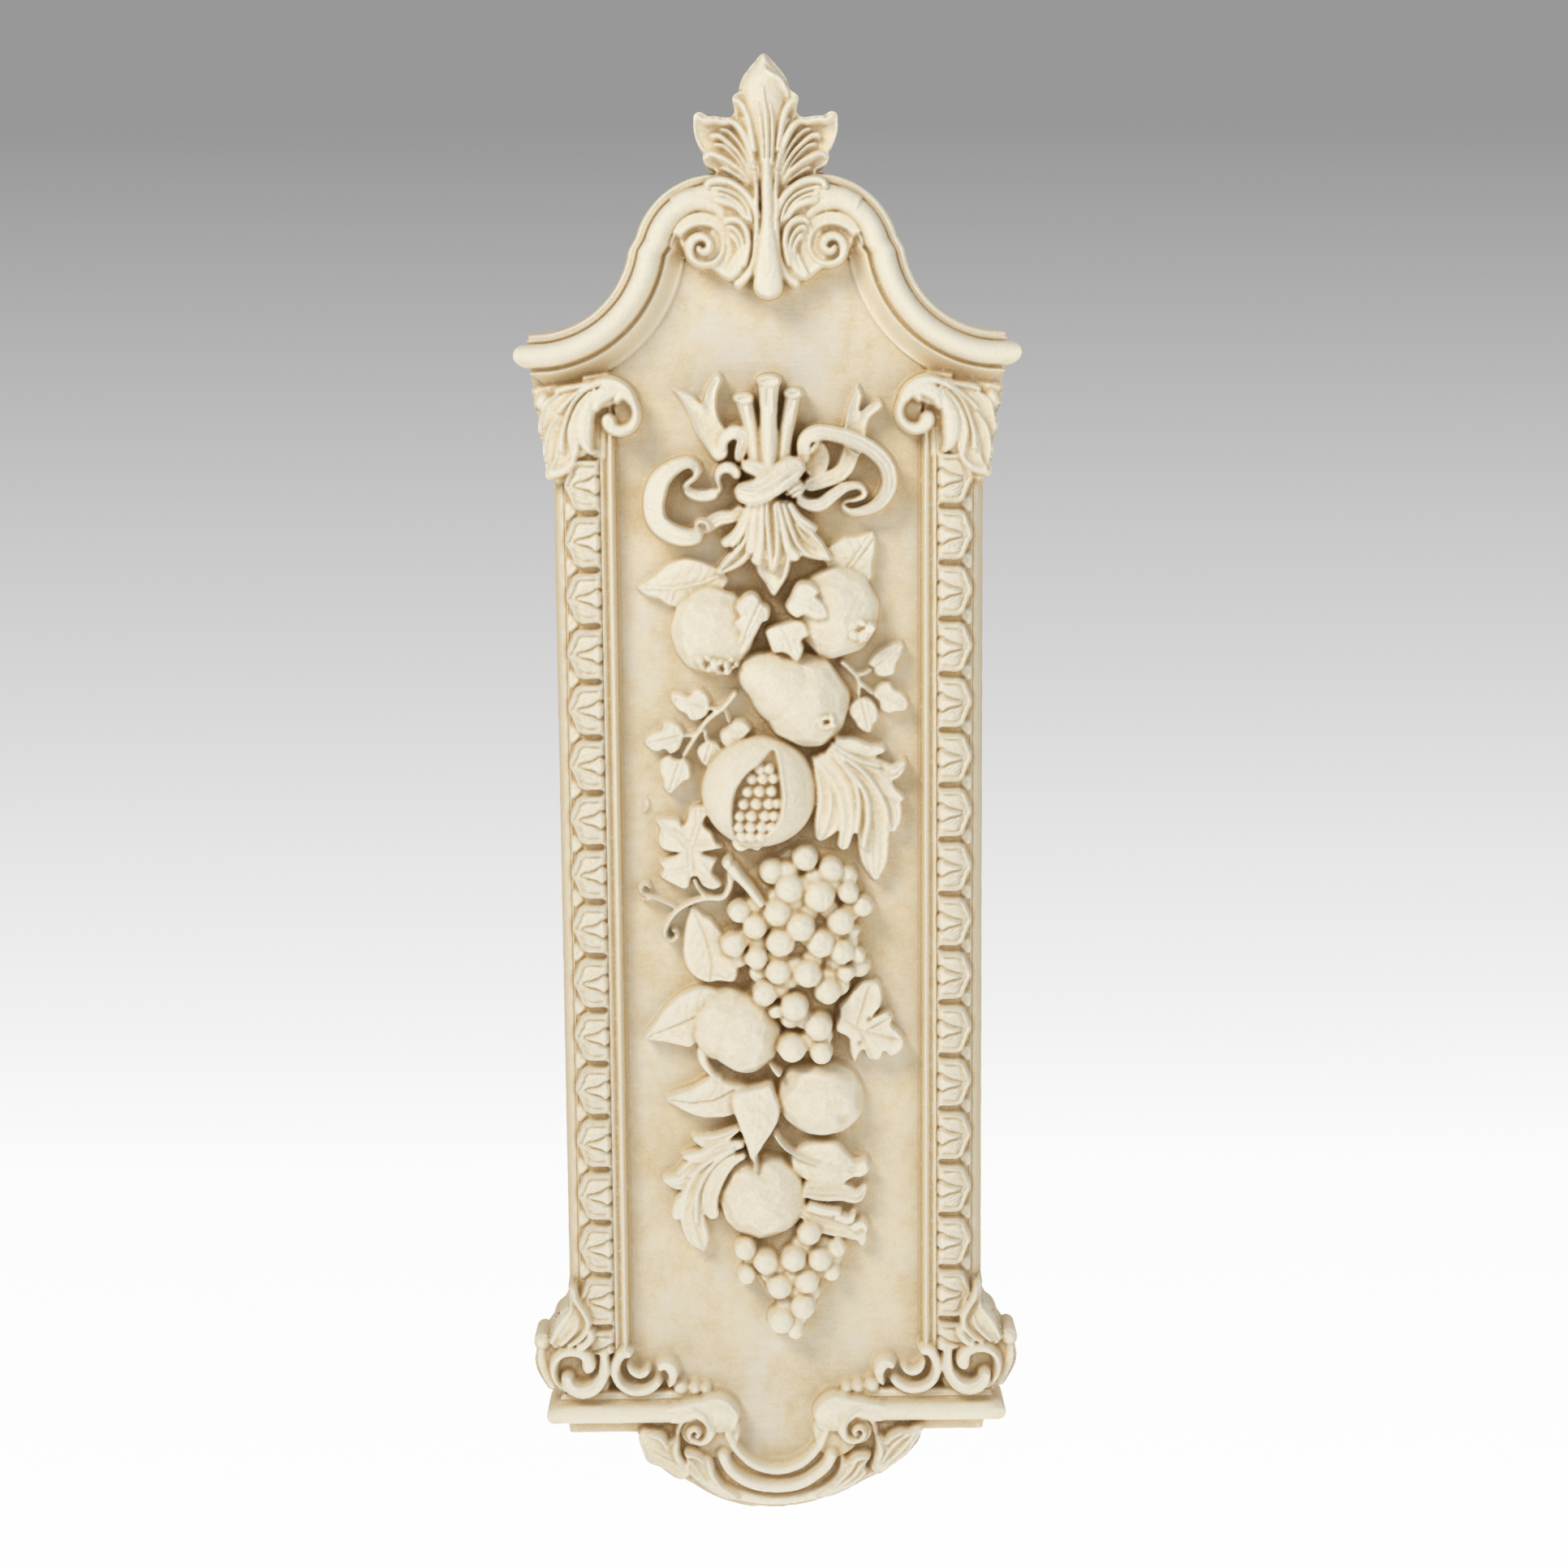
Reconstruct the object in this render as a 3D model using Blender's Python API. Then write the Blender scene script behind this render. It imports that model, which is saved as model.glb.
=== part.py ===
"""Decorative wall plaque, cast in one piece.

A tall panel between two pilasters with a leaf border, under an arched moulding with a leaf
finial, and over a sill with a scalloped foot.  A bunch of fruit hangs in the panel from a bow.
The back is flat and lies on the wall: the wall is the plane Y = 0, the front faces -Y and
+Z is up, with the origin in the middle of the back.

All sizes below are in millimetres, and solid() turns them into metres.  A place on the front is
written (x, z), and a height is measured from the wall towards the viewer.
"""
import math

import bmesh
import bpy
import numpy as np

MM = 0.001

# ---- driving dimensions ----
PANEL = 22.0            # height of the sunk field
SINK = 10.0             # height at which the carving starts, inside the slab
WALL_GAP = 0.4          # only the slab itself touches the wall
DRAFT = 3.0             # slope of the slab's sides, so that it leaves its mould

ARCH_TOP = (36.0, 404.5, 63.0)      # outer edge: x, z and radius of the round shoulder
ARCH_SWEEP = (171.0, 424.0, 70.0)   # outer edge: x, z and radius of the hollow below it
ARCH_TURN = 188.2                   # angle on the hollow where the two arcs meet, in degrees
ARCH_REACH = 138.0                  # side end of the arch moulding, for a height of zero

PILASTER_TOP = 322.0
PILASTER_FOOT = -455.0
LEAF_PITCH = 41.5                   # leaf border: one unit to the next
LEAF_COUNT = 17
FIRST_LEAF = 243.5
LEAF_INNER = 124.3                  # straight inner side of the leaf border
BED_SINK = 21.0
# sections along one leaf: distance from its middle, outer edge, ridge and height
LEAF_SECTIONS = [(-18.3, 140, 130, 39), (-8, 144, 129, 43), (0, 148.5, 130, 37),
                 (8, 144, 129, 43), (18.3, 140, 130, 39)]

SILL_REACH = 131.0                  # side end of the sill moulding, for a height of zero
FRUIT_RISE = 27.0                   # height of the widest ring of a fruit
TOP_RING = 68.0                     # a dome is cut flat this many degrees up its side


# ---- making solids ----
carving = bpy.data.collections.new("carving")     # what is joined to the ground


def clear_scene():
    """Empty the scene, so that it holds only the plaque."""
    for thing in list(bpy.data.objects):
        bpy.data.objects.remove(thing, do_unlink=True)
    bpy.context.scene.collection.children.link(carving)


def solid(name, rings, mirrored=False):
    """Skin a row of rings of (x, z, height) into a closed solid, and its mirror image too."""
    for side in ((1, -1) if mirrored else (1,)):
        mesh = bpy.data.meshes.new(name)
        form = bmesh.new()
        rows = []
        for ring in rings:
            rows.append([form.verts.new((side * x * MM, -h * MM, z * MM)) for x, z, h in ring])
        count = len(rows[0])
        for lower, upper in zip(rows, rows[1:]):
            for i in range(count):
                j = (i + 1) % count
                form.faces.new((lower[i], lower[j], upper[j], upper[i]))
        form.faces.new(rows[0])
        form.faces.new(rows[-1])
        bmesh.ops.recalc_face_normals(form, faces=form.faces)
        bmesh.ops.triangulate(form, faces=[f for f in form.faces if len(f.verts) > 4])
        form.to_mesh(mesh)
        form.free()
        thing = bpy.data.objects.new(name, mesh)
        thing.hide_render = True
        thing.display_type = "WIRE"
        carving.objects.link(thing)


def arc(x, z, radius, start, end, steps):
    """Points on an arc, its angles in degrees."""
    angles = np.radians(np.linspace(start, end, steps))
    return [(x + radius * math.cos(a), z + radius * math.sin(a)) for a in angles]


def inset(outline, distance):
    """Move each point of a closed outline, drawn anticlockwise, inward by a distance."""
    points = np.array(outline, float)
    before = points - np.roll(points, 1, axis=0)
    after = np.roll(points, -1, axis=0) - points
    before /= np.linalg.norm(before, axis=1)[:, None]
    after /= np.linalg.norm(after, axis=1)[:, None]
    along = before + after
    along /= np.linalg.norm(along, axis=1)[:, None]
    inward = np.stack([-along[:, 1], along[:, 0]], axis=1)
    return [tuple(p) for p in points + inward * distance]


def plate(name, outline, low, high, draft, mirrored=False):
    """A flat plate of a closed outline, a little smaller at its face than at its foot."""
    rings = [[(x, z, low) for x, z in outline],
             [(x, z, high) for x, z in inset(outline, draft)]]
    solid(name, rings, mirrored)


def strip(name, path, half_widths, heights, crown=0.0, mirrored=False):
    """A carved strip along a path: a leaf, a ribbon, a stem or the band of a scroll.

    Its middle stands at the given heights and its edges lower by the crown; with no crown its
    sides slope up to a ridge.
    """
    points = np.array(path, float)
    count = len(points)
    steps = np.gradient(points, axis=0)
    steps /= np.linalg.norm(steps, axis=1)[:, None]
    across = np.stack([-steps[:, 1], steps[:, 0]], axis=1)
    widths = np.interp(np.linspace(0, 1, count), np.linspace(0, 1, len(half_widths)), half_widths)
    tops = np.interp(np.linspace(0, 1, count), np.linspace(0, 1, len(heights)), heights)
    sink = SINK if crown else PANEL - 1
    rings = []
    for point, side, width, top in zip(points, across, widths, tops):
        left = point + side * width
        right = point - side * width
        if crown:
            rings.append([(*left, sink), (*left, top - crown), (*point, top),
                          (*right, top - crown), (*right, sink)])
        else:
            rings.append([(*left, sink), (*point, top), (*right, sink)])
    solid(name, rings, mirrored)


def dome(name, x, z, half_x, half_z, top, segments, rows, rise=FRUIT_RISE, mirrored=False):
    """A rounded form with its widest ring at the height rise, and straight sides below that."""
    levels = [(1.0, SINK)]
    for row in range(rows + 1):
        lift = math.radians(TOP_RING) * row / max(rows, 1)
        levels.append((math.cos(lift), rise + (top - rise) * math.sin(lift)))
    rings = []
    for size, height in levels:
        ring = []
        for k in range(segments):
            angle = 2 * math.pi * k / segments
            ring.append((x + half_x * size * math.cos(angle),
                         z + half_z * size * math.sin(angle), height))
        rings.append(ring)
    solid(name, rings, mirrored)


def spiral(x, z, outer, inner, start, turns, steps):
    """Points on a scroll that winds inwards."""
    points = []
    for k in range(steps):
        share = k / (steps - 1)
        angle = math.radians(start) + 2 * math.pi * turns * share
        radius = outer + (inner - outer) * share
        points.append((x + radius * math.cos(angle), z + radius * math.sin(angle)))
    return points


# ---- the ground ----
def make_ground():
    """The slab with its true outline; every carving grows out of it."""
    foot = [(31, -545), (57, -534), (81, -522), (102, -506), (113, -485)]
    sill_end = [(153, -484), (169, -477), (172, -457)]
    side = [(180, -440), (184, -424), (179, -410), (170, -396), (160, -380), (159.5, -360),
            (159.5, 243), (163, 262), (166, 286), (171, 306), (176, 324), (177, 354)]
    hollow = arc(*ARCH_SWEEP, 268, ARCH_TURN, 6)
    shoulder = arc(*ARCH_TOP, 14, 82, 6)
    half = foot + sill_end + side + hollow + shoulder + [(30, 468)]
    outline = [(0, -548)] + half + [(-x, z) for x, z in reversed(half)]
    plate("ground", outline, 0.0, PANEL, DRAFT)


def make_finial():
    """The leaf at the top: a bud, two side lobes and a long stem, over two curling leaves."""
    half = [(30, 452), (33, 464), (38, 472), (46, 477), (46, 485), (53, 493), (53, 503),
            (49, 510), (36, 507), (27, 504), (23, 511), (24, 518), (18, 524), (14, 537), (7, 547)]
    outline = half + [(0, 550)] + [(-x, z) for x, z in reversed(half)]
    plate("finial_ground", outline, WALL_GAP, 30.0, 2.5)
    strip("bud", [(0, 470), (0, 500), (0, 522), (0, 545)], [4, 9, 15, 2], [40, 44, 46, 32], 5)
    strip("side_lobe", [(5, 468), (16, 488), (32, 498), (49, 503)], [3, 7, 10, 4],
          [42, 44, 44, 34], mirrored=True)
    strip("low_lobe", [(6, 455), (20, 472), (41, 479)], [4, 5, 4], [42, 42, 34], mirrored=True)
    strip("finial_stem", [(0, 376), (0, 388), (0, 405), (0, 435), (0, 480)], [3, 12, 8, 5, 3],
          [44, 52, 51, 50, 44], 5)
    strip("curl_leaf", [(8, 415), (15, 436), (26, 452), (38, 460)], [4, 9, 10, 4],
          [46, 52, 53, 46], mirrored=True)
    strip("hanging_leaf", [(26, 434), (19, 424), (16, 408), (25, 393)], [4, 6, 6, 3],
          [44, 49, 48, 40], mirrored=True)


# ---- mouldings ----
def make_arch():
    """The moulding over the panel: fillet, torus, bead and hollow, mitred back to the wall."""
    profile = [(2.5, 36), (9, 37), (11, 44), (17.5, 48), (24, 44), (28, 34), (31, 36), (42, 25)]
    x, z, radius = ARCH_TOP
    shoulder = [[(*arc(x, z, radius - o, angle, angle, 1)[0], h) for o, h in profile]
                for angle in np.linspace(92, 16, 5)]
    x, z, radius = ARCH_SWEEP
    hollow = [[(*arc(x, z, radius + o, angle, angle, 1)[0], h) for o, h in profile]
              for angle in np.linspace(ARCH_TURN, 262, 6)]
    rings = [ring + [(*ring[-1][:2], SINK), (*ring[0][:2], SINK)] for ring in shoulder + hollow]
    foot = z - radius
    corner = [(ARCH_REACH + h, foot - o, h) for o, h in profile]
    corner += [(150, foot - 41, SINK), (150, foot - 4, SINK)]
    rings.append(corner)
    rings.append([(x, z, WALL_GAP) for x, z, h in corner])
    solid("arch", rings, mirrored=True)
    strip("top_volute", spiral(47.5, 415, 15, 5, 150, -1.2, 10), [3.0, 2.4], [44, 45],
          mirrored=True)
    dome("top_volute_disc", 47.5, 415, 15, 15, 37, 8, 0, 37, mirrored=True)


def make_pilaster():
    """A pilaster: slanted outer band, thin ridge, bed of the leaf border, inner fillet."""
    profile = [(159.5, WALL_GAP), (159.5, 6), (157, 20), (151.5, 28), (149.5, 29), (149, 26),
               (125, 33), (122, 33), (121.5, 37), (114.5, 37), (113.5, 27), (111.5, 26),
               (111, SINK), (150, SINK), (150, WALL_GAP)]
    rings = [[(x, z, h) for x, h in profile] for z in (PILASTER_FOOT, PILASTER_TOP)]
    solid("pilaster", rings, mirrored=True)


def make_leaf_border():
    """The leaf border: each unit is a leaf whose two lobes spread from an outer point."""
    for k in range(LEAF_COUNT):
        z = FIRST_LEAF - k * LEAF_PITCH
        rings = []
        for drop, outer, ridge, height in LEAF_SECTIONS:
            rings.append([(outer, z - drop, BED_SINK), (ridge, z - drop, height),
                          (LEAF_INNER, z - drop, BED_SINK)])
        solid("border_leaf", rings, mirrored=True)


def make_sill():
    """The sill under the pilasters, and the volutes and hollows that end it."""
    profile = [(-455, 34), (-460, 36), (-461, 41), (-465, 46), (-470, 47), (-475, 44), (-477, 38),
               (-478, 31), (-484, 28)]
    inner = [(60, z, h) for z, h in profile]
    corner = [(SILL_REACH + h, z, h) for z, h in profile]
    base = [(60, -484, SINK), (60, -455, SINK)]
    turned = [(150, -483, SINK), (150, -456, SINK)]
    wall = [(x, z, WALL_GAP) for x, z, h in corner + turned]
    solid("sill", [inner + base, corner + turned, wall], mirrored=True)
    strip("sill_hollow", [(62, -460), (48, -459), (36, -464), (31, -474), (36, -487)],
          [3, 6, 8, 8, 4], [42, 43, 42, 40, 36], 3, mirrored=True)
    strip("low_volute", spiral(62.5, -482, 13.5, 4.5, 80, -1.2, 10), [2.8, 2.2], [46, 45],
          mirrored=True)
    dome("low_volute_disc", 62.5, -482, 14, 14, 37, 8, 0, 37, mirrored=True)


def make_foot():
    """The scalloped foot: a thin rim, a round bar under it, and leaves at its sides."""
    strip("foot_rim", arc(0, -477, 38, 195, 345, 9), [2.0], [37])
    strip("foot_bar", arc(0, -480, 47.5, 205, 335, 9), [4.3], [38, 44, 38], 3.0)
    strip("foot_edge", arc(0, -442, 103, 227, 313, 9), [3.0], [33])
    strip("foot_leaf", [(28, -541), (48, -526), (60, -513), (72, -500)], [2, 7, 9, 6],
          [33, 38, 42, 44], mirrored=True)
    strip("foot_leaf_outer", [(60, -530), (80, -514), (96, -499), (110, -484)], [3, 8, 11, 4],
          [32, 36, 40, 40], mirrored=True)


# ---- capitals and corners ----
def make_capital():
    """A capital: a leaf that rolls over into a scroll, with its tips over the pilaster."""
    outline = [(124, 322), (124, 268), (141, 246), (157, 243), (163, 252), (162, 262), (166, 277),
               (165, 290), (171, 299), (171, 311), (176, 322)]
    plate("capital_block", outline, WALL_GAP, 34.0, 1.5, mirrored=True)
    strip("capital_scroll", [(117, 288), (109, 282), (98, 286), (92, 298), (97, 311), (110, 318),
                             (123, 314), (133, 302), (138, 286), (139, 268)],
          [5, 4, 3, 3, 4, 5, 9, 11, 12, 10], [50, 46, 46, 48, 50, 52, 53, 52, 50, 46], 3,
          mirrored=True)
    strip("capital_side_leaf", [(150, 318), (162, 314), (167, 303)], [3, 6, 5], [38, 40, 36], 3,
          mirrored=True)
    strip("capital_curl", [(142, 266), (142, 254), (149, 246), (158, 249)], [2.5, 3, 3, 2.5],
          [42, 43, 42, 40], mirrored=True)


def make_corner():
    """A lower corner: a side leaf over two C-scrolls, a bud and three beads."""
    outline = [(130, -454), (173, -454), (181, -440), (185, -427), (185, -415), (179, -407),
               (169, -392), (160, -381), (161, -369), (158, -364), (150, -376), (143, -395),
               (131, -420)]
    plate("corner_block", outline, WALL_GAP, 33.0, 1.5, mirrored=True)
    strip("corner_leaf", [(172, -404), (164, -396), (157, -384), (154, -370)], [4, 6, 5, 1],
          [36, 40, 39, 34], mirrored=True)
    strip("corner_vein", [(156, -367), (149, -381), (143, -391), (142, -402)], [1.5, 2.5, 3, 3],
          [38, 42, 43, 40], mirrored=True)
    strip("corner_scroll", [(145, -434), (140, -425), (147, -417), (157, -417), (167, -423),
                            (170, -433), (166, -445), (157, -451)],
          [5, 5, 4.5, 4, 3.5, 3, 3, 2], [50, 48, 47, 46, 45, 43, 42, 40], 2.5, mirrored=True)
    strip("corner_hook", [(131, -424), (131, -437), (138, -448), (149, -451), (158, -444),
                          (159, -436)],
          [6, 6, 4, 3, 3, 4], [44, 44, 44, 44, 45, 46], 2.5, mirrored=True)
    strip("panel_scroll", [(110, -421), (118, -421), (124, -428), (125, -437), (120, -447),
                           (108, -453), (96, -451), (88, -444)],
          [4.5, 4.5, 4.5, 4, 4, 3.5, 3, 3], [46, 48, 48, 47, 46, 44, 42, 42], 2.5, mirrored=True)
    strip("bud_end", [(92, -436), (84, -431), (79, -437), (82, -450)], [2, 5, 4, 2],
          [36, 40, 38, 32], mirrored=True)
    for x, radius in ((74, 6.0), (63, 5.3), (55, 4.6)):
        dome("bead", x, -448.5, radius, radius, 28 + radius * 2, 5, 1, 30, mirrored=True)


# ---- the bow ----
def make_bow():
    """Cut stems bound by a ribbon, whose loops and forked tails spread on both sides."""
    strip("stem", [(1, 319), (0, 258)], [7.5, 5.5], [54, 52], 5)
    strip("stem", [(-17, 307), (-9, 261)], [5, 4.5], [46, 48], 4)
    strip("stem", [(19, 310), (11, 264)], [5, 4.5], [46, 48], 4)
    strip("knot", [(-25, 236), (-12, 237), (8, 246), (24, 252)], [6, 9, 10, 7], [52, 60, 60, 54], 6)
    strip("knot", [(-20, 254), (-6, 247), (24, 236)], [4, 7, 7], [50, 55, 52], 5)
    strip("left_tail", [(-69, 311), (-49, 298), (-36, 268)], [2, 5, 6], [34, 36, 36])
    strip("left_tail", [(-37, 322), (-44, 300), (-36, 268)], [2, 5, 6], [36, 38, 36])
    strip("left_tail", [(-38, 267), (-34, 277), (-24, 281), (-18, 264)], [3, 5, 6, 5],
          [38, 44, 46, 42])
    strip("left_loop", [(-55, 243), (-56, 253), (-66, 256), (-83, 243), (-88, 225), (-78, 207),
                        (-61, 201), (-49, 207), (-50, 214)],
          [3, 6, 8, 8, 8, 8, 8, 5, 2], [40, 46, 48, 44, 42, 44, 48, 46, 40], 3)
    strip("left_fold", [(-62, 240), (-50, 234), (-38, 238), (-33, 249), (-22, 247)],
          [3, 5, 5, 5, 5], [38, 38, 40, 44, 46])
    strip("left_fold", [(-50, 210), (-38, 218), (-18, 226)], [3, 5, 5], [38, 38, 44])
    strip("right_loop", [(24, 258), (25, 272), (41, 280), (61, 275), (80, 263), (91, 248),
                         (88, 230), (74, 219), (54, 219)],
          [4, 6, 6, 6, 6, 6, 6, 5, 4], [48, 50, 50, 46, 44, 44, 44, 44, 42], 3)
    strip("right_fold", [(24, 229), (37, 223), (49, 232), (61, 240), (71, 239), (70, 230),
                         (54, 224)], [5, 5, 5, 5, 4, 3, 3], [46, 44, 42, 44, 42, 38, 38])
    strip("right_tail", [(66, 313), (61, 290), (58, 262), (46, 248), (26, 241)],
          [1.5, 6, 7, 7, 6], [36, 36, 36, 38, 44])
    strip("right_tail", [(83, 302), (68, 291), (60, 274)], [1.5, 4, 6], [36, 36, 36])
    for tip in ((-36, 198), (-34, 180), (-12, 183), (3, 162), (23, 184), (44, 189), (36, 208)):
        middle = (tip[0] * 0.45, (228 + tip[1]) / 2 + 2)
        strip("skirt", [(tip[0] * 0.1, 230), middle, tip], [4, 5, 2], [48, 46, 38])


# ---- the garland ----
FRUITS = [(-45, 137, 31, 31, 52), (55, 149, 30, 35, 54), (24, 77, 32, 32, 56), (-5, 103, 18, 17, 50),
          (-9, 14, 43, 42, 62), (-29, -168, 34, 34, 55), (35, -222, 32, 29, 54),
          (-9, -298, 32, 32, 54)]

# each leaf: its path from root to tip, half widths and height
LEAVES = [
    ([(-36, 172), (-60, 172), (-82, 170), (-99, 167)], [8, 17, 13, 1], 34),
    ([(46, 178), (58, 190), (70, 200), (79, 207)], [8, 14, 9, 1], 35),
    ([(40, 164), (27, 157), (16, 150)], [7, 12, 3], 54),
    ([(13, 142), (15, 130), (20, 113)], [4, 9, 1], 46),
    ([(-24, 160), (-15, 150), (-22, 137)], [5, 7, 3], 52),
    ([(-45, -150), (-65, -160), (-84, -168), (-99, -174)], [14, 18, 12, 1], 37),
    ([(-44, -130), (-46, -110), (-52, -92), (-60, -72)], [7, 16, 13, 1], 35),
    ([(-28, -214), (-48, -217), (-68, -219), (-83, -221)], [10, 15, 9, 1], 38),
    ([(-8, -204), (-14, -226), (-14, -250), (-17, -271)], [10, 17, 12, 1], 46),
    ([(20, -262), (38, -270), (56, -274), (72, -277)], [10, 17, 11, 1], 38),
]

# each spray of acanthus: its root, the tips of its fingers, half width and height
SPRAYS = [
    ((36, 30), [(84, 46), (100, 37), (98, 8), (92, -17), (79, -54), (55, -32)], 8, 44),
    ((-22, -268), [(-62, -254), (-72, -266), (-84, -285), (-77, -317), (-54, -341)], 6, 42),
    ((22, -276), [(69, -290), (62, -302), (66, -338)], 6, 40),
]

SMALL_LEAVES = [(-58, 81, 14), (-77, 54, 13), (-71, 28, 13), (-27, 58, 11), (87, 112, 14),
                (91, 84, 13), (70, 71, 12)]
VINE_LEAVES = [(-63, -28, 31, 100), (74, -164, 31, 320)]

UPPER_GRAPES = [(0, -46), (25, -37), (44, -45), (13, -58), (35, -63), (55, -63), (68, -73),
                (-25, -76), (4, -75), (-13, -87), (21, -87), (51, -84), (-29, -100), (6, -99),
                (36, -100), (-12, -111), (52, -107), (4, -121), (26, -123), (55, -124),
                (-4, -138), (16, -147), (41, -136), (35, -162), (14, -179), (36, -183)]
UPPER_GRAPES_AXIS = 18
LOWER_GRAPES_AXIS = 12
GRAPE_FALL = 0.16       # the outer grapes lie lower by this much for each step sideways
LOWER_GRAPES = [(26, -326), (-23, -339), (-7, -349), (14, -346), (34, -346), (47, -339),
                (-22, -359), (43, -358), (2, -368), (24, -364), (21, -383), (3, -395), (14, -402)]


def lobed_leaf(name, x, z, size, heading, height, lobes, depth):
    """A flat leaf whose outline swells into pointed lobes around its root."""
    outline = []
    steps = lobes * 2
    for k in range(steps):
        angle = math.radians(heading + 360 * k / steps)
        reach = size * (1.0 if k % 2 == 0 else depth)
        outline.append((x + reach * math.cos(angle), z + reach * math.sin(angle)))
    rings = [[(u, v, SINK) for u, v in outline],
             [(x + (u - x) * 0.85, z + (v - z) * 0.85, height) for u, v in outline]]
    solid(name, rings)


def make_garland():
    """Fruit, leaves, twigs and two bunches of grapes, hung from the bow."""
    for x, z, half_x, half_z, top in FRUITS:
        dome("fruit", x, z, half_x, half_z, top, 8, 3)
    for path, half_widths, height in LEAVES:
        strip("leaf", path, half_widths, [height, height, height - 4])
    for root, tips, half_width, height in SPRAYS:
        for tip in tips:
            middle = ((root[0] + tip[0]) / 2, (root[1] + tip[1]) / 2 + half_width)
            strip("acanthus", [root, middle, tip], [half_width * 0.6, half_width, 1.5],
                  [height, height, height - 8])
    for x, z, size in SMALL_LEAVES:
        lobed_leaf("small_leaf", x, z, size, 90, 34, 3, 0.6)
    for x, z, size, heading in VINE_LEAVES:
        lobed_leaf("vine_leaf", x, z, size, heading, 36, 5, 0.62)
    strip("twig", [(-25, 89), (-42, 62), (-66, 40)], [2.5], [36, 34, 32])
    strip("twig", [(54, 110), (67, 99), (77, 88)], [2.5], [36, 34, 32])
    strip("vine", [(-34, -37), (-7, -75)], [4.5], [44, 46])
    strip("vine", [(-32, -52), (-48, -67), (-72, -74), (-95, -60)], [2.5], [40, 36, 34, 32])
    strip("vine", [(-72, -74), (-81, -86), (-75, -94)], [2.0], [34, 33, 32])
    for x, z in UPPER_GRAPES:
        fall = abs(x - UPPER_GRAPES_AXIS) * GRAPE_FALL
        dome("grape", x, z, 10, 10, 54 - fall, 5, 1, 40 - fall)
    for x, z in LOWER_GRAPES:
        fall = abs(x - LOWER_GRAPES_AXIS) * GRAPE_FALL
        dome("grape", x, z, 9, 9, 50 - fall, 5, 1, 37 - fall)


# ---- the plaque ----
def painted_plaster():
    """Cast plaster under ivory paint."""
    material = bpy.data.materials.new("ivory_painted_plaster")
    material.use_nodes = True
    shader = material.node_tree.nodes["Principled BSDF"]
    shader.inputs["Base Color"].default_value = (0.78, 0.70, 0.54, 1.0)
    shader.inputs["Roughness"].default_value = 0.7
    shader.inputs["Metallic"].default_value = 0.0
    return material


def unite():
    """Join the ground and all its carving into the one solid that the casting is."""
    plaque = carving.objects["ground"]
    carving.objects.unlink(plaque)
    plaque.name = "plaque"
    plaque.data.name = "plaque"
    plaque.hide_render = False
    plaque.display_type = "TEXTURED"
    bpy.context.scene.collection.objects.link(plaque)
    joint = plaque.modifiers.new("carving", "BOOLEAN")
    joint.operation = "UNION"
    joint.operand_type = "COLLECTION"
    joint.collection = carving
    joint.solver = "EXACT"
    plaque.data.materials.append(painted_plaster())


clear_scene()
make_ground()
make_finial()
make_arch()
make_pilaster()
make_leaf_border()
make_sill()
make_foot()
make_capital()
make_corner()
make_bow()
make_garland()
unite()
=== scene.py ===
"""Looks of the decorative wall plaque: carved mouldings, leaf border, bow, fruit and paint.

Every shape below is worked out in millimetres on the plaque's own front, as (x, z, height):
x to the right, z up from the middle, and height from the wall towards the viewer.
"""
import math

import bmesh
import bpy
import numpy as np
from bpy.props import FloatProperty, FloatVectorProperty, PointerProperty
from mathutils import Matrix, Vector
from mathutils.geometry import tessellate_polygon


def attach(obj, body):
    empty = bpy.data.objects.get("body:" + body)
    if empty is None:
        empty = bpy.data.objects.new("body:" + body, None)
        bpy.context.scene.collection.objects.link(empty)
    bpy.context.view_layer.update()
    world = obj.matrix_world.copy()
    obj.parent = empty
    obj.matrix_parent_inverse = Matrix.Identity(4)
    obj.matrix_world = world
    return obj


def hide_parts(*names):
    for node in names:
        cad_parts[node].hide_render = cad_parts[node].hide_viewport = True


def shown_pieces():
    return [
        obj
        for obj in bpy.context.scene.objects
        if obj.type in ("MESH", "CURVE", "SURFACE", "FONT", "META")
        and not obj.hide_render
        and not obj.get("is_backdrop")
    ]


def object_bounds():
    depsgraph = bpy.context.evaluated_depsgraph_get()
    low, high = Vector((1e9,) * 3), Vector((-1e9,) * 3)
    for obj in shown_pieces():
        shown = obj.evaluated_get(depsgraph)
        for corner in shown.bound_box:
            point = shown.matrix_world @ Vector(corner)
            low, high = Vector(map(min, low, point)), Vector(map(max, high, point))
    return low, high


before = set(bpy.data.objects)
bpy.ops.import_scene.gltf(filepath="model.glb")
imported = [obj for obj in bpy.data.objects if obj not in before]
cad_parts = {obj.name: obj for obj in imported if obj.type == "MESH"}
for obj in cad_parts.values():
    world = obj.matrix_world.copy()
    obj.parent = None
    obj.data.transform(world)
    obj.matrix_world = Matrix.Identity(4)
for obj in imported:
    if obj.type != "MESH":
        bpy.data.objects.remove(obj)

bl_info = {
    "name": "Wall plaque carving",
    "version": (1, 0, 0),
    "blender": (4, 5, 0),
    "location": "View3D > Sidebar > Plaque",
    "description": "Makes the carved and painted surface of a cast wall plaque",
    "category": "Object",
}

CAD_BOX = [list(corner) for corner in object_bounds()]
MM = 0.001
HALF_WIDTH = CAD_BOX[1][0] / MM         # 186
TOP = CAD_BOX[1][2] / MM                # 550
FOOT = CAD_BOX[0][2] / MM               # -548

# ---- heights that every part of the carving shares ----
PANEL = 22.0            # the sunk field
SINK = 16.0             # where carving on the field starts, inside the slab
ROOT = 8.0              # where the deep mouldings start
DRAFT = 0.6             # how far the side of a flat form leans in

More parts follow.
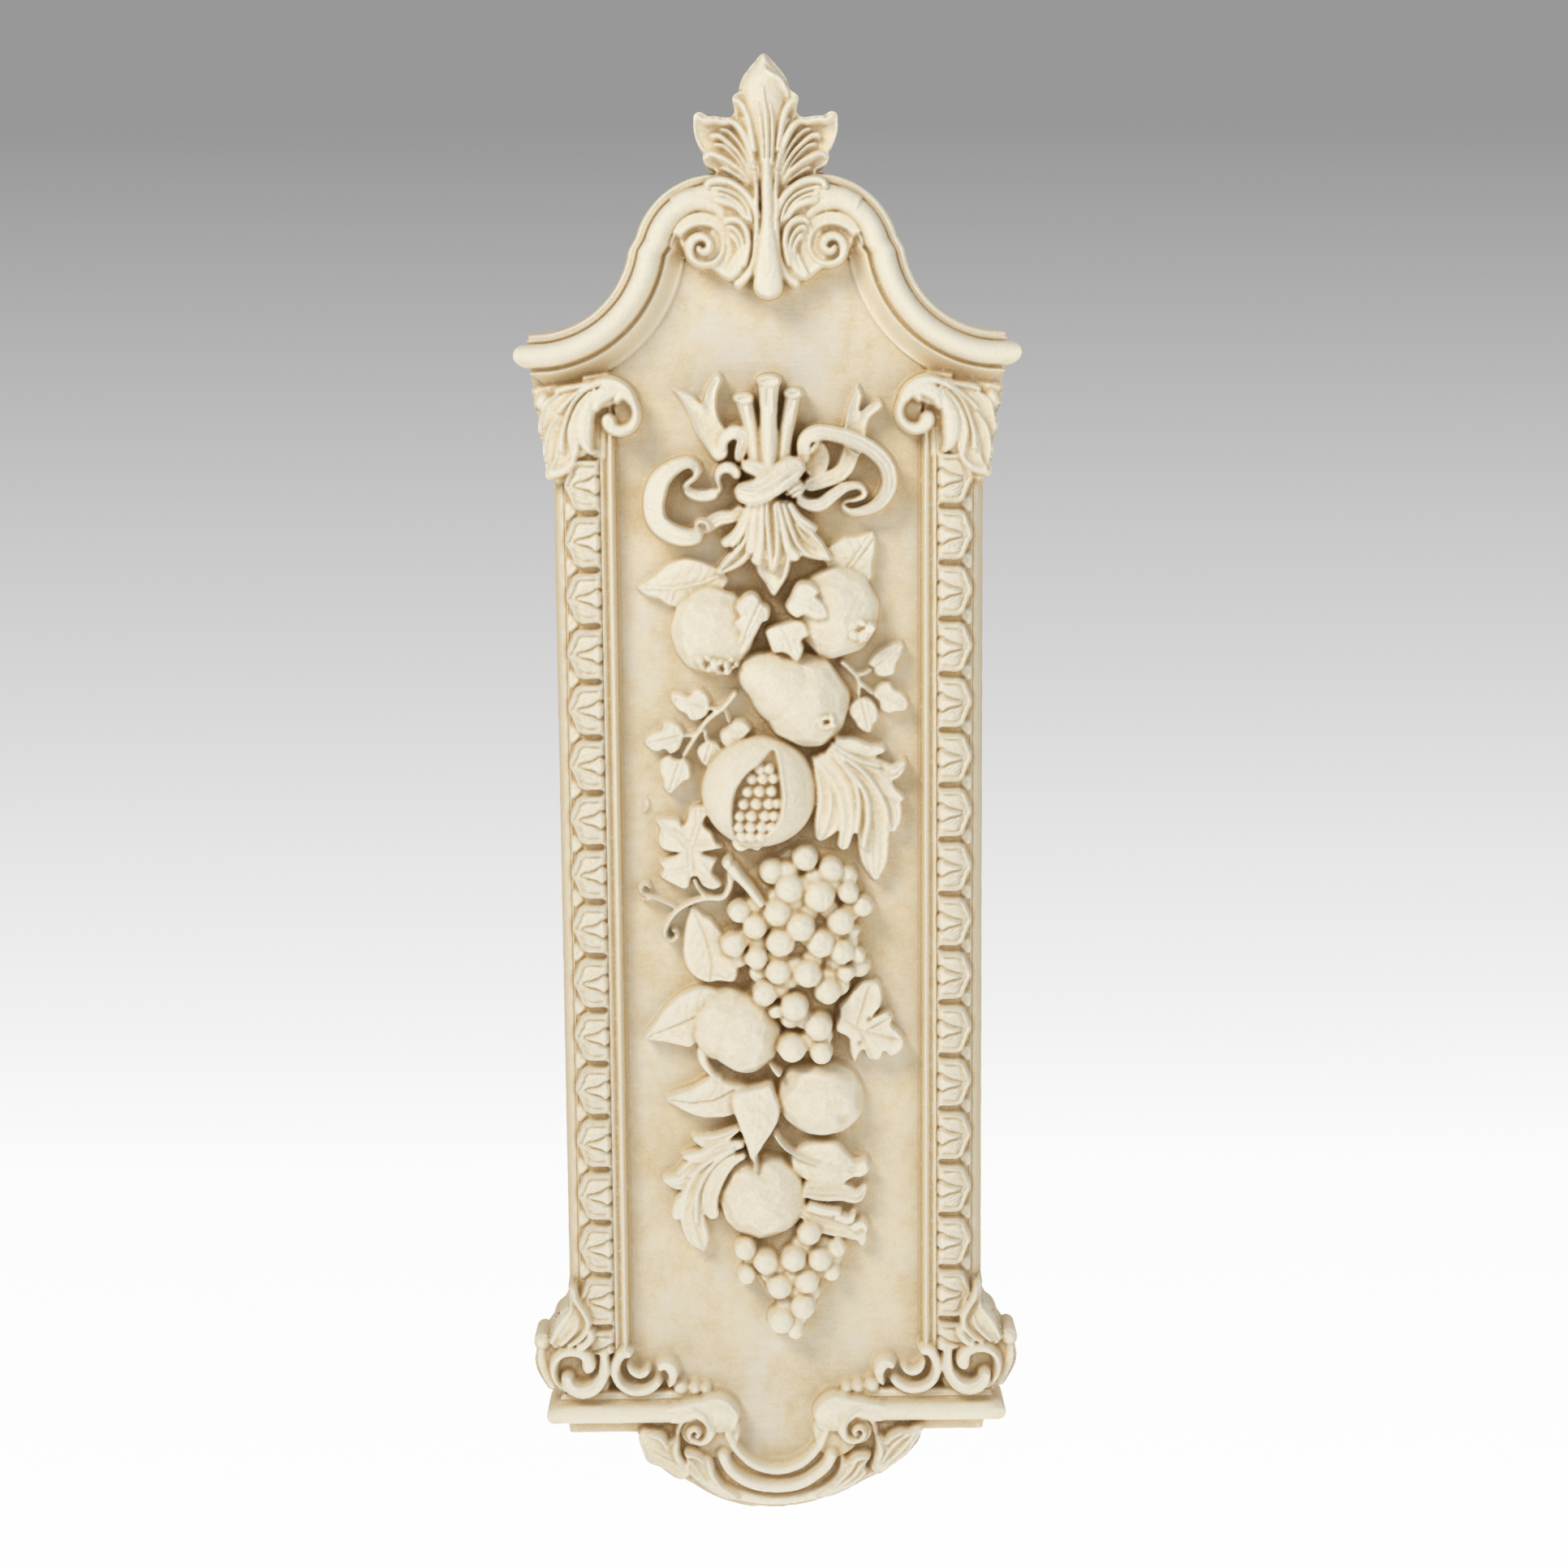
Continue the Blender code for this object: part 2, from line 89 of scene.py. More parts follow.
# ---- the arch: x, z and radius of its two curves ----
ARCH_TOP = (36.0, 404.5, 63.0)
ARCH_SWEEP = (171.0, 424.0, 70.0)
ARCH_TURN = 188.2       # degrees round the sweep to where the top curve meets it
ARCH_REACH = 138.0      # from the middle to the mitre, where it leaves the wall

# ---- the pilasters and their leaf border ----
PILASTER_TOP = 306.0
PILASTER_FOOT = -425.0
BORDER_INNER = 124.3    # from the middle to the border's inner edge
BORDER_TOP = 269.0
BORDER_FOOT = -421.0
BORDER_STEP = 0.72      # from one row of points to the next

# ---- the maps of the front ----
CELL = 0.8              # from one place on a map to the next
FINE = CELL / 2         # the carving is first drawn on maps twice as fine
EDGE = 24.0             # room round the plaque
CURVE_STEPS = 24        # places worked out between two points of a line
STAMP_SIZES = (0, 1, 2, 3, 5, 9, 17, 33, 65, 3000)      # triangles are drawn in groups of a size
STAMP_ROOM = 2000000    # cells worked out at a time
SOFT_EDGE = 0.45        # how far the mould rounds an edge
HOLLOW_FILLS = ((0.9, 0.22), (1.9, 0.20), (3.6, 0.07))  # a hollow's reach, the share filled up
TOOTH = ((2.2, 0.22, 41), (5.5, 0.22, 42))              # the plaster's tooth: size, height, seed
COVER_EDGE = 0.7        # softness of the map that says where the plaque is
LOGISTIC = 1.702        # with this factor a logistic curve follows a blurred edge
DIP = 0.22              # how far a form's outermost places lie under the ground
BACK = 2.5              # where the walls of the outer pieces end
# pieces that reach past the slab, so that each has a flat back of its own
OUTER = ("finial", "capitals", "corner_scrolls", "foot", "volutes")


# ---- lines ----
def smooth_line(points, step=1.2, closed=False):
    """A smooth line through the points, as evenly spaced places about one step apart."""
    points = np.array(points, float)
    if closed:
        points = np.vstack([points[-2:], points, points[:3]])
    else:
        points = np.vstack([2 * points[0] - points[1], points, 2 * points[-1] - points[-2]])
    chords = np.sqrt(np.linalg.norm(np.diff(points, axis=0), axis=1)) + 1e-6
    knots = np.concatenate([[0], np.cumsum(chords)])
    dense = []
    last = len(points) - 2
    for i in range(1, last):
        p0, p1, p2, p3 = points[i - 1:i + 3]
        t0, t1, t2, t3 = knots[i - 1:i + 3]
        t = np.linspace(t1, t2, CURVE_STEPS, endpoint=False)[:, None]
        a1 = (t1 - t) / (t1 - t0) * p0 + (t - t0) / (t1 - t0) * p1
        a2 = (t2 - t) / (t2 - t1) * p1 + (t - t1) / (t2 - t1) * p2
        a3 = (t3 - t) / (t3 - t2) * p2 + (t - t2) / (t3 - t2) * p3
        b1 = (t2 - t) / (t2 - t0) * a1 + (t - t0) / (t2 - t0) * a2
        b2 = (t3 - t) / (t3 - t1) * a2 + (t - t1) / (t3 - t1) * a3
        dense.append((t2 - t) / (t2 - t1) * b1 + (t - t1) / (t2 - t1) * b2)
    dense = np.vstack(dense)
    if closed:
        dense = dense[CURVE_STEPS:CURVE_STEPS * (len(points) - 4) + 1]
    else:
        dense = np.vstack([dense, points[-2]])
    length = np.concatenate([[0], np.cumsum(np.linalg.norm(np.diff(dense, axis=0), axis=1))])
    count = max(4, int(round(length[-1] / step)) + 1)
    at = np.linspace(0, length[-1], count)
    return np.stack([np.interp(at, length, dense[:, k]) for k in range(dense.shape[1])], axis=1)


def arc(x, z, radius, start, end, count):
    """Points on an arc, its angles in degrees."""
    angles = np.radians(np.linspace(start, end, count))
    return np.stack([x + radius * np.cos(angles), z + radius * np.sin(angles)], axis=1)


def spread(values, count):
    """Values given at even places along a line, read at count places, with soft turns."""
    values = np.atleast_1d(np.array(values, float))
    if len(values) == 1:
        return np.full(count, values[0])
    if len(values) == 2:
        return np.linspace(values[0], values[1], count)
    line = smooth_line(np.stack([np.arange(len(values)) * 1.0, values], axis=1), 0.02)
    return np.interp(np.linspace(0, len(values) - 1, count), line[:, 0], line[:, 1])


def sides_of(line):
    """Unit vectors across a line, to its left."""
    along = np.gradient(line, axis=0)
    along /= np.linalg.norm(along, axis=1)[:, None] + 1e-9
    return np.stack([-along[:, 1], along[:, 0]], axis=1)


def inset(outline, distance):
    """Move each point of a closed outline, drawn anticlockwise, inward by a distance."""
    before = outline - np.roll(outline, 1, axis=0)
    after = np.roll(outline, -1, axis=0) - outline
    before /= np.linalg.norm(before, axis=1)[:, None]
    after /= np.linalg.norm(after, axis=1)[:, None]
    along = before + after
    along /= np.linalg.norm(along, axis=1)[:, None]
    return outline + np.stack([-along[:, 1], along[:, 0]], axis=1) * distance


def cell_noise(points, cell, seed):
    """Smooth noise from -1 to 1 over space, with lumps one cell across."""
    scaled = points / cell
    base = np.floor(scaled).astype(np.int64)
    part = scaled - base
    fade = part * part * (3 - 2 * part)
    total = np.zeros(len(points))
    for corner in range(8):
        bits = np.array([corner & 1, corner >> 1 & 1, corner >> 2 & 1])
        place = base + bits
        mixed = place[:, 0] * 73856093 ^ place[:, 1] * 19349663 ^ place[:, 2] * 83492791
        mixed = (mixed ^ (seed * 2654435)) & 0x7FFFFFFF
        mixed = (mixed * 1103515245 + 12345) & 0x7FFFFFFF
        mixed = (mixed ^ mixed >> 13) * 60493 & 0x7FFFFFFF
        value = (mixed >> 7 & 0xFFFF) / 32767.5 - 1
        total += value * np.prod(np.where(bits, fade, 1 - fade), axis=1)
    return total


# ---- closed forms ----
class Form:
    """Closed shapes in millimetres, gathered for one piece."""

    def __init__(self):
        self.points = []
        self.quads = []
        self.fans = []
        self.flats = []
        self.count = 0

    def skin(self, rings, mirrored=False, caps="fan"):
        """Skin rows of rings, an array (rows, places, 3), into a closed solid."""
        rings = np.asarray(rings, float)
        for side in ((1, -1) if mirrored else (1,)):
            rows, columns = rings.shape[:2]
            points = rings.reshape(-1, 3) * (side, 1, 1)
            index = np.arange(rows * columns).reshape(rows, columns) + self.count
            beside = np.roll(index, -1, axis=1)
            self.quads.append(np.stack([index[:-1], beside[:-1], beside[1:], index[1:]],
                                       axis=-1).reshape(-1, 4))
            self.points.append(points)
            self.count += len(points)
            for ring in (index[0], index[-1]):
                if caps == "flat":
                    self.flats.append(ring.tolist())
                    continue
                middle = points[ring - index[0, 0]].mean(axis=0)
                self.points.append(middle[None])
                centre = np.full(columns, self.count)
                self.fans.append(np.stack([ring, np.roll(ring, -1), centre], axis=1))
                self.count += 1

    def triangles(self):
        """Every face as triangles: the places of all points, and three corners for each."""
        points = np.vstack(self.points)
        corners = [block[:, (0, k, k + 1)] for block in self.quads for k in (1, 2)] + self.fans
        for ring in self.flats:
            outline = [Vector((*points[k, :2], 0)) for k in ring]
            found = tessellate_polygon([outline])
            corners.append(np.array(ring)[np.array(found)])
        return points, np.vstack(corners)

    def piece(self, name, ripple=0.16, sharp=None, ground=True):
        """Make a moulding: a mesh object that rides on the plaque's body."""
        if ground:
            FRONT.lay(*self.triangles())
        points = np.vstack(self.points)
        faces = [face for block in self.quads + self.fans for face in block.tolist()]
        piece = make_piece(name, points, faces + self.flats)
        face_front(piece.data)
        if ripple:
            hand_work(piece.data, ripple)
        if sharp:
            piece.data.set_sharp_from_angle(angle=math.radians(sharp))
        return piece

    def press(self, name):
        """Press the carving into the front, to be cast with its neighbours."""
        FRONT.press(name, *self.triangles())


def face_front(mesh):
    """Turn the faces out, and each open shell so that it looks away from the wall."""
    form = bmesh.new()
    form.from_mesh(mesh)
    bmesh.ops.recalc_face_normals(form, faces=form.faces)
    left = set(form.faces)
    while left:
        shell = [left.pop()]
        for face in shell:
            for edge in face.edges:
                near = [other for other in edge.link_faces if other in left]
                left.difference_update(near)
                shell.extend(near)
        flat = [face for face in shell if abs(face.normal.y) > 0.6] or shell
        if min(flat, key=lambda face: face.calc_center_median().y).normal.y > 0:
            bmesh.ops.reverse_faces(form, faces=shell)
    form.to_mesh(mesh)
    form.free()


def make_piece(name, points, faces):
    """A painted mesh object that rides on the plaque's body."""
    mesh = bpy.data.meshes.new(name)
    mesh.from_pydata(to_world(points), [], faces)
    mesh.shade_smooth()
    piece = bpy.data.objects.new(name, mesh)
    bpy.context.scene.collection.objects.link(piece)
    mesh.materials.append(painted_plaster())
    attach(piece, "root")
    return piece


def fill_flat(points, edges):
    """Triangles that fill closed outlines lying in one plane, looking towards the wall."""
    form = bmesh.new()
    corners = [form.verts.new(point) for point in points]
    lines = [form.edges.new((corners[first], corners[second])) for first, second in edges]
    bmesh.ops.triangle_fill(form, edges=lines, use_beauty=False, normal=(0, 0, 1))
    form.verts.index_update()
    faces = [[corner.index for corner in face.verts[:]] for face in form.faces]
    form.free()
    if len(faces) < len(edges) // 2:
        raise RuntimeError("an open back could not be filled")
    for face in faces:
        (ax, az), (bx, bz), (cx, cz) = (points[corner][:2] for corner in face)
        if (bx - ax) * (cz - az) > (cx - ax) * (bz - az):
            face.reverse()
    return faces


# ---- the front as one surface ----
def blur(grid, radius, step=CELL):
    """Blur a map with a soft round brush of a radius in millimetres."""
    rows = np.fft.fftfreq(grid.shape[0])[:, None]
    columns = np.fft.rfftfreq(grid.shape[1])[None]
    soft = np.exp(-2 * (math.pi * radius / step) ** 2 * (rows ** 2 + columns ** 2))
    return np.fft.irfft2(np.fft.rfft2(grid) * soft, grid.shape)


def stamp(heights, points, corners):
    """Raise a fine map of heights wherever triangles stand above it."""
    flat = (points[:, :2] - (-HALF_WIDTH - EDGE, FOOT - EDGE)) / FINE
    triangle = np.concatenate([flat, points[:, 2:]], axis=1)[corners]
    least = np.ceil(triangle[..., :2].min(axis=1)).astype(int)
    size = np.floor(triangle[..., :2].max(axis=1)).astype(int) - least + 1
    span = size.max(axis=1)
    seen = size.min(axis=1) > 0
    for small, large in zip(STAMP_SIZES, STAMP_SIZES[1:]):
        chosen = np.flatnonzero(seen & (span > small) & (span <= large))
        alone = large == STAMP_SIZES[-1]
        room = 1 if alone else max(1, STAMP_ROOM // large ** 2)
        for start in range(0, len(chosen), room):
            part = chosen[start:start + room]
            wide, tall = size[part[0]] if alone else (large, large)
            column = least[part, 0, None, None] + np.arange(wide)[None, None, :]
            row = least[part, 1, None, None] + np.arange(tall)[None, :, None]
            a, b, c = (triangle[part, k, :, None, None] for k in range(3))
            turn = (b[:, 0] - a[:, 0]) * (c[:, 1] - a[:, 1]) - (c[:, 0] - a[:, 0]) * (
                b[:, 1] - a[:, 1])
            turn = np.where(np.abs(turn) < 1e-9, 1e-9, turn)
            second = ((column - a[:, 0]) * (c[:, 1] - a[:, 1]) - (c[:, 0] - a[:, 0]) * (
                row - a[:, 1])) / turn
            third = ((b[:, 0] - a[:, 0]) * (row - a[:, 1]) - (column - a[:, 0]) * (
                b[:, 1] - a[:, 1])) / turn
            inside = (second >= -1e-6) & (third >= -1e-6) & (second + third <= 1 + 1e-6)
            level = a[:, 2] + second * (b[:, 2] - a[:, 2]) + third * (c[:, 2] - a[:, 2])
            row, column = np.broadcast_arrays(row, column)
            inside &= (row >= 0) & (row < heights.shape[0]) & (column >= 0) & (
                column < heights.shape[1])
            np.maximum.at(heights, (row[inside], column[inside]), level[inside])


class Front:
    """The plaque's front as maps of heights, which the mouldings and the carving share."""

    def __init__(self):
        rows = int((TOP - FOOT + 2 * EDGE) / CELL) + 1
        columns = int((2 * HALF_WIDTH + 2 * EDGE) / CELL) + 1
        self.shape = (rows, columns)
        self.fine = (2 * rows, 2 * columns)
        self.ground = np.zeros(self.fine)
        self.height = np.zeros(self.fine)
        self.owner = np.zeros(self.fine, int)
        self.names = []

    def lay(self, points, corners):
        """Take a moulding or the field into account as the ground under the carving."""
        stamp(self.ground, points, corners)

    def press(self, name, points, corners):
        """Take a carved form; where it is the highest, its place belongs to that form."""
        level = np.zeros(self.fine)
        stamp(level, points, corners)
        self.names.append(name)
        above = level > np.maximum(self.height, 0.5)
        self.height[above] = level[above]
        self.owner[above] = len(self.names)

    def settle(self):
        """Join all into one soft surface, as a cast from a mould has no gaps between its forms."""
        carved = self.height > self.ground + 0.05
        self.owner[~carved] = 0
        top = np.maximum(self.height, self.ground)
        there = (top > 0.5).astype(float)
        share = blur(there, SOFT_EDGE, FINE)
        soft = blur(top * there, SOFT_EDGE, FINE) / np.maximum(share, 0.05)
        self.cover = blur(there, COVER_EDGE, FINE)[::2, ::2]
        self.level = np.where(there > 0, soft, 0)[::2, ::2]
        self.solid = there[::2, ::2] > 0
        self.ground = self.ground[::2, ::2]
        self.owner = self.owner[::2, ::2]
        for radius, amount in HOLLOW_FILLS:
            hollow = self.around(radius) - self.level
            self.level = self.level + amount * hollow.clip(0) * self.solid
        # the tooth of the plaster
        rows, columns = np.indices(self.level.shape)
        spots = np.stack([rows, columns, 0 * rows], axis=-1).reshape(-1, 3) * CELL
        tooth = sum(height * cell_noise(spots, size, seed) for size, height, seed in TOOTH)
        self.level = self.level + tooth.reshape(rows.shape) * self.solid * (
            (self.level - self.ground) / 3).clip(0, 1)
        # the knife's last cuts leave ridges and creases crisp
        crease = self.around(1.3) - self.level
        rise = np.hypot(*np.gradient(self.level, CELL)) / 1.8
        self.level = self.level - 0.8 * crease.clip(-0.9, 0.7) * self.solid / (1 + rise ** 2)
        # steep flanks are drawn smooth, as the mould's draft leaves them
        rise = np.hypot(*np.gradient(self.level, CELL))
        share = 0.85 * ((rise - 1.6) / 3).clip(0, 1)
        self.level = np.where(self.solid, self.level * (1 - share) + self.around(0.9) * share, 0)
        # the places where the softening has raised the ground belong to the nearest form
        for step in range(7):
            lost = (self.owner == 0) & self.solid & ((self.level > self.ground + 0.04) | (step < 2))
            near = np.max([np.roll(self.owner, move, axis) for axis in (0, 1) for move in (1, -1)],
                          axis=0)
            self.owner = np.where(lost, near, self.owner)

    def around(self, radius):
        """The mean level round each place, within the outline."""
        near = blur(self.solid * 1.0, radius)
        return blur(self.level * self.solid, radius) / np.maximum(near, 0.05)

    def cast(self):
        """Make one mesh of each carved form, its outline drawn to the true edge."""
        lively = self.owner > 0
        quads = lively[:-1, :-1] & lively[1:, :-1] & lively[:-1, 1:] & lively[1:, 1:]
        keeper = np.max([self.owner[:-1, :-1], self.owner[1:, :-1], self.owner[:-1, 1:],
                         self.owner[1:, 1:]], axis=0) * quads
        open_side = np.pad(quads, 1)
        full = (open_side[:-1, :-1] & open_side[1:, :-1] & open_side[:-1, 1:]
                & open_side[1:, 1:])
        # the outermost places dip just under the ground, so that the surfaces meet without a step
        raised = (self.level - self.ground).clip(0)
        level = self.level - DIP * (1 - raised / 2).clip(0) * (self.ground > 5)
        level = np.where(full | (self.ground > 5), level, self.around(1.6))
        low = ~full & (self.ground > 5) & (raised < 2.5)
        level[low] = np.minimum(level, self.ground)[low] - DIP
        # the outline moves out to where the form is half covered
        slope_z, slope_x = np.gradient(self.cover)
        steep = np.maximum(np.hypot(slope_x, slope_z), 1e-3)
        part = self.cover.clip(0.02, 0.98)
        away = (COVER_EDGE / CELL * np.log(part / (1 - part)) / LOGISTIC).clip(-1, 1.5)
        shift = away * (~full) * (self.ground < 5)
        x = np.arange(self.shape[1]) * CELL - HALF_WIDTH - EDGE
        z = np.arange(self.shape[0]) * CELL + FOOT - EDGE
        x = x[None] - shift * slope_x / steep * CELL
        z = z[:, None] - shift * slope_z / steep * CELL
        places = np.stack([x + 0 * z, z + 0 * x, level], axis=-1).reshape(-1, 3)
        index = np.arange(lively.size).reshape(lively.shape)
        for number, name in enumerate(self.names, 1):
            mine = keeper == number
            if not mine.any():
                raise RuntimeError("nothing of " + name + " is left to cast")
            corner = index[:-1, :-1][mine]
            wide = self.shape[1]
            faces = np.stack([corner, corner + 1, corner + wide + 1, corner + wide], axis=1)
            edges = np.concatenate([faces[:, (k, (k + 1) % 4)] for k in range(4)])
            code = edges[:, 0].astype(np.int64) * index.size + edges[:, 1]
            back = edges[:, 1].astype(np.int64) * index.size + edges[:, 0]
            rim = edges[~np.isin(code, back)]
            used = np.unique(faces)
            slot = np.full(index.size, -1)
            slot[used] = np.arange(len(used))
            edge_points = np.unique(rim)
            wall = np.full(index.size, -1)
            wall[edge_points] = len(used) + np.arange(len(edge_points))
            floor = places[edge_points].copy()
            outermost = places[edge_points, 2].min() < 12 or name in OUTER
            floor[:, 2] = BACK if outermost else ROOT
            # the walls keep points of their own, so the face's shading stays true at its edge
            down = len(edge_points)
            walls = np.stack([wall[rim[:, 1]], wall[rim[:, 0]], wall[rim[:, 0]] + down,
                              wall[rim[:, 1]] + down], axis=1)
            points = np.vstack([places[used], places[edge_points], floor])
            faces = slot[faces].tolist() + walls.tolist()
            if name in OUTER:
                # a flat back with points of its own, so that its edge stays crisp
                where = np.full(index.size, -1)
                where[edge_points] = np.arange(down)
                faces += [[corner + len(points) for corner in three]
                          for three in fill_flat(floor, where[rim])]
                points = np.vstack([points, floor])
            make_piece(name, points, faces)


FRONT = Front()


def to_world(points):
    """Places on the front (x, z, height in millimetres) as the frame's metres."""
    return np.stack([points[:, 0], -points[:, 2], points[:, 1]], axis=1) * MM


def read_mesh(mesh):
    """The places of a mesh's points and which way each faces, a row for each point."""
    places = np.empty(len(mesh.vertices) * 3, np.float32)
    normals = np.empty(len(mesh.vertices) * 3, np.float32)
    mesh.vertices.foreach_get("co", places)
    mesh.vertex_normals.foreach_get("vector", normals)
    return places.reshape(-1, 3).astype(float), normals.reshape(-1, 3)


def hand_work(mesh, depth):
    """Soften a cast surface with the small dips and swellings that hand carving leaves."""
    places, normals = read_mesh(mesh)
    wave = cell_noise(places / MM, 7.0, 3) + 0.5 * cell_noise(places / MM, 2.9, 8)
    free = np.clip(-places[:, 1] / MM / 6.0 - 0.3, 0, 1)
    places += normals * (wave * free * depth * MM)[:, None]
    mesh.vertices.foreach_set("co", places.ravel())
    mesh.update()


def section(u, crown=0.0, round_edge=1.2, rim=0.0, grooves=0, depth=0.0, tilt=0.0):
    """Heights across a carved strip, from u = -1 at its left edge to 1 at its right.

    crown lowers the edges in a curve (below 0 it cups the middle), rim raises a lip along
    them, grooves cuts that many channels of a depth, and tilt lifts one edge.
    """
    away = np.abs(u)
    height = -crown * away ** 2
    height = height - round_edge * (1 - np.sqrt(np.clip(1 - ((away - 0.62) / 0.38).clip(0) ** 2,
                                                        0, 1)))
    if rim:
        height = height + rim * np.exp(-((away - 0.84) / 0.12) ** 2)
    if grooves:
        height = height - depth * np.abs(np.cos(math.pi * grooves * (u + 1) / 2)) ** 0.7 * (
            away < 0.97)
    return height + tilt * u


def carve(form, path, widths, heights, ends="round", across=11, step=1.3, base=SINK,
          teeth=0, bite=0.0, mirrored=False, wave=0.0, flare=0.7, smooth=True, **shape):
    """Carve a strip along a path: a leaf, ribbon, stem or band.

    widths are half widths and heights the tops, both at even places along the path. teeth and
    bite notch the outline, and wave ripples a leaf's surface between its side veins.
    """
    line = smooth_line(path, step) if smooth else np.array(path, float)
    count = len(line)
    share = np.linspace(0, 1, count)
    half = spread(widths, count).clip(0.05)
    top = spread(heights, count)
    length = np.linalg.norm(np.diff(line, axis=0), axis=1).sum()
    for end, place in ((0, share * length), (1, (1 - share) * length)):
        if ends in ("round", ("head", "tail")[end]):
            reach = half[0 if end == 0 else -1]
            if reach > 0.4:
                half = half * np.sqrt(np.clip(1 - (1 - place / reach).clip(0) ** 2, 0.004, 1))
    if teeth:
        saw = (share * teeth) % 1
        half = half * (1 - bite * saw)
    u = np.sin(np.linspace(-math.pi / 2, math.pi / 2, across))
    cross = np.repeat(u[None], count, axis=0)
    offset = section(cross, **shape)
    if wave:
        veins = (share[:, None] * max(teeth, 6) - np.abs(cross) * 0.9) % 1
        offset = offset - wave * np.abs(np.sin(math.pi * veins)) ** 0.5 * (
            np.abs(cross) > 0.1) * 0.8
    thin = np.clip(half / 3.0, 0.15, 1)[:, None]
    side = sides_of(line)
    surface = np.empty((count, across + 2, 3))
    surface[:, 1:-1, :2] = line[:, None] + side[:, None] * (half[:, None] * -cross)[:, :, None]
    surface[:, 1:-1, 2] = top[:, None] + offset * thin
    for k, sign in ((0, 1), (-1, -1)):
        surface[:, k, :2] = line + side * (half + flare)[:, None] * sign
        surface[:, k, 2] = base
    form.skin(surface, mirrored)


def strokes(form, rows, **shape):
    """Carve many strips of one section, each row a (path, half widths, heights)."""
    for path, widths, heights in rows:
        carve(form, path, widths, heights, **shape)


def dome(form, x, z, half_x, half_z, top, rise, turn=0.0, around=40, rows=16, base=SINK,
         facets=0, seed=1, tuck=0.92, mirrored=False):
    """A rounded form with its widest ring at the height rise, tucked in below it."""
    lift = np.linspace(90, 0, rows) * math.pi / 180
    size = np.cos(lift)
    level = rise + (top - rise) * np.sin(lift)
    size = np.concatenate([size, [0.985, (1 + tuck) / 2, tuck]])
    level = np.concatenate([level, [rise - 2.5, (rise + base) / 2, base]])
    angle = np.linspace(0, 2 * math.pi, around, endpoint=False)
    direction = np.stack([size[:, None] * np.cos(angle), size[:, None] * np.sin(angle),
                          np.repeat(((level - rise) / max(top - rise, 1))[:, None], around,
                                    axis=1)], axis=-1)
    if facets:
        direction *= facet_scale(direction, facets, seed)[..., None]
    cosine = math.cos(math.radians(turn))
    sine = math.sin(math.radians(turn))
    px = direction[..., 0] * half_x
    pz = direction[..., 1] * half_z
    rings = np.stack([x + px * cosine - pz * sine, z + px * sine + pz * cosine,
                      rise + direction[..., 2] * (top - rise)], axis=-1)
    form.skin(rings, mirrored)


def facet_scale(direction, count, seed):
    """How far out each direction reaches when a ball is pared by many small flat cuts."""
    chance = np.random.default_rng(seed)
    axes = chance.normal(size=(count, 3))
    axes[:, 2] = np.abs(axes[:, 2]) * 1.2
    axes /= np.linalg.norm(axes, axis=1)[:, None]
    depth = chance.uniform(0.925, 1.0, count)
    unit = direction / (np.linalg.norm(direction, axis=-1)[..., None] + 1e-9)
    facing = np.einsum("ijk,lk->ijl", unit, axes)
    reach = np.where(facing > 0.3, depth / np.maximum(facing, 0.3), 9.0)
    return np.minimum(reach.min(axis=-1), 1.0)


def tube(form, path, radii, heights, around=12):
    """A round stem or tendril lying on the field, its ends rounded."""
    line = smooth_line(path, 1.3)
    count = len(line)
    share = np.linspace(0, 1, count)
    radius = spread(radii, count)
    top = spread(heights, count)
    length = np.linalg.norm(np.diff(line, axis=0), axis=1).sum()
    for place in (share * length, (1 - share) * length):
        radius = radius * np.sqrt(np.clip(1 - (1 - place / radius.max()).clip(0) ** 2, 0.01, 1))
    angle = np.linspace(0, 2 * math.pi, around, endpoint=False)
    side = sides_of(line)
    rings = np.empty((count, around, 3))
    rings[..., :2] = line[:, None] + side[:, None] * (radius[:, None] * np.cos(angle))[..., None]
    rings[..., 2] = top[:, None] + radius[:, None] * np.sin(angle)
    form.skin(rings)


def plate(form, outline, top, base=ROOT, soften=1.6, mirrored=False):
    """A flat-topped form of a closed outline, drawn anticlockwise, with a softened edge."""
    rings = []
    for inward, height in ((0, base), (DRAFT, top - soften),
                           (DRAFT + 0.3 * soften, top - 0.3 * soften), (DRAFT + soften, top)):
        ring = inset(np.array(outline, float), inward)
        rings.append(np.column_stack([ring, np.full(len(ring), height)]))
    form.skin(rings, mirrored, caps="flat")


def round_over(start, end, rise, count):
    """A torus in a moulding's profile: half an ellipse from one offset to another."""
    angle = np.linspace(math.pi, 0, count)
    middle = (start[0] + end[0]) / 2
    reach = (end[0] - start[0]) / 2
    floor = np.linspace(start[1], end[1], count)
    return np.stack([middle + reach * np.cos(angle), floor + rise * np.sin(angle) ** 0.85], axis=1)


def hollow_out(start, end, power, count):
    """A cavetto in a moulding's profile, steep at its start and easing off to its end."""
    share = np.linspace(0, 1, count)
    return np.stack([start[0] + (end[0] - start[0]) * share,
                     end[1] + (start[1] - end[1]) * (1 - share) ** power], axis=1)


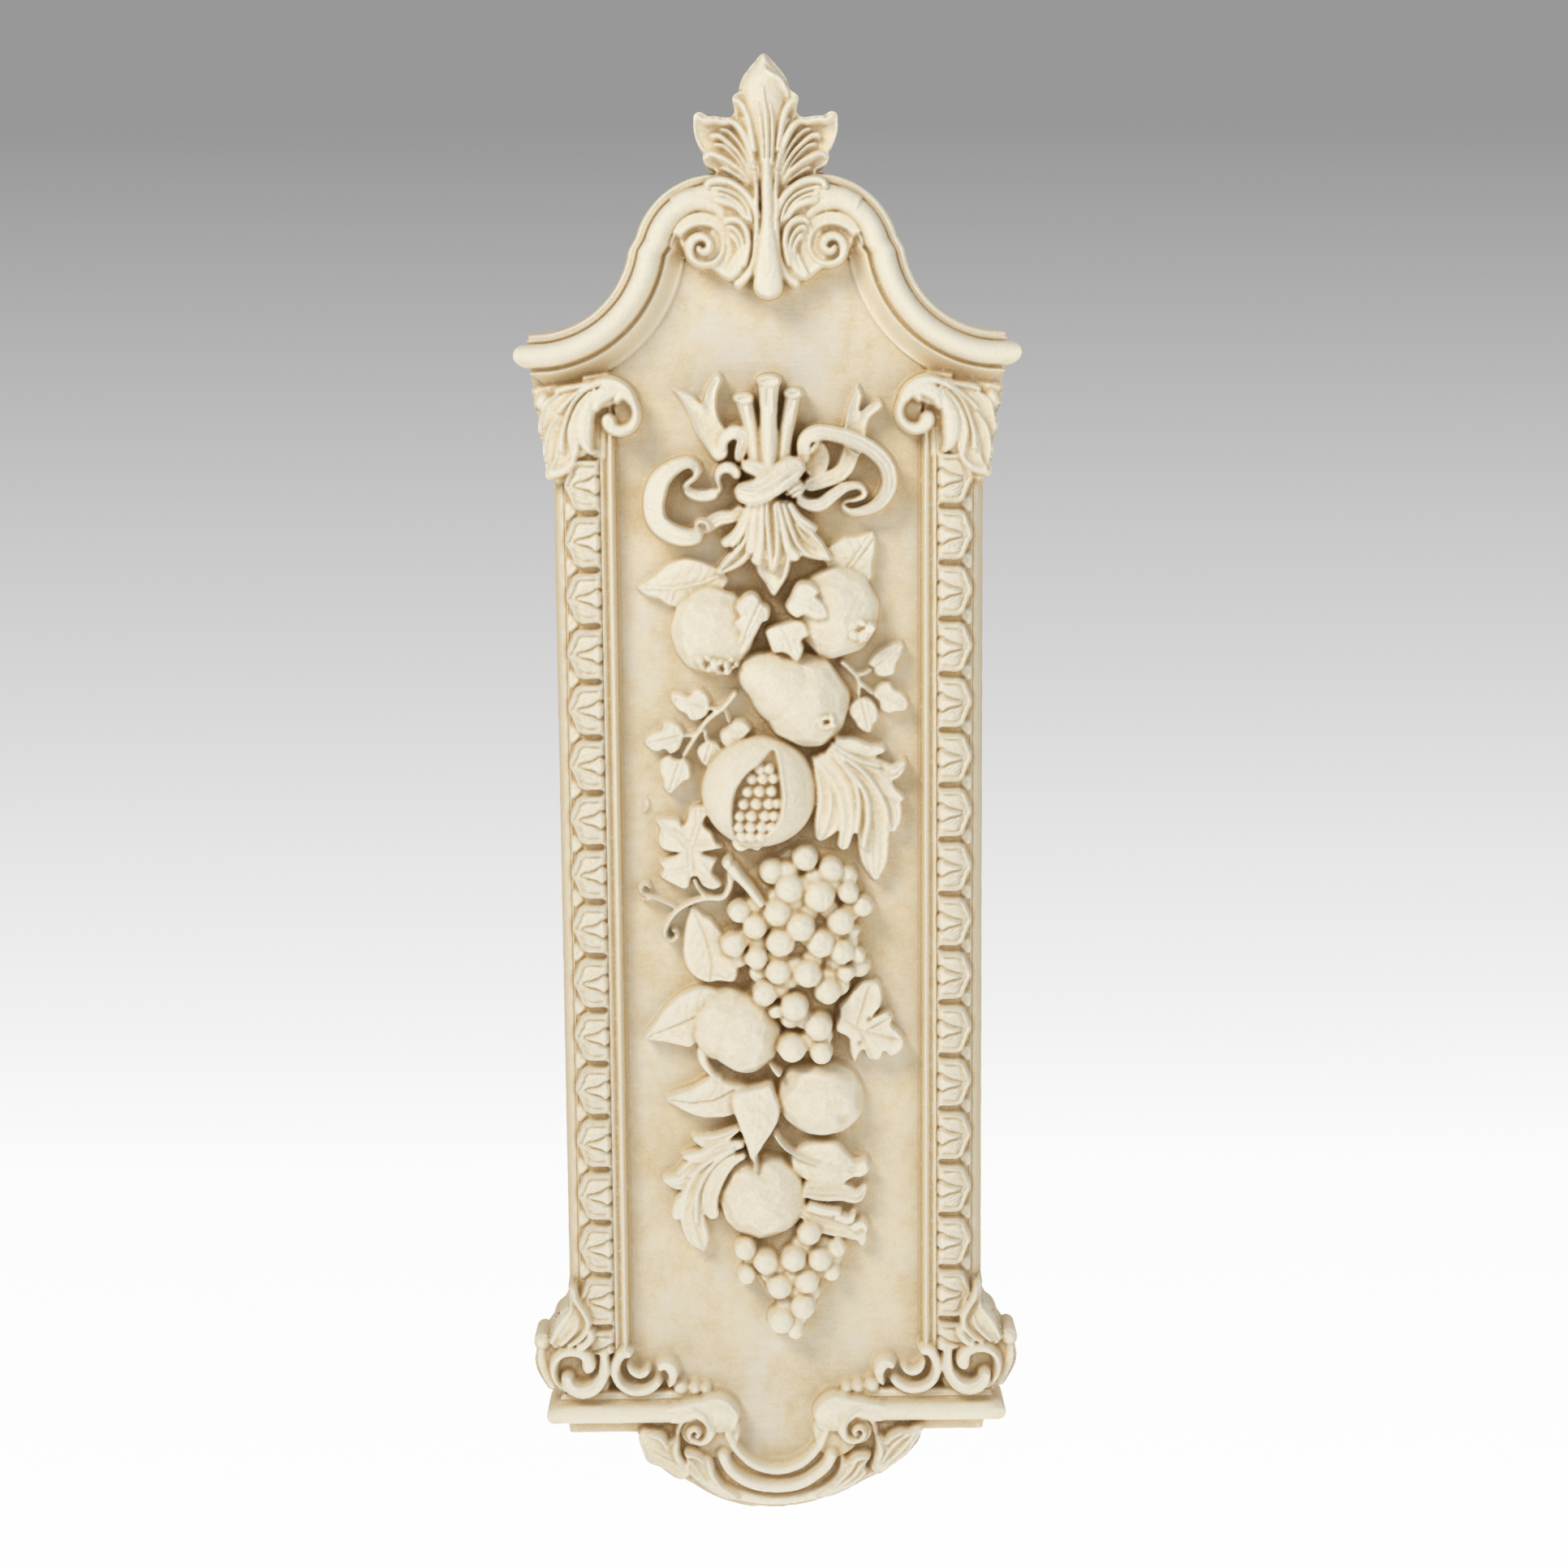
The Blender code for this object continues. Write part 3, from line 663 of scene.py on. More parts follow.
# ---- the slab and the field ----
def slab_outline():
    """The casting's silhouette, anticlockwise from the lowest point, without the finial."""
    foot = smooth_line([(0, -548), (31, -544.5), (57, -534), (81, -522), (102, -506),
                        (113, -485)], 3)
    ends = [(153, -484), (169, -477), (172, -457), (180, -440)]
    corner = smooth_line([(184, -424), (179, -410), (170, -396), (160.5, -380), (159.5, -360)], 3)
    rise = np.stack([np.full(120, 159.5), np.linspace(-356, 240, 120)], axis=1)
    capital = smooth_line([(159.5, 243), (163, 262), (166, 286), (171, 306), (176, 324),
                           (177, 353)], 3)
    hollow = arc(*ARCH_SWEEP, 268, ARCH_TURN, 40)
    shoulder = arc(*ARCH_TOP, 10, 82, 36)
    half = np.vstack([foot, ends, corner, rise, capital, hollow, shoulder, [(30, 468)]])
    return np.vstack([half, half[:0:-1] * (-1, 1)])


def make_slab():
    """The body of the casting, with drafted sides and a flat back with eased edges."""
    outline = slab_outline()
    rings = []
    for inward, height in ((2.0, 0.0), (0.7, 0.5), (0.0, 1.8), (0.4, 6), (0.9, 11), (1.5, 16),
                           (2.4, 19), (4.0, 20)):
        ring = inset(np.array(outline, float), inward)
        rings.append(np.column_stack([ring, np.full(len(ring), height)]))
    form = Form()
    form.skin(rings, caps="flat")
    slab = form.piece("cast_slab", ripple=0.12, sharp=60, ground=False)
    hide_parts("plaque")


def field_half_width(z):
    """Half the width of the sunk field at a height, a little under the mouldings around it."""
    if z > 408:         # under the shoulder of the arch
        return ARCH_TOP[0] + math.sqrt(max(23.0 ** 2 - (z - ARCH_TOP[1]) ** 2, 1))
    if z > 318:         # beside its sweep
        return min(128.0, ARCH_SWEEP[0] - math.sqrt(112.0 ** 2 - (ARCH_SWEEP[1] - z) ** 2) + 2)
    if z > 303:         # above the capitals
        return 128.0
    if z > -422:        # between the pilasters
        return 113.0
    if z > -457:        # at the lower corners
        return 131.0
    if z > -486:        # between the ends of the sill
        return 56 + (z + 486) * 0.25
    return math.sqrt(max(42.0 ** 2 - (z + 477) ** 2, 1))     # the bay of the foot


def make_field():
    """The sunk field, its face a little uneven as a hand smoothed clay model is."""
    rows = np.concatenate([[-518.5], np.linspace(-517, 426, 236)])
    across = np.linspace(-1, 1, 57)
    rings = np.empty((len(rows), len(across) + 2, 3))
    for k, z in enumerate(rows):
        half = field_half_width(z)
        rings[k, 1:-1, 0] = across * half
        rings[k, 0, 0] = -half
        rings[k, -1, 0] = half
        rings[k, :, 1] = z
    inner = rings[:, 1:-1]
    spots = inner.reshape(-1, 3)[:, :2]
    places = np.column_stack([spots, np.zeros(len(spots))])
    swell = 0.45 * cell_noise(places, 55.0, 21) + 0.22 * cell_noise(places, 17.0, 22)
    inner[..., 2] = PANEL + swell.reshape(inner.shape[:2])
    rings[:, 0, 2] = rings[:, -1, 2] = ROOT
    form = Form()
    form.skin(rings, caps="flat")
    form.piece("sunk_field", ripple=0)


# ---- mouldings ----
ARCH_PROFILE = np.vstack([
    [(0.0, 0.5), (0.4, 8), (1.0, 20), (1.8, 30), (2.4, 34.2), (3.2, 35.6), (4.4, 36.0), (5.2, 35.4),
     (5.7, 35.5), (6.3, 36.6), (7.2, 37.1), (8.0, 36.7), (8.6, 35.6)],
    round_over((8.9, 35.6), (26.4, 33.4), 12.2, 23),
    [(26.9, 32.8), (27.6, 32.6), (28.2, 33.4), (29.0, 35.2), (29.9, 35.9), (30.8, 35.3),
     (31.3, 33.8)],
    hollow_out((31.8, 33.0), (41.6, 25.2), 1.9, 11),
    [(42.2, 24.4), (42.5, 23.0), (42.5, ROOT), (0.0, ROOT)]])


def arch_sections():
    """Rings of the arch moulding from the top to its side end, one profile each."""
    offset, height = ARCH_PROFILE.T
    rings = []
    x, z, radius = ARCH_TOP
    for angle in np.linspace(92, 16, 56):
        turn = math.radians(angle)
        fade = np.clip((angle - 50) / 18, 0, 1) * (offset > 26.6) * (height > ROOT)
        level = height * (1 - fade) + np.minimum(height, 30) * fade
        rings.append(np.column_stack([x + (radius - offset) * math.cos(turn),
                                      z + (radius - offset) * math.sin(turn), level]))
    x, z, radius = ARCH_SWEEP
    for angle in np.linspace(ARCH_TURN + 1.2, 264, 62):
        turn = math.radians(angle)
        rings.append(np.column_stack([x + (radius + offset) * math.cos(turn),
                                      z + (radius + offset) * math.sin(turn), height]))
    foot = z - radius
    corner = np.column_stack([ARCH_REACH + height, foot - offset, height])
    last = rings[-1]
    for share in (0.35, 0.7, 0.93):
        rings.append(last * (1 - share) + corner * share)
    turned = corner.copy()
    turned[:, 0] -= 0.35
    rings.append(turned)
    for share in (0.03, 0.3, 0.6, 1.0):
        side = corner.copy()
        side[:, 2] = corner[:, 2] * (1 - share) + 0.5 * share
        side[:, 0] += 0.25 * math.sin(math.pi * share)
        rings.append(side)
    return rings


def make_arch():
    """The moulding over the field: fillet, torus, bead and hollow, mitred back to the wall."""
    form = Form()
    form.skin(arch_sections(), mirrored=True)
    form.piece("arch_moulding", sharp=50)


def coil(form, x, z, turns, start=0.0):
    """A scroll that winds in: each turn is a (radius, half width, level) a quarter turn on."""
    turns = np.array(turns)
    count = 14 * len(turns)
    share = np.linspace(0, len(turns) - 1, count)
    radius, half, level = (np.interp(share, np.arange(len(turns)), turns[:, k]) for k in range(3))
    soft = np.ones(9) / 9
    radius = np.convolve(np.pad(radius, 4, mode="edge"), soft, mode="valid")
    angle = np.radians(start + share * 90)
    line = np.stack([x + radius * np.cos(angle), z + radius * np.sin(angle)], axis=1)
    carve(form, line, half[::4], level[::4], base=24, across=11, round_edge=1.5, crown=0.7,
          smooth=False, mirrored=True)


def make_volutes():
    """The scrolls that end the arch, and those that end the sill beside their flared trumpets."""
    form = Form()
    # the torus narrows and wraps round the volute
    carve(form, [(66, 441), (52, 447), (38, 443.5), (30, 433.5), (27.2, 422), (27, 411),
                 (30, 402), (37, 396)],
          [8.7, 8.7, 8.2, 5.8, 3.2, 2.0, 1.5, 0.8], [47.6, 47.6, 46.8, 45, 43.5, 42.0, 40.5, 38.5],
          ends="tail", crown=5.0, round_edge=4.0, across=15, mirrored=True)
    web = smooth_line([(0, 396), (14, 391), (28, 389), (37, 395), (44, 402), (40, 430), (20, 456),
                       (0, 462)], 2.5)
    outline = np.vstack([web, web[-2:0:-1] * (-1, 1)])
    plate(form, outline, 40.0, soften=3.0)
    carve(form, arc(47, 413.5, 19.8, 25, 228, 40), [3.4, 4.8, 4.2, 3.4, 3.0],
          [42.6, 43.2, 42.6, 41, 39.6], ends="none", base=24, across=7, round_edge=0.6,
          smooth=False, mirrored=True)
    plate(form, [(7, 424), (30, 424), (38, 432), (34, 444), (20, 454), (7, 454)], 42.6,
          soften=2.0, mirrored=True)
    bed = [(47 + r * math.cos(math.radians(a)), 413.5 + r * math.sin(math.radians(a)))
           for a, r in ((0, 15), (30, 20), (60, 22), (90, 22), (120, 22), (150, 21), (180, 20),
                        (210, 19.5), (240, 18.5), (270, 13.5), (300, 12), (330, 12))]
    plate(form, smooth_line(bed, 2, closed=True)[:-1], 37.6, soften=2.0, mirrored=True)
    coil(form, 47, 413.5, [(23, 0.9, 40.5), (17.8, 1.0, 42), (16.0, 1.1, 42.6), (12.6, 2.1, 43.5),
                           (8.6, 3.3, 45.5), (7.0, 2.9, 46.6), (5.8, 2.5, 47.0),
                           (3.4, 2.3, 47.2), (0.6, 2.2, 47.2)])
    bed = arc(62.5, -485, 12.2, 0, 360, 31)[:-1]
    plate(form, bed, 37.0, soften=2.0, mirrored=True)
    coil(form, 62.5, -485, [(15, 3.0, 44), (11.6, 3.3, 45), (5.6, 1.9, 44.4), (5.2, 1.8, 44.6),
                            (4.2, 1.8, 45.2), (2.4, 1.8, 45.6), (0.4, 1.8, 45.8)], start=90)
    carve(form, [(62, -471), (69.5, -472.5), (75, -479), (77, -489)], [1.0, 1.5, 1.4, 1.0],
          [42, 43, 42.6, 42], base=24, across=7, mirrored=True)
    # the trumpet: a smooth flare that opens towards the field
    flare = [(32, -480), (50, -476), (61, -492), (53, -502), (42, -505), (33, -496)]
    plate(form, smooth_line(flare, 2, closed=True)[:-1], 34.5, soften=2.0, mirrored=True)
    carve(form, [(88, -466), (74, -465), (62, -464), (52, -465.5), (44, -471), (39, -479)],
          [3.0, 5.0, 6.5, 8.5, 10.0, 9.0], [44.0, 45.4, 45.6, 45.4, 44.0, 41.0], ends="head",
          crown=1.2, round_edge=1.5, across=15, mirrored=True)
    blade(form, [(58, -457), (45.5, -454), (36, -458), (30, -465), (28, -471.5), (30, -478.5),
                 (34, -484.5), (40.5, -485.5), (47, -484.5), (49, -480), (51, -474),
                 (55, -467), (62, -462)], 46.0, 42.0, centre=(46, -468), puff=0, rim=0.3,
          lifts=[(38, -484, -5, 9)], mirrored=True)
    carve(form, [(80, -460.5), (73, -461), (62.5, -463.8), (56, -468), (52.5, -476),
                 (51.5, -482)], [0.4, 0.7, 0.9, 0.9, 0.8], [43.6, 45.6, 46.9, 46.9, 45.4],
          base=30, across=7, round_edge=0.8, mirrored=True)
    # the torus bends down round the volute
    carve(form, [(90, -469), (76, -469), (62, -468), (53, -473), (50, -480)],
          [5.0, 7.4, 5.4, 3.6, 2.6], [38, 45.6, 46.4, 45.8, 44.5], ends="tail",
          crown=2.5, round_edge=3.0, across=13, mirrored=True)
    form.press("volutes")


PILASTER_PROFILE = np.vstack([
    [(159.5, 0.5), (159.5, 6), (159.0, 11), (157.8, 17), (156.0, 22.5), (153.8, 26.3),
     (151.6, 28.2), (151.0, 28.0), (150.5, 27.2), (150.1, 28.6), (149.7, 29.9), (149.1, 30.1),
     (148.6, 29.2), (148.2, 26.0), (147.6, 24.6)],
    [(138, 25.0), (125.2, 27.5), (124.4, 29.0), (123.8, 33.5), (123.3, 35.8), (122.6, 36.4),
     (121.9, 35.9), (121.3, 34.4), (120.5, 33.0), (119.2, 32.4), (118.1, 32.9), (117.3, 34.6),
     (116.6, 36.4), (115.6, 37.1), (114.7, 36.5), (114.3, 34.0), (114.0, 29.5), (113.5, 26.2),
     (112.7, 24.8), (111.9, 24.2), (111.2, 23.4), (110.9, 22.6), (110.7, ROOT), (159.5, ROOT)]])


def make_pilasters():
    """A pilaster each side: sloped outer band, thin ridge, bed of the border, inner fillet."""
    form = Form()
    places = np.linspace(PILASTER_FOOT, PILASTER_TOP, 230)
    rings = [np.column_stack([PILASTER_PROFILE[:, 0], np.full(len(PILASTER_PROFILE), z),
                              PILASTER_PROFILE[:, 1]]) for z in places]
    form.skin(rings, mirrored=True)
    form.piece("pilasters", sharp=50)


# ---- the leaf border ----
def border_height(inward, along, pitch):
    """Height of the leaf border over a grid: one leaf and dart to each pitch.

    inward runs from 0 at the inner fillet to 25 at the outer ridge, along is measured from the
    middle of the nearest leaf.
    """
    away = np.abs(along)
    slot_at = pitch / 2
    # the whole border is a half round, steep on its inner side
    body = 30.5 + 9.0 * np.sqrt(np.clip(1 - ((inward - 9.5) / 17.0) ** 2, 0.0, 1))
    body = body - 3.4 * (1 - np.clip(inward / 2.6, 0, 1)) ** 2
    body = body - 4.0 * np.exp(-((away - 6.4) / 1.5) ** 2 - (inward / 2.4) ** 2)
    # the leaf is fuller above its point than below
    above = np.interp(away, [0, 1.9, 5.2, 9.1, 12.3, 15.6, 17.8, 19.2],
                      [27.0, 26.4, 24.7, 23.1, 21.9, 20.3, 18.2, 15.9])
    below = np.interp(away, [0, 1.3, 4.2, 8.4, 11.0, 14.3, 16.8, 18.1, 19.2],
                      [27.0, 25.9, 23.6, 22.0, 21.0, 19.6, 17.7, 15.8, 13.9])
    contour = np.where(along > 0, above, below)
    to_contour = (contour - inward) * 0.86
    to_slot = np.hypot(np.maximum(3.6 - inward, 0), away - slot_at) - 2.7
    blend = np.clip(0.5 + (to_slot - to_contour) / 9.0, 0, 1)
    inside = to_slot * (1 - blend) + to_contour * blend - 2.0 * blend * (1 - blend)
    dart_half = np.interp(inward, [0, 1.2, 2.4, 3.6, 4.7, 5.8, 7.2, 9.6, 13.4, 17],
                          [4.2, 5.6, 6.3, 6.1, 5.2, 4.3, 3.4, 2.6, 1.7, 0.8])
    to_dart = np.where(inward > 17, np.hypot(inward - 17, away) - 0.7, away - dart_half)
    # fine flutes run between the slot's edge and the dart's, and follow them both
    fan = (inside - to_dart) / 4.3
    window = np.clip(np.minimum(inside - 1.6, to_dart - 0.6) / 2.0, 0, 1)
    scoop = 1.9 * np.exp(-((inside - 4.0) / 1.3) ** 2) * np.clip((inward - 1.0) / 4, 0, 1)
    rim = 2.0 * np.exp(-((inside - 1.4) / 1.3) ** 2)
    ribs = 0.85 * np.cos(2 * math.pi * fan) * window * np.clip((inward - 1) / 4, 0, 1)
    leaf = body + rim - scoop + ribs
    # the dart stands in a groove
    groove = 3.8 * np.exp(-((to_dart - 0.75) / 0.75) ** 2)
    dart = body + 2.0 - 0.9 * (away / np.maximum(dart_half, 0.6)) ** 2 - 0.04 * inward
    blend = np.clip(0.5 - to_dart / 0.8, 0, 1)
    top = leaf * (1 - blend) + dart * blend - groove
    # the bed outside the leaf, with a tongue at the mouth of each slot
    across = np.abs(away - slot_at - 1.9 * np.sign(along))
    reach = np.interp(inward, [16.4, 18, 20, 21.5, 23, 26], [0, 2.8, 5.0, 6.3, 6.8, 6.6])
    bud = np.minimum(reach - across, 27.0 - np.hypot(inward - 20.0, across * 0.9) - 20.0)
    bed = 28.8 + 4.4 * np.sqrt(1 - (1 - np.clip(bud / 3.0, 0, 1)) ** 2)
    share = np.clip((inward - 16.2) / 1.6, 0, 1)
    floor = (body - 7.4) * (1 - share) + bed * share
    edge = np.clip(inside / 1.1 + 0.35, 0, 1)
    edge = edge * edge * (3 - 2 * edge)
    return floor + (top - floor) * edge


def make_leaf_border(sizes):
    """The running border of leaves and darts along both pilasters."""
    for name, side, first in (("leaf_border_left", -1, sizes.first_leaf),
                              ("leaf_border_right", 1, sizes.first_leaf + sizes.leaf_shift)):
        rows = np.linspace(BORDER_FOOT, BORDER_TOP, int((BORDER_TOP - BORDER_FOOT) / BORDER_STEP))
        inward = np.linspace(-0.2, 25.4, 40)
        grid_z, grid_in = np.meshgrid(rows, inward, indexing="ij")
        along = (grid_z - first + sizes.leaf_pitch / 2) % sizes.leaf_pitch - sizes.leaf_pitch / 2
        wander = cell_noise(np.column_stack([grid_z.ravel(), grid_in.ravel(),
                                             np.full(grid_z.size, side * 50.0)]), 13.0, 5)
        height = border_height(grid_in, along + 0.45 * wander.reshape(along.shape),
                               sizes.leaf_pitch)
        rings = np.empty((len(rows), len(inward) + 2, 3))
        rings[:, 1:-1, 0] = side * (BORDER_INNER + grid_in)
        rings[:, 1:-1, 1] = grid_z
        rings[:, 1:-1, 2] = height
        rings[:, 0] = rings[:, 1]
        rings[:, -1] = rings[:, -2]
        rings[:, 0, 2] = rings[:, -1, 2] = ROOT
        form = Form()
        form.skin(rings)
        form.press(name)


SILL_PROFILE = np.vstack([
    [(-452.6, 30), (-453.6, 33.2), (-454.8, 34.0), (-456.2, 34.2), (-457.0, 35.2), (-457.9, 35.4),
     (-458.6, 34.4), (-459.6, 34.2), (-460.6, 35.6)],
    round_over((-461.0, 36.5), (-476.9, 33.5), 10.4, 17),
    [(-477.3, 31.6), (-478.2, 30.0), (-480.5, 29.6), (-486.5, 28.6), (-488.0, 26.5)]])
SILL_REACH = 131.0


def make_sill():
    """The sill under the pilasters, mitred back to the wall, and its inner trumpet ends."""
    z, height = SILL_PROFILE.T
    rings = []
    for x in np.linspace(58, 160, 35):
        fade = 1 - np.clip((70 - x) / 12, 0, 1) ** 2 * 0.2
        ring = np.column_stack([np.full(len(z), x), z, height * fade])
        rings.append(ring)
    corner = np.column_stack([SILL_REACH + height, z, height])
    rings = [np.vstack([np.minimum(ring, np.column_stack([corner[:, 0] - 1.5, ring[:, 1:]])),
                        [(ring[0, 0], -488, ROOT), (ring[0, 0], -452, ROOT)]]) for ring in rings]
    turned = np.vstack([corner, [(150, -488, ROOT), (150, -452, ROOT)]])
    rings.append(turned - (0.3, 0, 0))
    for share in (0.03, 0.35, 0.7, 1.0):
        side = turned.copy()
        side[:, 2] = turned[:, 2] * (1 - share) + 0.5 * share
        rings.append(side)
    form = Form()
    form.skin(rings, mirrored=True)
    form.piece("sill", sharp=55)


# ---- the carving's own shapes ----
def nearest(places, line):
    """How far places are from a line of straight steps."""
    line = np.array(line, float)
    best = np.full(places.shape[:-1], 1e9)
    for start, end in zip(line, line[1:]):
        along = end - start
        share = ((places - start) @ along / (along @ along + 1e-9)).clip(0, 1)
        best = np.minimum(best, np.linalg.norm(places - start - share[..., None] * along, axis=-1))
    return best


def within(places, outline):
    """Whether places lie inside a closed outline."""
    found = np.zeros(places.shape[:-1], bool)
    x, z = places[..., 0], places[..., 1]
    for (x0, z0), (x1, z1) in zip(outline, np.roll(outline, -1, axis=0)):
        if z0 != z1:
            found ^= ((z0 > z) != (z1 > z)) & (x < (x1 - x0) * (z - z0) / (z1 - z0) + x0)
    return found


def blade(form, outline, top, edge, veins=(), centre=None, puff=0.7, rim=0.0, ridge=0.7,
          lifts=(), base=SINK, tuck=0.95, step=1.1, seed=5, mirrored=False, side_veins=0.0):
    """A leaf of any outline: its face falls from the centre to the edge and swells between veins.

    lifts are (x, z, rise, reach) places where the face is bent up, or down if rise is below 0.
    side_veins is the spacing of the veins cut to both sides of the first vein.
    """
    corners = np.array(outline, float)
    area = corners[:, 0] * np.roll(corners[:, 1], -1) - np.roll(corners[:, 0], -1) * corners[:, 1]
    if area.sum() < 0:
        corners = corners[::-1]
    ring = smooth_line(corners, step, closed=True)[:-1]
    middle = np.array(centre if centre else corners.mean(axis=0))
    size = np.linalg.norm(ring - middle, axis=1)
    rows = int(max(9, size.mean() / 1.3))
    share = np.linspace(0.05, 1, rows)[:, None]
    places = middle + (ring - middle)[None] * share[..., None]
    inward = (1 - share) * size[None]
    height = edge + (top - edge) * (1 - share ** 1.7) - 1.1 * np.exp(-inward / 0.7)
    height = height + rim * np.exp(-((inward - 1.3) / 0.9) ** 2)
    if veins:
        away = np.min([nearest(places, vein) for vein in veins], axis=0)
        height = height + ridge * (np.exp(-(away / 0.8) ** 2) - 0.8 * np.exp(
            -((away - 1.9) / 0.9) ** 2))
        height = height + puff * (1 - np.exp(-(away / 3.5) ** 2)) * inward / (inward + 2.5)
    if side_veins:
        start, end = np.array(veins[0][0], float), np.array(veins[0][-1], float)
        run = (end - start) / np.linalg.norm(end - start)
        phase = ((places - start) @ run - nearest(places, veins[0]) * 0.8) / side_veins
        wobble = 0.12 * np.sin(places[..., 0] * 0.45 + places[..., 1] * 0.3)
        line = (phase + wobble) % 1 - 0.5
        fade = (inward / (inward + 2.0)) * np.clip(nearest(places, veins[0]) / 2 - 0.3, 0, 1)
        height = height - 0.95 * np.exp(-(line * side_veins / 0.75) ** 2) * fade
    for x, z, rise, reach in lifts:
        height = height + rise * np.exp(-((places[..., 0] - x) ** 2 + (places[..., 1] - z) ** 2)
                                        / reach ** 2)
    flat = np.concatenate([places, height[..., None] * 0], axis=-1).reshape(-1, 3)
    height = height + 0.35 * cell_noise(flat, 5.0, seed).reshape(height.shape)
    rings = np.concatenate([places, height[..., None]], axis=-1)
    foot = rings[-1].copy()
    foot[:, 2] -= 1.6
    floor = rings[-1].copy()
    floor[:, :2] = middle + (floor[:, :2] - middle) * tuck
    floor[:, 2] = base
    form.skin(np.concatenate([rings, foot[None], floor[None]]), mirrored)


def fruit(form, x, z, half_x, half_z, top, rise, turn=0.0, facets=0, seed=1, hollows=()):
    """A round fruit pared by hand; hollows are (x, z, depth, reach) dips, or lumps if below 0."""
    body = Form()
    around, rows = 84, 30
    dome(body, x, z, half_x, half_z, top, rise, turn, around, rows, facets=facets, seed=seed,
         tuck=0.86)
    points = body.points[0].reshape(rows + 3, around, 3)
    for dip_x, dip_z, depth, reach in hollows:
        away = (points[..., 0] - dip_x) ** 2 + (points[..., 1] - dip_z) ** 2
        points[..., 2] -= depth * np.exp(-away / reach ** 2) * (points[..., 2] > rise - 1)
    form.skin(points)


def calyx(form, x, z, size, top, heading, petals=5, spread_out=0.9):
    """The dried crown of a fruit: short curled points round a pit."""
    for k in range(petals):
        angle = math.radians(heading + 360 * k / petals)
        reach = size * (1.0 + 0.18 * math.sin(2.4 * k + heading))
        inner = (x + 0.25 * reach * math.cos(angle), z + 0.25 * reach * math.sin(angle))
        outer = (x + reach * math.cos(angle), z + spread_out * reach * math.sin(angle))
        middle = ((inner[0] + outer[0]) / 2, (inner[1] + outer[1]) / 2)
        carve(form, [inner, middle, outer], [size * 0.22, size * 0.36, size * 0.14],
              [top - 1.4, top, top - 0.4], base=top - 5, across=7, step=0.8, round_edge=0.6)


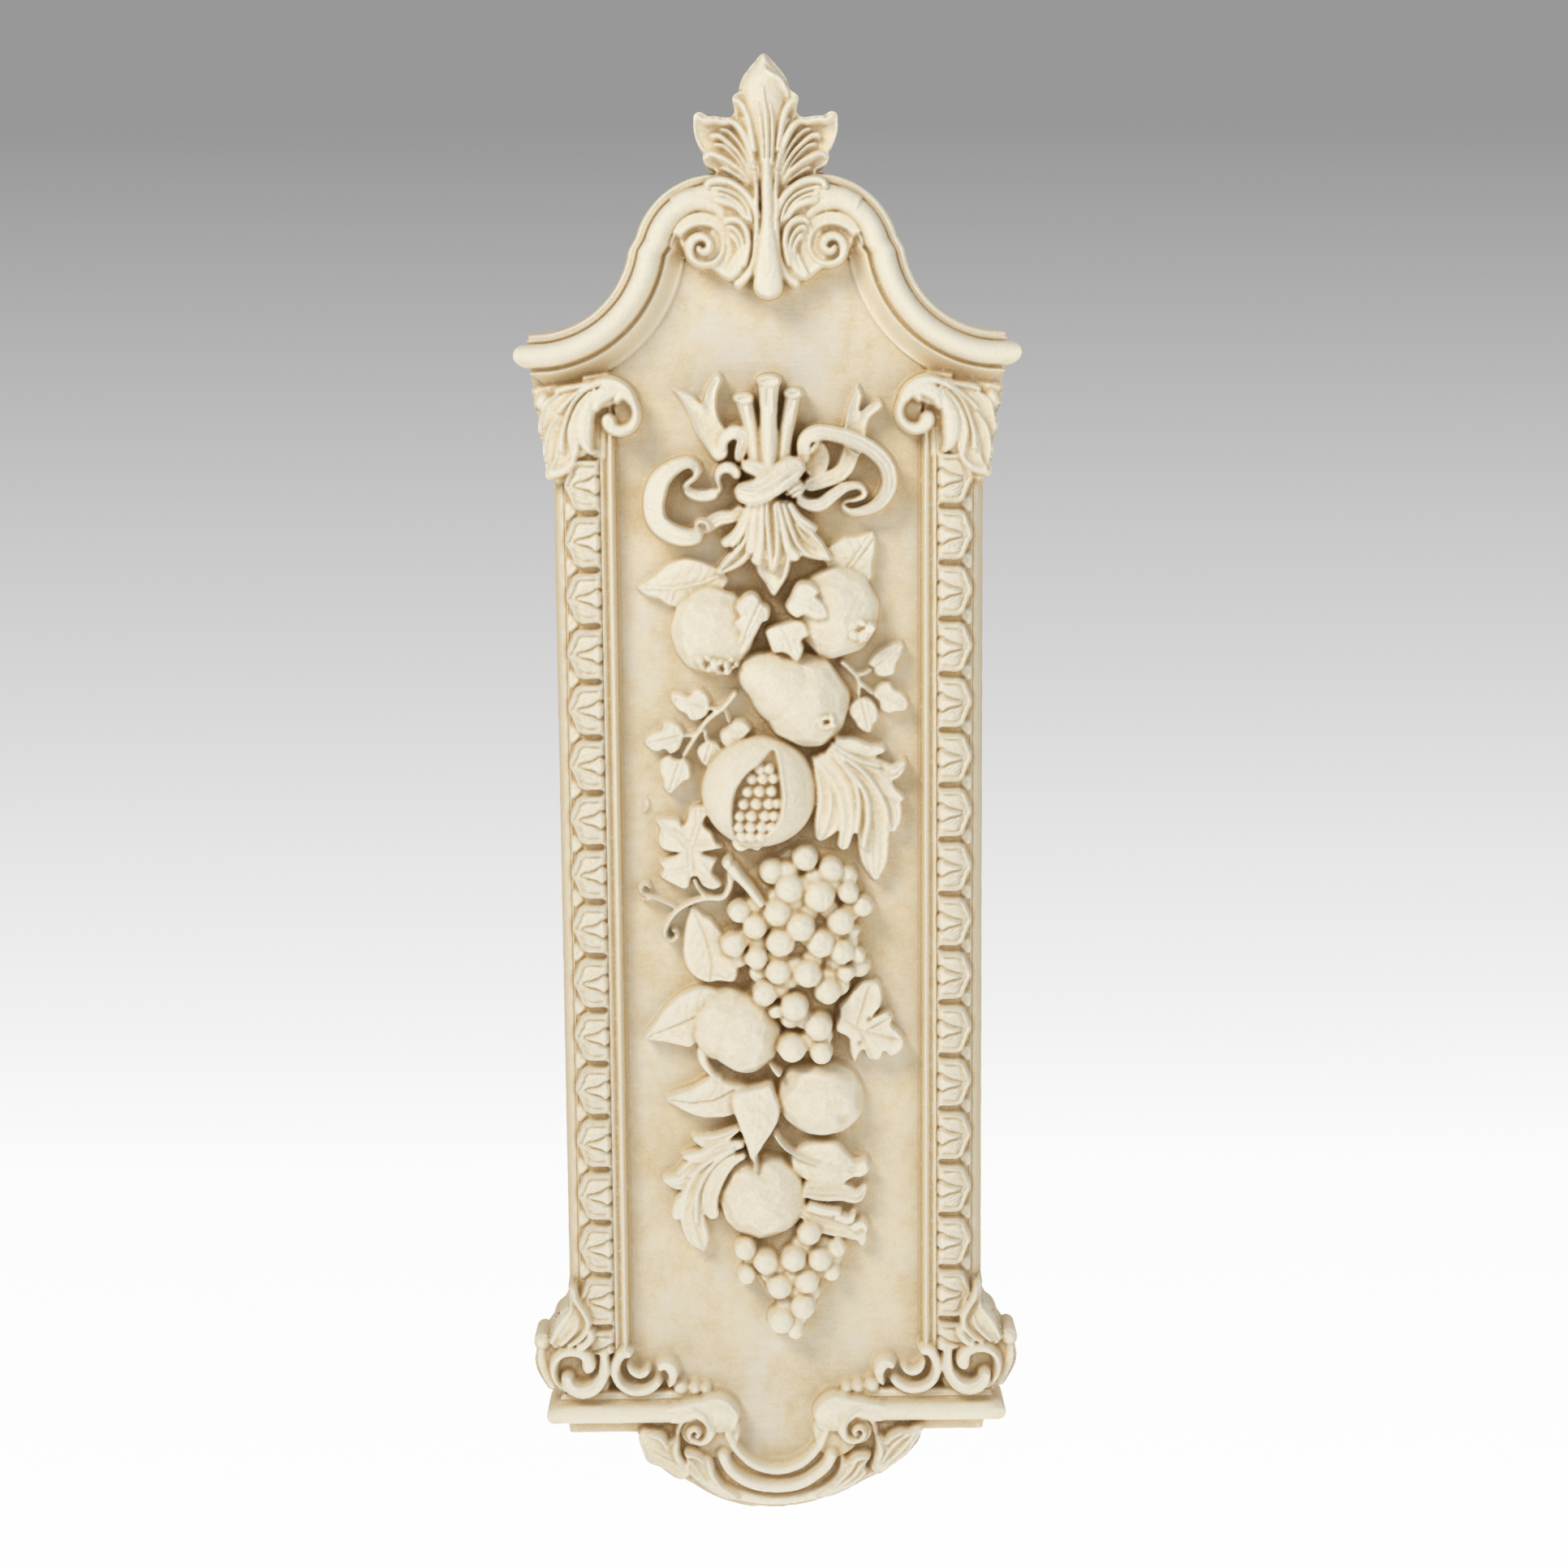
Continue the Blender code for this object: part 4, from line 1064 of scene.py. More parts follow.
# ---- capitals and lower corners ----
def make_capitals():
    """Each capital: a leaf folds over the pilaster's top, with a scroll and hanging lobes."""
    form = Form()
    back = [(173, 313), (112, 312), (120, 296), (123, 268), (138, 250), (157, 244), (162.5, 252),
            (161.5, 262), (165.5, 277), (164, 289), (170, 297), (171, 306)]
    plate(form, smooth_line(back, 2.0, closed=True)[:-1], 30.5, base=4, soften=3.0, mirrored=True)
    # the ground behind the scroll and beside the hanging lobe
    for ring, top in (([(95, 288), (104, 284), (112, 288), (114, 300), (106, 307), (96, 303)], 35),
                      ([(119, 262), (129, 262), (130, 300), (118, 300)], 35.5),
                      ([(106, 314), (136, 311), (136, 322), (118, 325), (107, 321)], 33)):
        plate(form, ring, top, base=18, mirrored=True)
    # outer lobes, seen at the side
    dome(form, 164.5, 303.5, 6.6, 7.2, 38.5, 28, base=5, facets=14, seed=21, mirrored=True)
    strokes(form, [
        ([(150, 306), (158, 299), (162, 290), (163.5, 281), (160, 273)], [5, 6, 5, 4, 1.5],
         [38, 38.5, 37, 35, 33]),
        ([(150, 292), (156, 280), (158.5, 268), (158, 256), (161.5, 247)], [4, 6, 6, 5, 2],
         [40, 39.5, 38, 36, 36]),
        ([(143, 292), (148, 276), (150, 264), (154, 256), (161, 251)], [4, 5.5, 6, 5, 2],
         [41, 41, 40, 38.5, 38])],
            base=8, ends="tail", across=15, crown=-0.8, rim=1.0, mirrored=True)
    # the leaf's body under the ridges
    blade(form, [(104, 315), (118, 319), (137, 316), (152, 309), (158, 300), (157, 284),
                 (154, 268), (147, 260), (139, 262), (131, 267), (127, 280), (124, 296),
                 (110, 304), (100, 306)], 42.5, 38, puff=0, centre=(134, 294), base=20,
          lifts=[(112, 310, 2.5, 12)], mirrored=True)
    strokes(form, [
        ([(128, 311), (135.5, 302), (140, 292), (142.5, 281.5), (141.5, 270), (142.5, 262)],
         [1.4, 2.4, 3.2, 3.8, 3.6, 1.6], [46.5, 46.6, 46.4, 46, 44.5, 42]),
        ([(131, 313), (141.5, 303), (147, 291), (150.5, 277), (151, 266.5)],
         [0.9, 1.2, 1.3, 1.5, 2.0], [46, 46, 45.4, 44.4, 43]),
        ([(133, 314), (141.5, 307.5), (149, 300.5), (153.5, 295.5)], [0.9, 1.3, 1.6, 2.0],
         [45.4, 45, 44, 42.6]),
        ([(128, 317), (138, 314.5), (148, 313), (156, 310)], [1.4, 1.7, 1.8, 2.0],
         [45, 43, 41, 39]),
        ([(141, 268), (143, 260), (148, 254.5), (154, 252), (161.5, 251.5)],
         [1.3, 1.9, 2.3, 2.6, 2.2], [43, 42.6, 42, 41, 39.5])],
            base=26, across=9, round_edge=1.5, mirrored=True)
    # the lobe that hangs down the front
    carve(form, [(124, 312), (129, 303), (133, 293), (134.5, 283), (133.5, 275), (131, 269),
                 (128, 265)], [3.0, 4.6, 5.8, 6.8, 6.6, 4.6, 1.2],
          [48, 49.5, 50.4, 50, 48.5, 46.4, 43], base=28, ends="tail", across=17, crown=2.6,
          round_edge=1.8, teeth=6, bite=0.12, wave=0.5, mirrored=True)
    # the scroll, from its ball end round and up into the fold
    carve(form, [(114.6, 294.5), (116.2, 289), (113.5, 284.2), (108, 282), (101.5, 284),
                 (97, 289.5), (96, 296), (98.5, 303), (103.5, 309), (111, 313.5)],
          [5.2, 5.2, 4.4, 3.9, 3.5, 3.1, 3.0, 3.4, 4.0, 3.5],
          [47.5, 48, 47.4, 46.6, 46.4, 46.8, 47.4, 48, 48.5, 48], base=20, across=15,
          crown=2.0, round_edge=2.2, mirrored=True)
    carve(form, [(97.5, 299), (98, 305), (102.5, 312), (109.5, 316.4), (118, 317.6), (127, 315.4),
                 (136, 310)], [1.4, 2.4, 3.0, 3.2, 3.0, 2.4, 1.4],
          [46, 47.6, 48.6, 48.8, 48.2, 47.2, 45.6], base=24, across=11, crown=1.2, mirrored=True)
    # two torn lobes of the fold
    carve(form, [(100, 301), (101, 306), (105, 308.4), (109, 306), (110.6, 301.4)],
          [2.6, 3.4, 3.4, 2.8, 1.6], [48, 49, 49.4, 49, 48], base=30, across=13, crown=1.2,
          grooves=2, depth=0.5, mirrored=True)
    carve(form, [(104, 310.5), (111, 311.6), (118, 309.6), (123.4, 304.4), (125.6, 296)],
          [3.0, 4.8, 5.4, 4.2, 1.8], [49, 50, 50.6, 50.4, 49], base=30, across=15, crown=1.6,
          grooves=3, depth=0.55, mirrored=True)
    form.press("capitals")


def make_corners():
    """Each lower corner: a leaf ends in two facing scrolls, and a C scroll leads to the beads."""
    form = Form()
    back = [(130, -454), (171, -453), (176, -448), (181.5, -441), (185, -433), (185.5, -425),
            (183, -418.5), (177, -416), (174, -407), (172, -398), (169, -391), (163, -385.5),
            (158.5, -380.5), (159, -371), (157.5, -364), (150, -378), (143, -395), (131, -420)]
    plate(form, smooth_line(back, 1.5, closed=True)[:-1], 32.0, base=4, soften=4.0, mirrored=True)
    # the side of the leaf below its knob
    carve(form, [(180, -414), (180.5, -426), (177, -438), (171, -450)], [3, 3.6, 3.6, 3],
          [34, 34, 35, 36], base=14, across=11, crown=1.0, mirrored=True)
    dome(form, 179.3, -411.3, 6.4, 6.8, 39, 31, turn=-35, base=6, tuck=0.97, facets=14,
         seed=31, mirrored=True)
    blade(form, [(157, -364), (158.5, -372), (158.5, -381), (164.5, -387.5), (169, -395),
                 (171.5, -403), (173, -412), (170, -417), (158, -414), (149, -412), (143, -406),
                 (142, -398), (146, -390), (152, -382), (154.5, -372)], 41, 36.5, puff=0.8,
          veins=[[(157, -372), (160, -388), (168, -404)]], ridge=-0.9, base=20, mirrored=True)
    strokes(form, [
        ([(154.5, -367), (152, -378), (147, -386), (143.6, -393.5), (145, -401), (151, -408),
          (160, -414)], [1.4, 2.0, 2.1, 2.1, 2.0, 2.0, 1.6], [40, 43, 44.4, 45, 45, 44.4, 43]),
        ([(151, -391), (153, -399), (159.5, -407), (166, -413.5)], [1.0, 1.6, 1.8, 1.4],
         [43, 43.6, 43.2, 42]),
        ([(155.5, -383), (160.5, -391), (166, -399), (170.5, -407), (172.5, -413)],
         [1.2, 2.2, 2.6, 2.4, 1.4], [41.6, 42.4, 42, 41, 40]),
        ([(141, -399), (141.5, -405.5), (146, -411.5), (153, -414)], [1.6, 2.8, 3.0, 1.8],
         [45, 46.4, 46.4, 45])], base=26, across=9, round_edge=1.4, mirrored=True)
    # the outer scroll, its round end at the middle
    carve(form, [(145.5, -434), (143.4, -426.5), (147, -420), (154.5, -417.6), (163, -419),
                 (169, -424.5), (171, -433), (168.4, -442.5), (161, -450.5)],
          [5.6, 5.2, 4.2, 3.6, 3.2, 2.8, 2.4, 2.0, 1.4],
          [47, 47.4, 46.4, 45.6, 45, 44.4, 44, 43, 41.5], base=20, across=15, crown=1.8,
          round_edge=2.0, mirrored=True)
    # the hook that the border's leaf turns into
    carve(form, [(132.5, -417), (131.6, -428), (133.2, -438), (139.5, -446.4), (148.5, -449.4),
                 (156.5, -446.6), (160.2, -440.6), (160.2, -434.6)],
          [3.0, 3.6, 4.2, 4.8, 5.2, 5.2, 4.8, 4.4],
          [42, 44, 45, 45.4, 45.4, 45.4, 45.6, 45.4], base=20, across=15, crown=-0.6, rim=1.0,
          round_edge=1.6, mirrored=True)
    carve(form, [(136, -436), (141.6, -443), (149, -445.4), (156, -442), (157.6, -436)],
          [1.0, 1.3, 1.4, 1.3, 0.8], [45, 46, 46.4, 46.4, 46], base=34, across=7, mirrored=True)
    # the C scroll in the field's corner, its inner hook and its bud
    carve(form, [(110, -423), (116.5, -420.6), (122, -426), (124, -435.5), (120.5, -445),
                 (112.5, -450.6), (102.5, -451.4), (93.8, -447.4), (88.5, -442.5)],
          [3.8, 4.2, 4.0, 3.6, 3.5, 3.6, 3.8, 3.8, 3.4],
          [39, 41.4, 43, 43, 42, 41, 40.4, 40, 39], base=16, across=13, crown=1.6,
          round_edge=1.8, mirrored=True)
    carve(form, [(115, -429), (111.5, -436), (105, -439.4), (99.6, -437), (97.8, -433.6)],
          [1.4, 2.6, 3.2, 3.0, 2.4], [34, 36.4, 36.6, 36.4, 36], base=16, across=11, rim=0.6,
          crown=0.4, mirrored=True)
    carve(form, [(90.4, -437), (87.6, -431.6), (82.6, -431.6), (79.6, -437), (80.2, -444),
                 (83.5, -450)], [2.0, 4.4, 5.2, 4.2, 3.0, 1.6], [36, 39, 40, 39.4, 38, 36],
          base=16, across=13, crown=1.4, mirrored=True)
    for x, z, radius in ((73.6, -450.6, 6.2), (63, -451.6, 5.5), (54.4, -452.4, 4.9)):
        dome(form, x, z, radius, radius, 30 + radius * 1.3, 29, base=18, around=28, rows=10,
             facets=16, seed=int(x), mirrored=True)
    form.press("corner_scrolls")


# ---- the garland ----
def make_fruit():
    """Two small pomegranates, a pear, a peach, an apple and a quince, pared with a knife."""
    form = Form()
    fruit(form, -42, 135, 32, 34, 52, 29, facets=60, seed=3,
          hollows=[(-40, 108, 2.6, 8), (-60, 125, -1.0, 12)])
    calyx(form, -47, 111.5, 8.5, 48.5, 75, 5, 0.7)
    calyx(form, -36, 108, 8.0, 48, 30, 5, 0.7)
    calyx(form, -28, 110.5, 6.0, 46, 5, 4, 0.7)
    fruit(form, 49.5, 148, 32, 36, 54, 29, turn=-8, facets=60, seed=4,
          hollows=[(68, 133, 3.0, 6)])
    calyx(form, 66.5, 136, 10.5, 51.5, 80, 5)
    calyx(form, 69, 131, 6.0, 49.5, 20, 5)
    fruit(form, 26, 82, 33.5, 36.5, 56.5, 30, turn=15, facets=64, seed=5,
          hollows=[(41, 68, 3.6, 4.5), (30, 100, -1.0, 14)])
    fruit(form, -1, 99, 24.5, 19.5, 51.8, 28, turn=-26)
    fruit(form, 7, 95, 28.5, 24, 54.6, 28, turn=-32)
    fruit(form, 15, 89.5, 32, 29, 56.0, 28, turn=-32)
    calyx(form, 41, 68, 7.2, 53.4, 40, 6)
    # the peach: one cheek laps over the other
    fruit(form, -37, -164, 27.5, 29, 51, 28, facets=44, seed=7)
    fruit(form, -22.5, -171, 29, 32, 55.5, 28, turn=12, facets=50, seed=17)
    fruit(form, 35.5, -222, 34.5, 30.5, 54, 27, facets=60, seed=8,
          hollows=[(53, -236, 5.0, 4.5), (47, -240, -1.4, 7), (58, -226, -1.4, 6)])
    fruit(form, -9.5, -299, 34.5, 34, 54, 27, facets=64, seed=9,
          hollows=[(-15, -270, 7.0, 5.5), (-26, -274, -1.6, 8), (-2, -273, -1.2, 7)])
    tube(form, [(-16, -262), (-14, -270), (-14, -276)], [1.8, 1.4], [44, 48.5])
    tube(form, [(-3, -193), (1, -198), (6, -203)], [1.8, 2.6, 3.2], [40, 42, 43])
    form.press("fruit")


POMEGRANATE = (-9.0, 14.0)
OPENING = [(1.5, 47), (-8, 38), (-19, 29), (-26.5, 17), (-29, 2), (-28, -14), (-24, -21.5),
           (-14, -22), (-3, -14.5), (5, -4), (7.5, 10), (6.5, 25), (4.5, 39)]
SEED_ROWS = ((33.0, (-8.5, -1.5)), (26.0, (-14.5, -6.5, 1.5)), (16.6, (-18, -9, 0)),
             (7.2, (-21, -11.4, -2.3, 4.2)), (-1.9, (-23.8, -15, -5.2, 1.8)),
             (-10.2, (-24.2, -15.6, -7.3, -0.5)), (-17.6, (-22.5, -15.5, -8)))


def make_pomegranate():
    """The split pomegranate: thick skin drawn back from rows of seeds, and its small crown."""
    x, z = POMEGRANATE
    form = Form()
    rows, around = 64, 132
    lift = np.radians(np.linspace(90, 0, rows))
    angle = np.linspace(0, 2 * math.pi, around, endpoint=False)
    size = np.concatenate([np.cos(lift), [0.985, 0.94, 0.86]])
    level = np.concatenate([30 + 30 * np.sin(lift), [27.5, 22, SINK]])
    rings = np.empty((rows + 3, around, 3))
    rings[..., 0] = x + size[:, None] * 43.5 * np.cos(angle)
    rings[..., 1] = z + size[:, None] * 42.5 * np.sin(angle)
    rings[..., 2] = level[:, None]
    outline = smooth_line(OPENING, 1.5, closed=True)[:-1]
    places = rings[..., :2]
    inside = within(places, outline)
    away = nearest(places, np.vstack([outline, outline[:1]])) * np.where(inside, -1, 1)
    upper = rings[..., 2] > 29
    open_up = np.clip(0.5 - away / 1.6, 0, 1)
    floor = 48.5 - ((places[..., 0] + 10) / 26) ** 2 * 7 - ((places[..., 1] - 8) / 40) ** 2 * 5
    skin = rings[..., 2] + 1.7 * np.exp(-((away - 1.7) / 1.5) ** 2) * upper
    # shallow ribs run round the skin from the top to the crown
    lean = (places[..., 0] - x + 4) / (np.sqrt(np.clip(1.04 - ((places[..., 1] - z) / 43) ** 2,
                                                       0.05, 1)) * 43)
    skin = skin + 1.1 * np.abs(np.cos(lean * 5.2)) ** 0.6 * upper * (away > 2)
    rings[..., 2] = np.where(upper, skin * (1 - open_up) + np.minimum(floor, skin) * open_up, skin)
    form.skin(rings)
    for row, columns in SEED_ROWS:
        for column in columns:
            seed_top = 55.5 - ((column + 10) / 26) ** 2 * 6 - ((row - 8) / 40) ** 2 * 4.5
            dome(form, column, row, 4.3, 4.3, seed_top, seed_top - 4.3, around=16, rows=8,
                 base=seed_top - 9, tuck=0.6, facets=9, seed=int(50 + column + row))
    carve(form, [(-29, -22), (-24, -28), (-16, -26), (-10, -28), (-12, -24), (-20, -23),
                 (-29, -22)], [2.0, 2.8, 2.2, 2.6, 2.0, 2.2, 2.0],
          [40, 43, 42, 43, 44, 44, 42], base=26, crown=1.5, across=7)
    form.press("split_pomegranate")


# each grape as (x, z, radius); a bunch stands highest along its own axis
UPPER_GRAPES = ((0, -46, 9), (25, -36, 9.2), (44, -45, 9.2), (13, -58, 10.6), (35, -64, 11.8),
                (57, -62, 8), (68, -73, 8), (-25, -76, 8.6), (4, -76, 10.4), (-13, -87, 9.2),
                (21, -87, 10.6), (51, -84, 10), (-29, -101, 9.2), (6, -99, 10.6),
                (36, -100, 10.6), (-12, -111, 8.6), (52, -107, 9.2), (4, -121, 9.4),
                (26, -123, 10.4), (55, -124, 6.6), (-6, -138, 9.4), (16, -148, 10.4),
                (41, -137, 10), (34, -164, 10.4), (14, -180, 10.8), (36, -184, 8.8),
                (64, -110, 5.8), (61, -92, 5), (2, -152, 5.5))
LOWER_GRAPES = ((26, -326, 9), (-23, -339, 8.6), (-7, -349, 9.4), (14, -346, 9.4),
                (34, -347, 9), (47, -339, 7.6), (-22, -360, 7.4), (43, -358, 7.2),
                (3, -368, 9.4), (24, -364, 9.4), (21, -384, 9.6), (4, -395, 10), (15, -403, 6.8))


def make_grapes():
    """Two bunches of grapes on the lumpy ground that the mould leaves between them."""
    form = Form()
    carve(form, [(14, -30), (20, -60), (20, -95), (22, -130), (25, -165), (25, -192)],
          [18, 40, 40, 31, 22, 10], [30, 35, 37, 36, 33, 26], crown=9, across=21)
    carve(form, [(12, -322), (12, -345), (12, -370), (12, -400)], [24, 31, 22, 8],
          [29, 33, 31, 25], crown=8, across=17)
    for bunch, axis, crest in ((UPPER_GRAPES, 18, 56.5), (LOWER_GRAPES, 12, 51)):
        for number, (x, z, radius) in enumerate(bunch):
            top = crest - abs(x - axis) * 0.17 - max(0, 9 - radius) * 1.6
            if bunch is UPPER_GRAPES and z > -60:
                top -= (z + 60) * 0.28
            radius *= 1.05
            dome(form, x, z, radius, radius, top, top - radius, around=30, rows=12,
                 base=max(18, top - radius * 2.4), tuck=0.62, facets=22, seed=200 + number)
    # smaller grapes show between them, deeper in the bunch
    chance = np.random.default_rng(12)
    for bunch, axis, crest, reach in ((UPPER_GRAPES, 18, 47.5, 15.5), (LOWER_GRAPES, 12, 42, 13)):
        middles = np.array(bunch)[:, :2]
        placed = []
        for _ in range(900):
            spot = chance.uniform(middles.min(axis=0) + 2, middles.max(axis=0) - 2)
            near = np.sort(np.linalg.norm(middles - spot, axis=1))
            if near[0] < 8.8 or near[1] > reach - 0.8 or spot[1] > -46 or any(
                    np.linalg.norm(spot - other) < 10 for other in placed):
                continue
            placed.append(spot)
            radius = chance.uniform(7.6, 9.4)
            top = crest - abs(spot[0] - axis) * 0.17
            dome(form, *spot, radius, radius, top, top - radius, around=26, rows=10,
                 base=18, tuck=0.7, facets=18, seed=400 + len(placed))
    # the cut stalk of the upper bunch
    carve(form, [(-33, -39), (-26, -48), (-17, -58), (-7, -71)], [5.2, 4.0, 3.7, 3.4],
          [45, 46, 48, 49], base=24, crown=4.0, across=11, ends="head")
    dome(form, -33.5, -38.5, 5.2, 3.6, 46.4, 44, turn=60, around=20, rows=6, base=30)
    form.press("grapes")


SMALL_LEAVES = (
    ([(-73.5, 88), (-67, 89), (-60.5, 86.5), (-57, 91), (-51.5, 91.5), (-46, 86), (-45, 79),
      (-47, 72), (-53, 68), (-60, 68), (-63.5, 72.5), (-68.5, 75), (-73, 81)],
     [(-70.5, 84), (-49, 78)], 35),
    ([(-94.5, 52.5), (-88, 59.5), (-81, 61.5), (-79.5, 66.5), (-72.5, 67.5), (-67, 64),
      (-64.5, 58.5), (-66, 51.5), (-68.5, 46), (-75.5, 42.5), (-79, 46), (-84, 44.5), (-90, 46)],
     [(-91, 51.5), (-68, 57)], 35),
    ([(-83.5, 30.5), (-82.5, 37.5), (-77, 42), (-70, 39), (-63.5, 39), (-60, 33), (-60.5, 23.5),
      (-65, 22), (-69, 18), (-76, 12.5), (-80, 16.5), (-81, 23.5)], [(-67.5, 39), (-76, 16)], 35),
    ([(-37.5, 58.5), (-31, 64), (-25.5, 68.5), (-18.5, 67), (-14.5, 61.5), (-16, 58.5),
      (-23, 53), (-31, 47.5), (-36.5, 50.5)], [(-32, 62), (-24, 58)], 38),
    ([(-55.5, 44.5), (-53.5, 49), (-46.5, 52.5), (-39.5, 51), (-35.5, 44), (-41, 38.5),
      (-48, 33), (-52, 36)], [(-45, 51), (-49, 38)], 35),
    ([(73, 108.5), (77.5, 117), (85.5, 122.5), (94, 125), (99, 124.5), (98, 117), (94, 108.5),
      (92.5, 101.5), (85.5, 99), (78.5, 100.5), (76.5, 106)], [(77, 106), (96, 122)], 35),
    ([(76.5, 85), (81.5, 93.5), (88.5, 95.5), (92.5, 90.5), (99.5, 86.5), (103, 79.5),
      (100.5, 73.5), (94, 73), (88, 71.5), (82.5, 74), (80.5, 81)], [(79, 88), (100, 77)], 35),
    ([(58.5, 77), (63.5, 82.5), (70, 84.5), (77, 81), (80.5, 72.5), (80, 67), (76.5, 63),
      (74.5, 57), (66, 60), (62.5, 65.5), (58.5, 71.5)], [(67.5, 84), (73.5, 59)], 35),
)
TWIGS = (
    ([(-25, 90), (-33.5, 79), (-46.5, 68.5), (-53.5, 59.5), (-66, 40)], [2.4, 2.2, 1.7], 36),
    ([(-47.5, 77.5), (-39.5, 76), (-35, 76)], [1.7], 35), ([(-33.5, 76), (-30.5, 65)], [1.6], 36),
    ([(-67, 57), (-60, 56.5), (-53, 60)], [1.6], 35),
    ([(-49, 62), (-48, 54), (-43, 50)], [1.7], 35),
    ([(52, 112), (63.5, 100.5), (66, 96), (77, 86)], [2.3, 1.9, 1.7], 36),
    ([(63.5, 101), (70, 101.5), (76, 105)], [1.6], 35), ([(65.5, 96), (66, 84)], [1.6], 35),
    ([(-31.5, -46), (-31.5, -57), (-37, -66), (-49.5, -66.5), (-62, -70), (-72, -76.5),
      (-79, -86), (-81, -94), (-77, -99), (-72, -96), (-73.5, -91), (-76.5, -92)],
     [2.8, 2.6, 2.4, 2.2, 2.0, 1.9, 1.6], 37),
    ([(-71.5, -74), (-83, -68.5), (-91, -65.5), (-98, -62), (-98, -57), (-93.5, -56),
      (-92, -60)], [1.9, 1.7, 1.7, 1.5], 35),
    ([(-90, -66), (-99, -69)], [1.6, 1.0], 34), ([(-59, -51), (-55, -59.5), (-48, -67)], [1.9], 36),
)


def make_twigs():
    """Twigs, tendrils and the small lobed leaves that they carry."""
    form = Form()
    for outline, vein, top in SMALL_LEAVES:
        blade(form, outline, top + 1.5, top - 1.0, [vein], puff=0.9, ridge=-1.0, rim=0.5,
              tuck=0.9, side_veins=7.5)
    # a crumb of plaster left on the field
    blade(form, [(-93.5, 9), (-90.8, 5.5), (-92, 1), (-95.5, -2.6), (-97.3, -2), (-95, 2),
                 (-95.8, 5.8)], 25.4, 24.6, centre=(-93.6, 4), puff=0, rim=0.6, base=20)
    for path, widths, top in TWIGS:
        tube(form, path, widths, [top - 1.6], around=10)
        carve(form, path, [w * 0.8 for w in widths], [top - 2.0], base=20, across=5, flare=-0.2,
              crown=0.5)
    form.press("twigs_and_small_leaves")


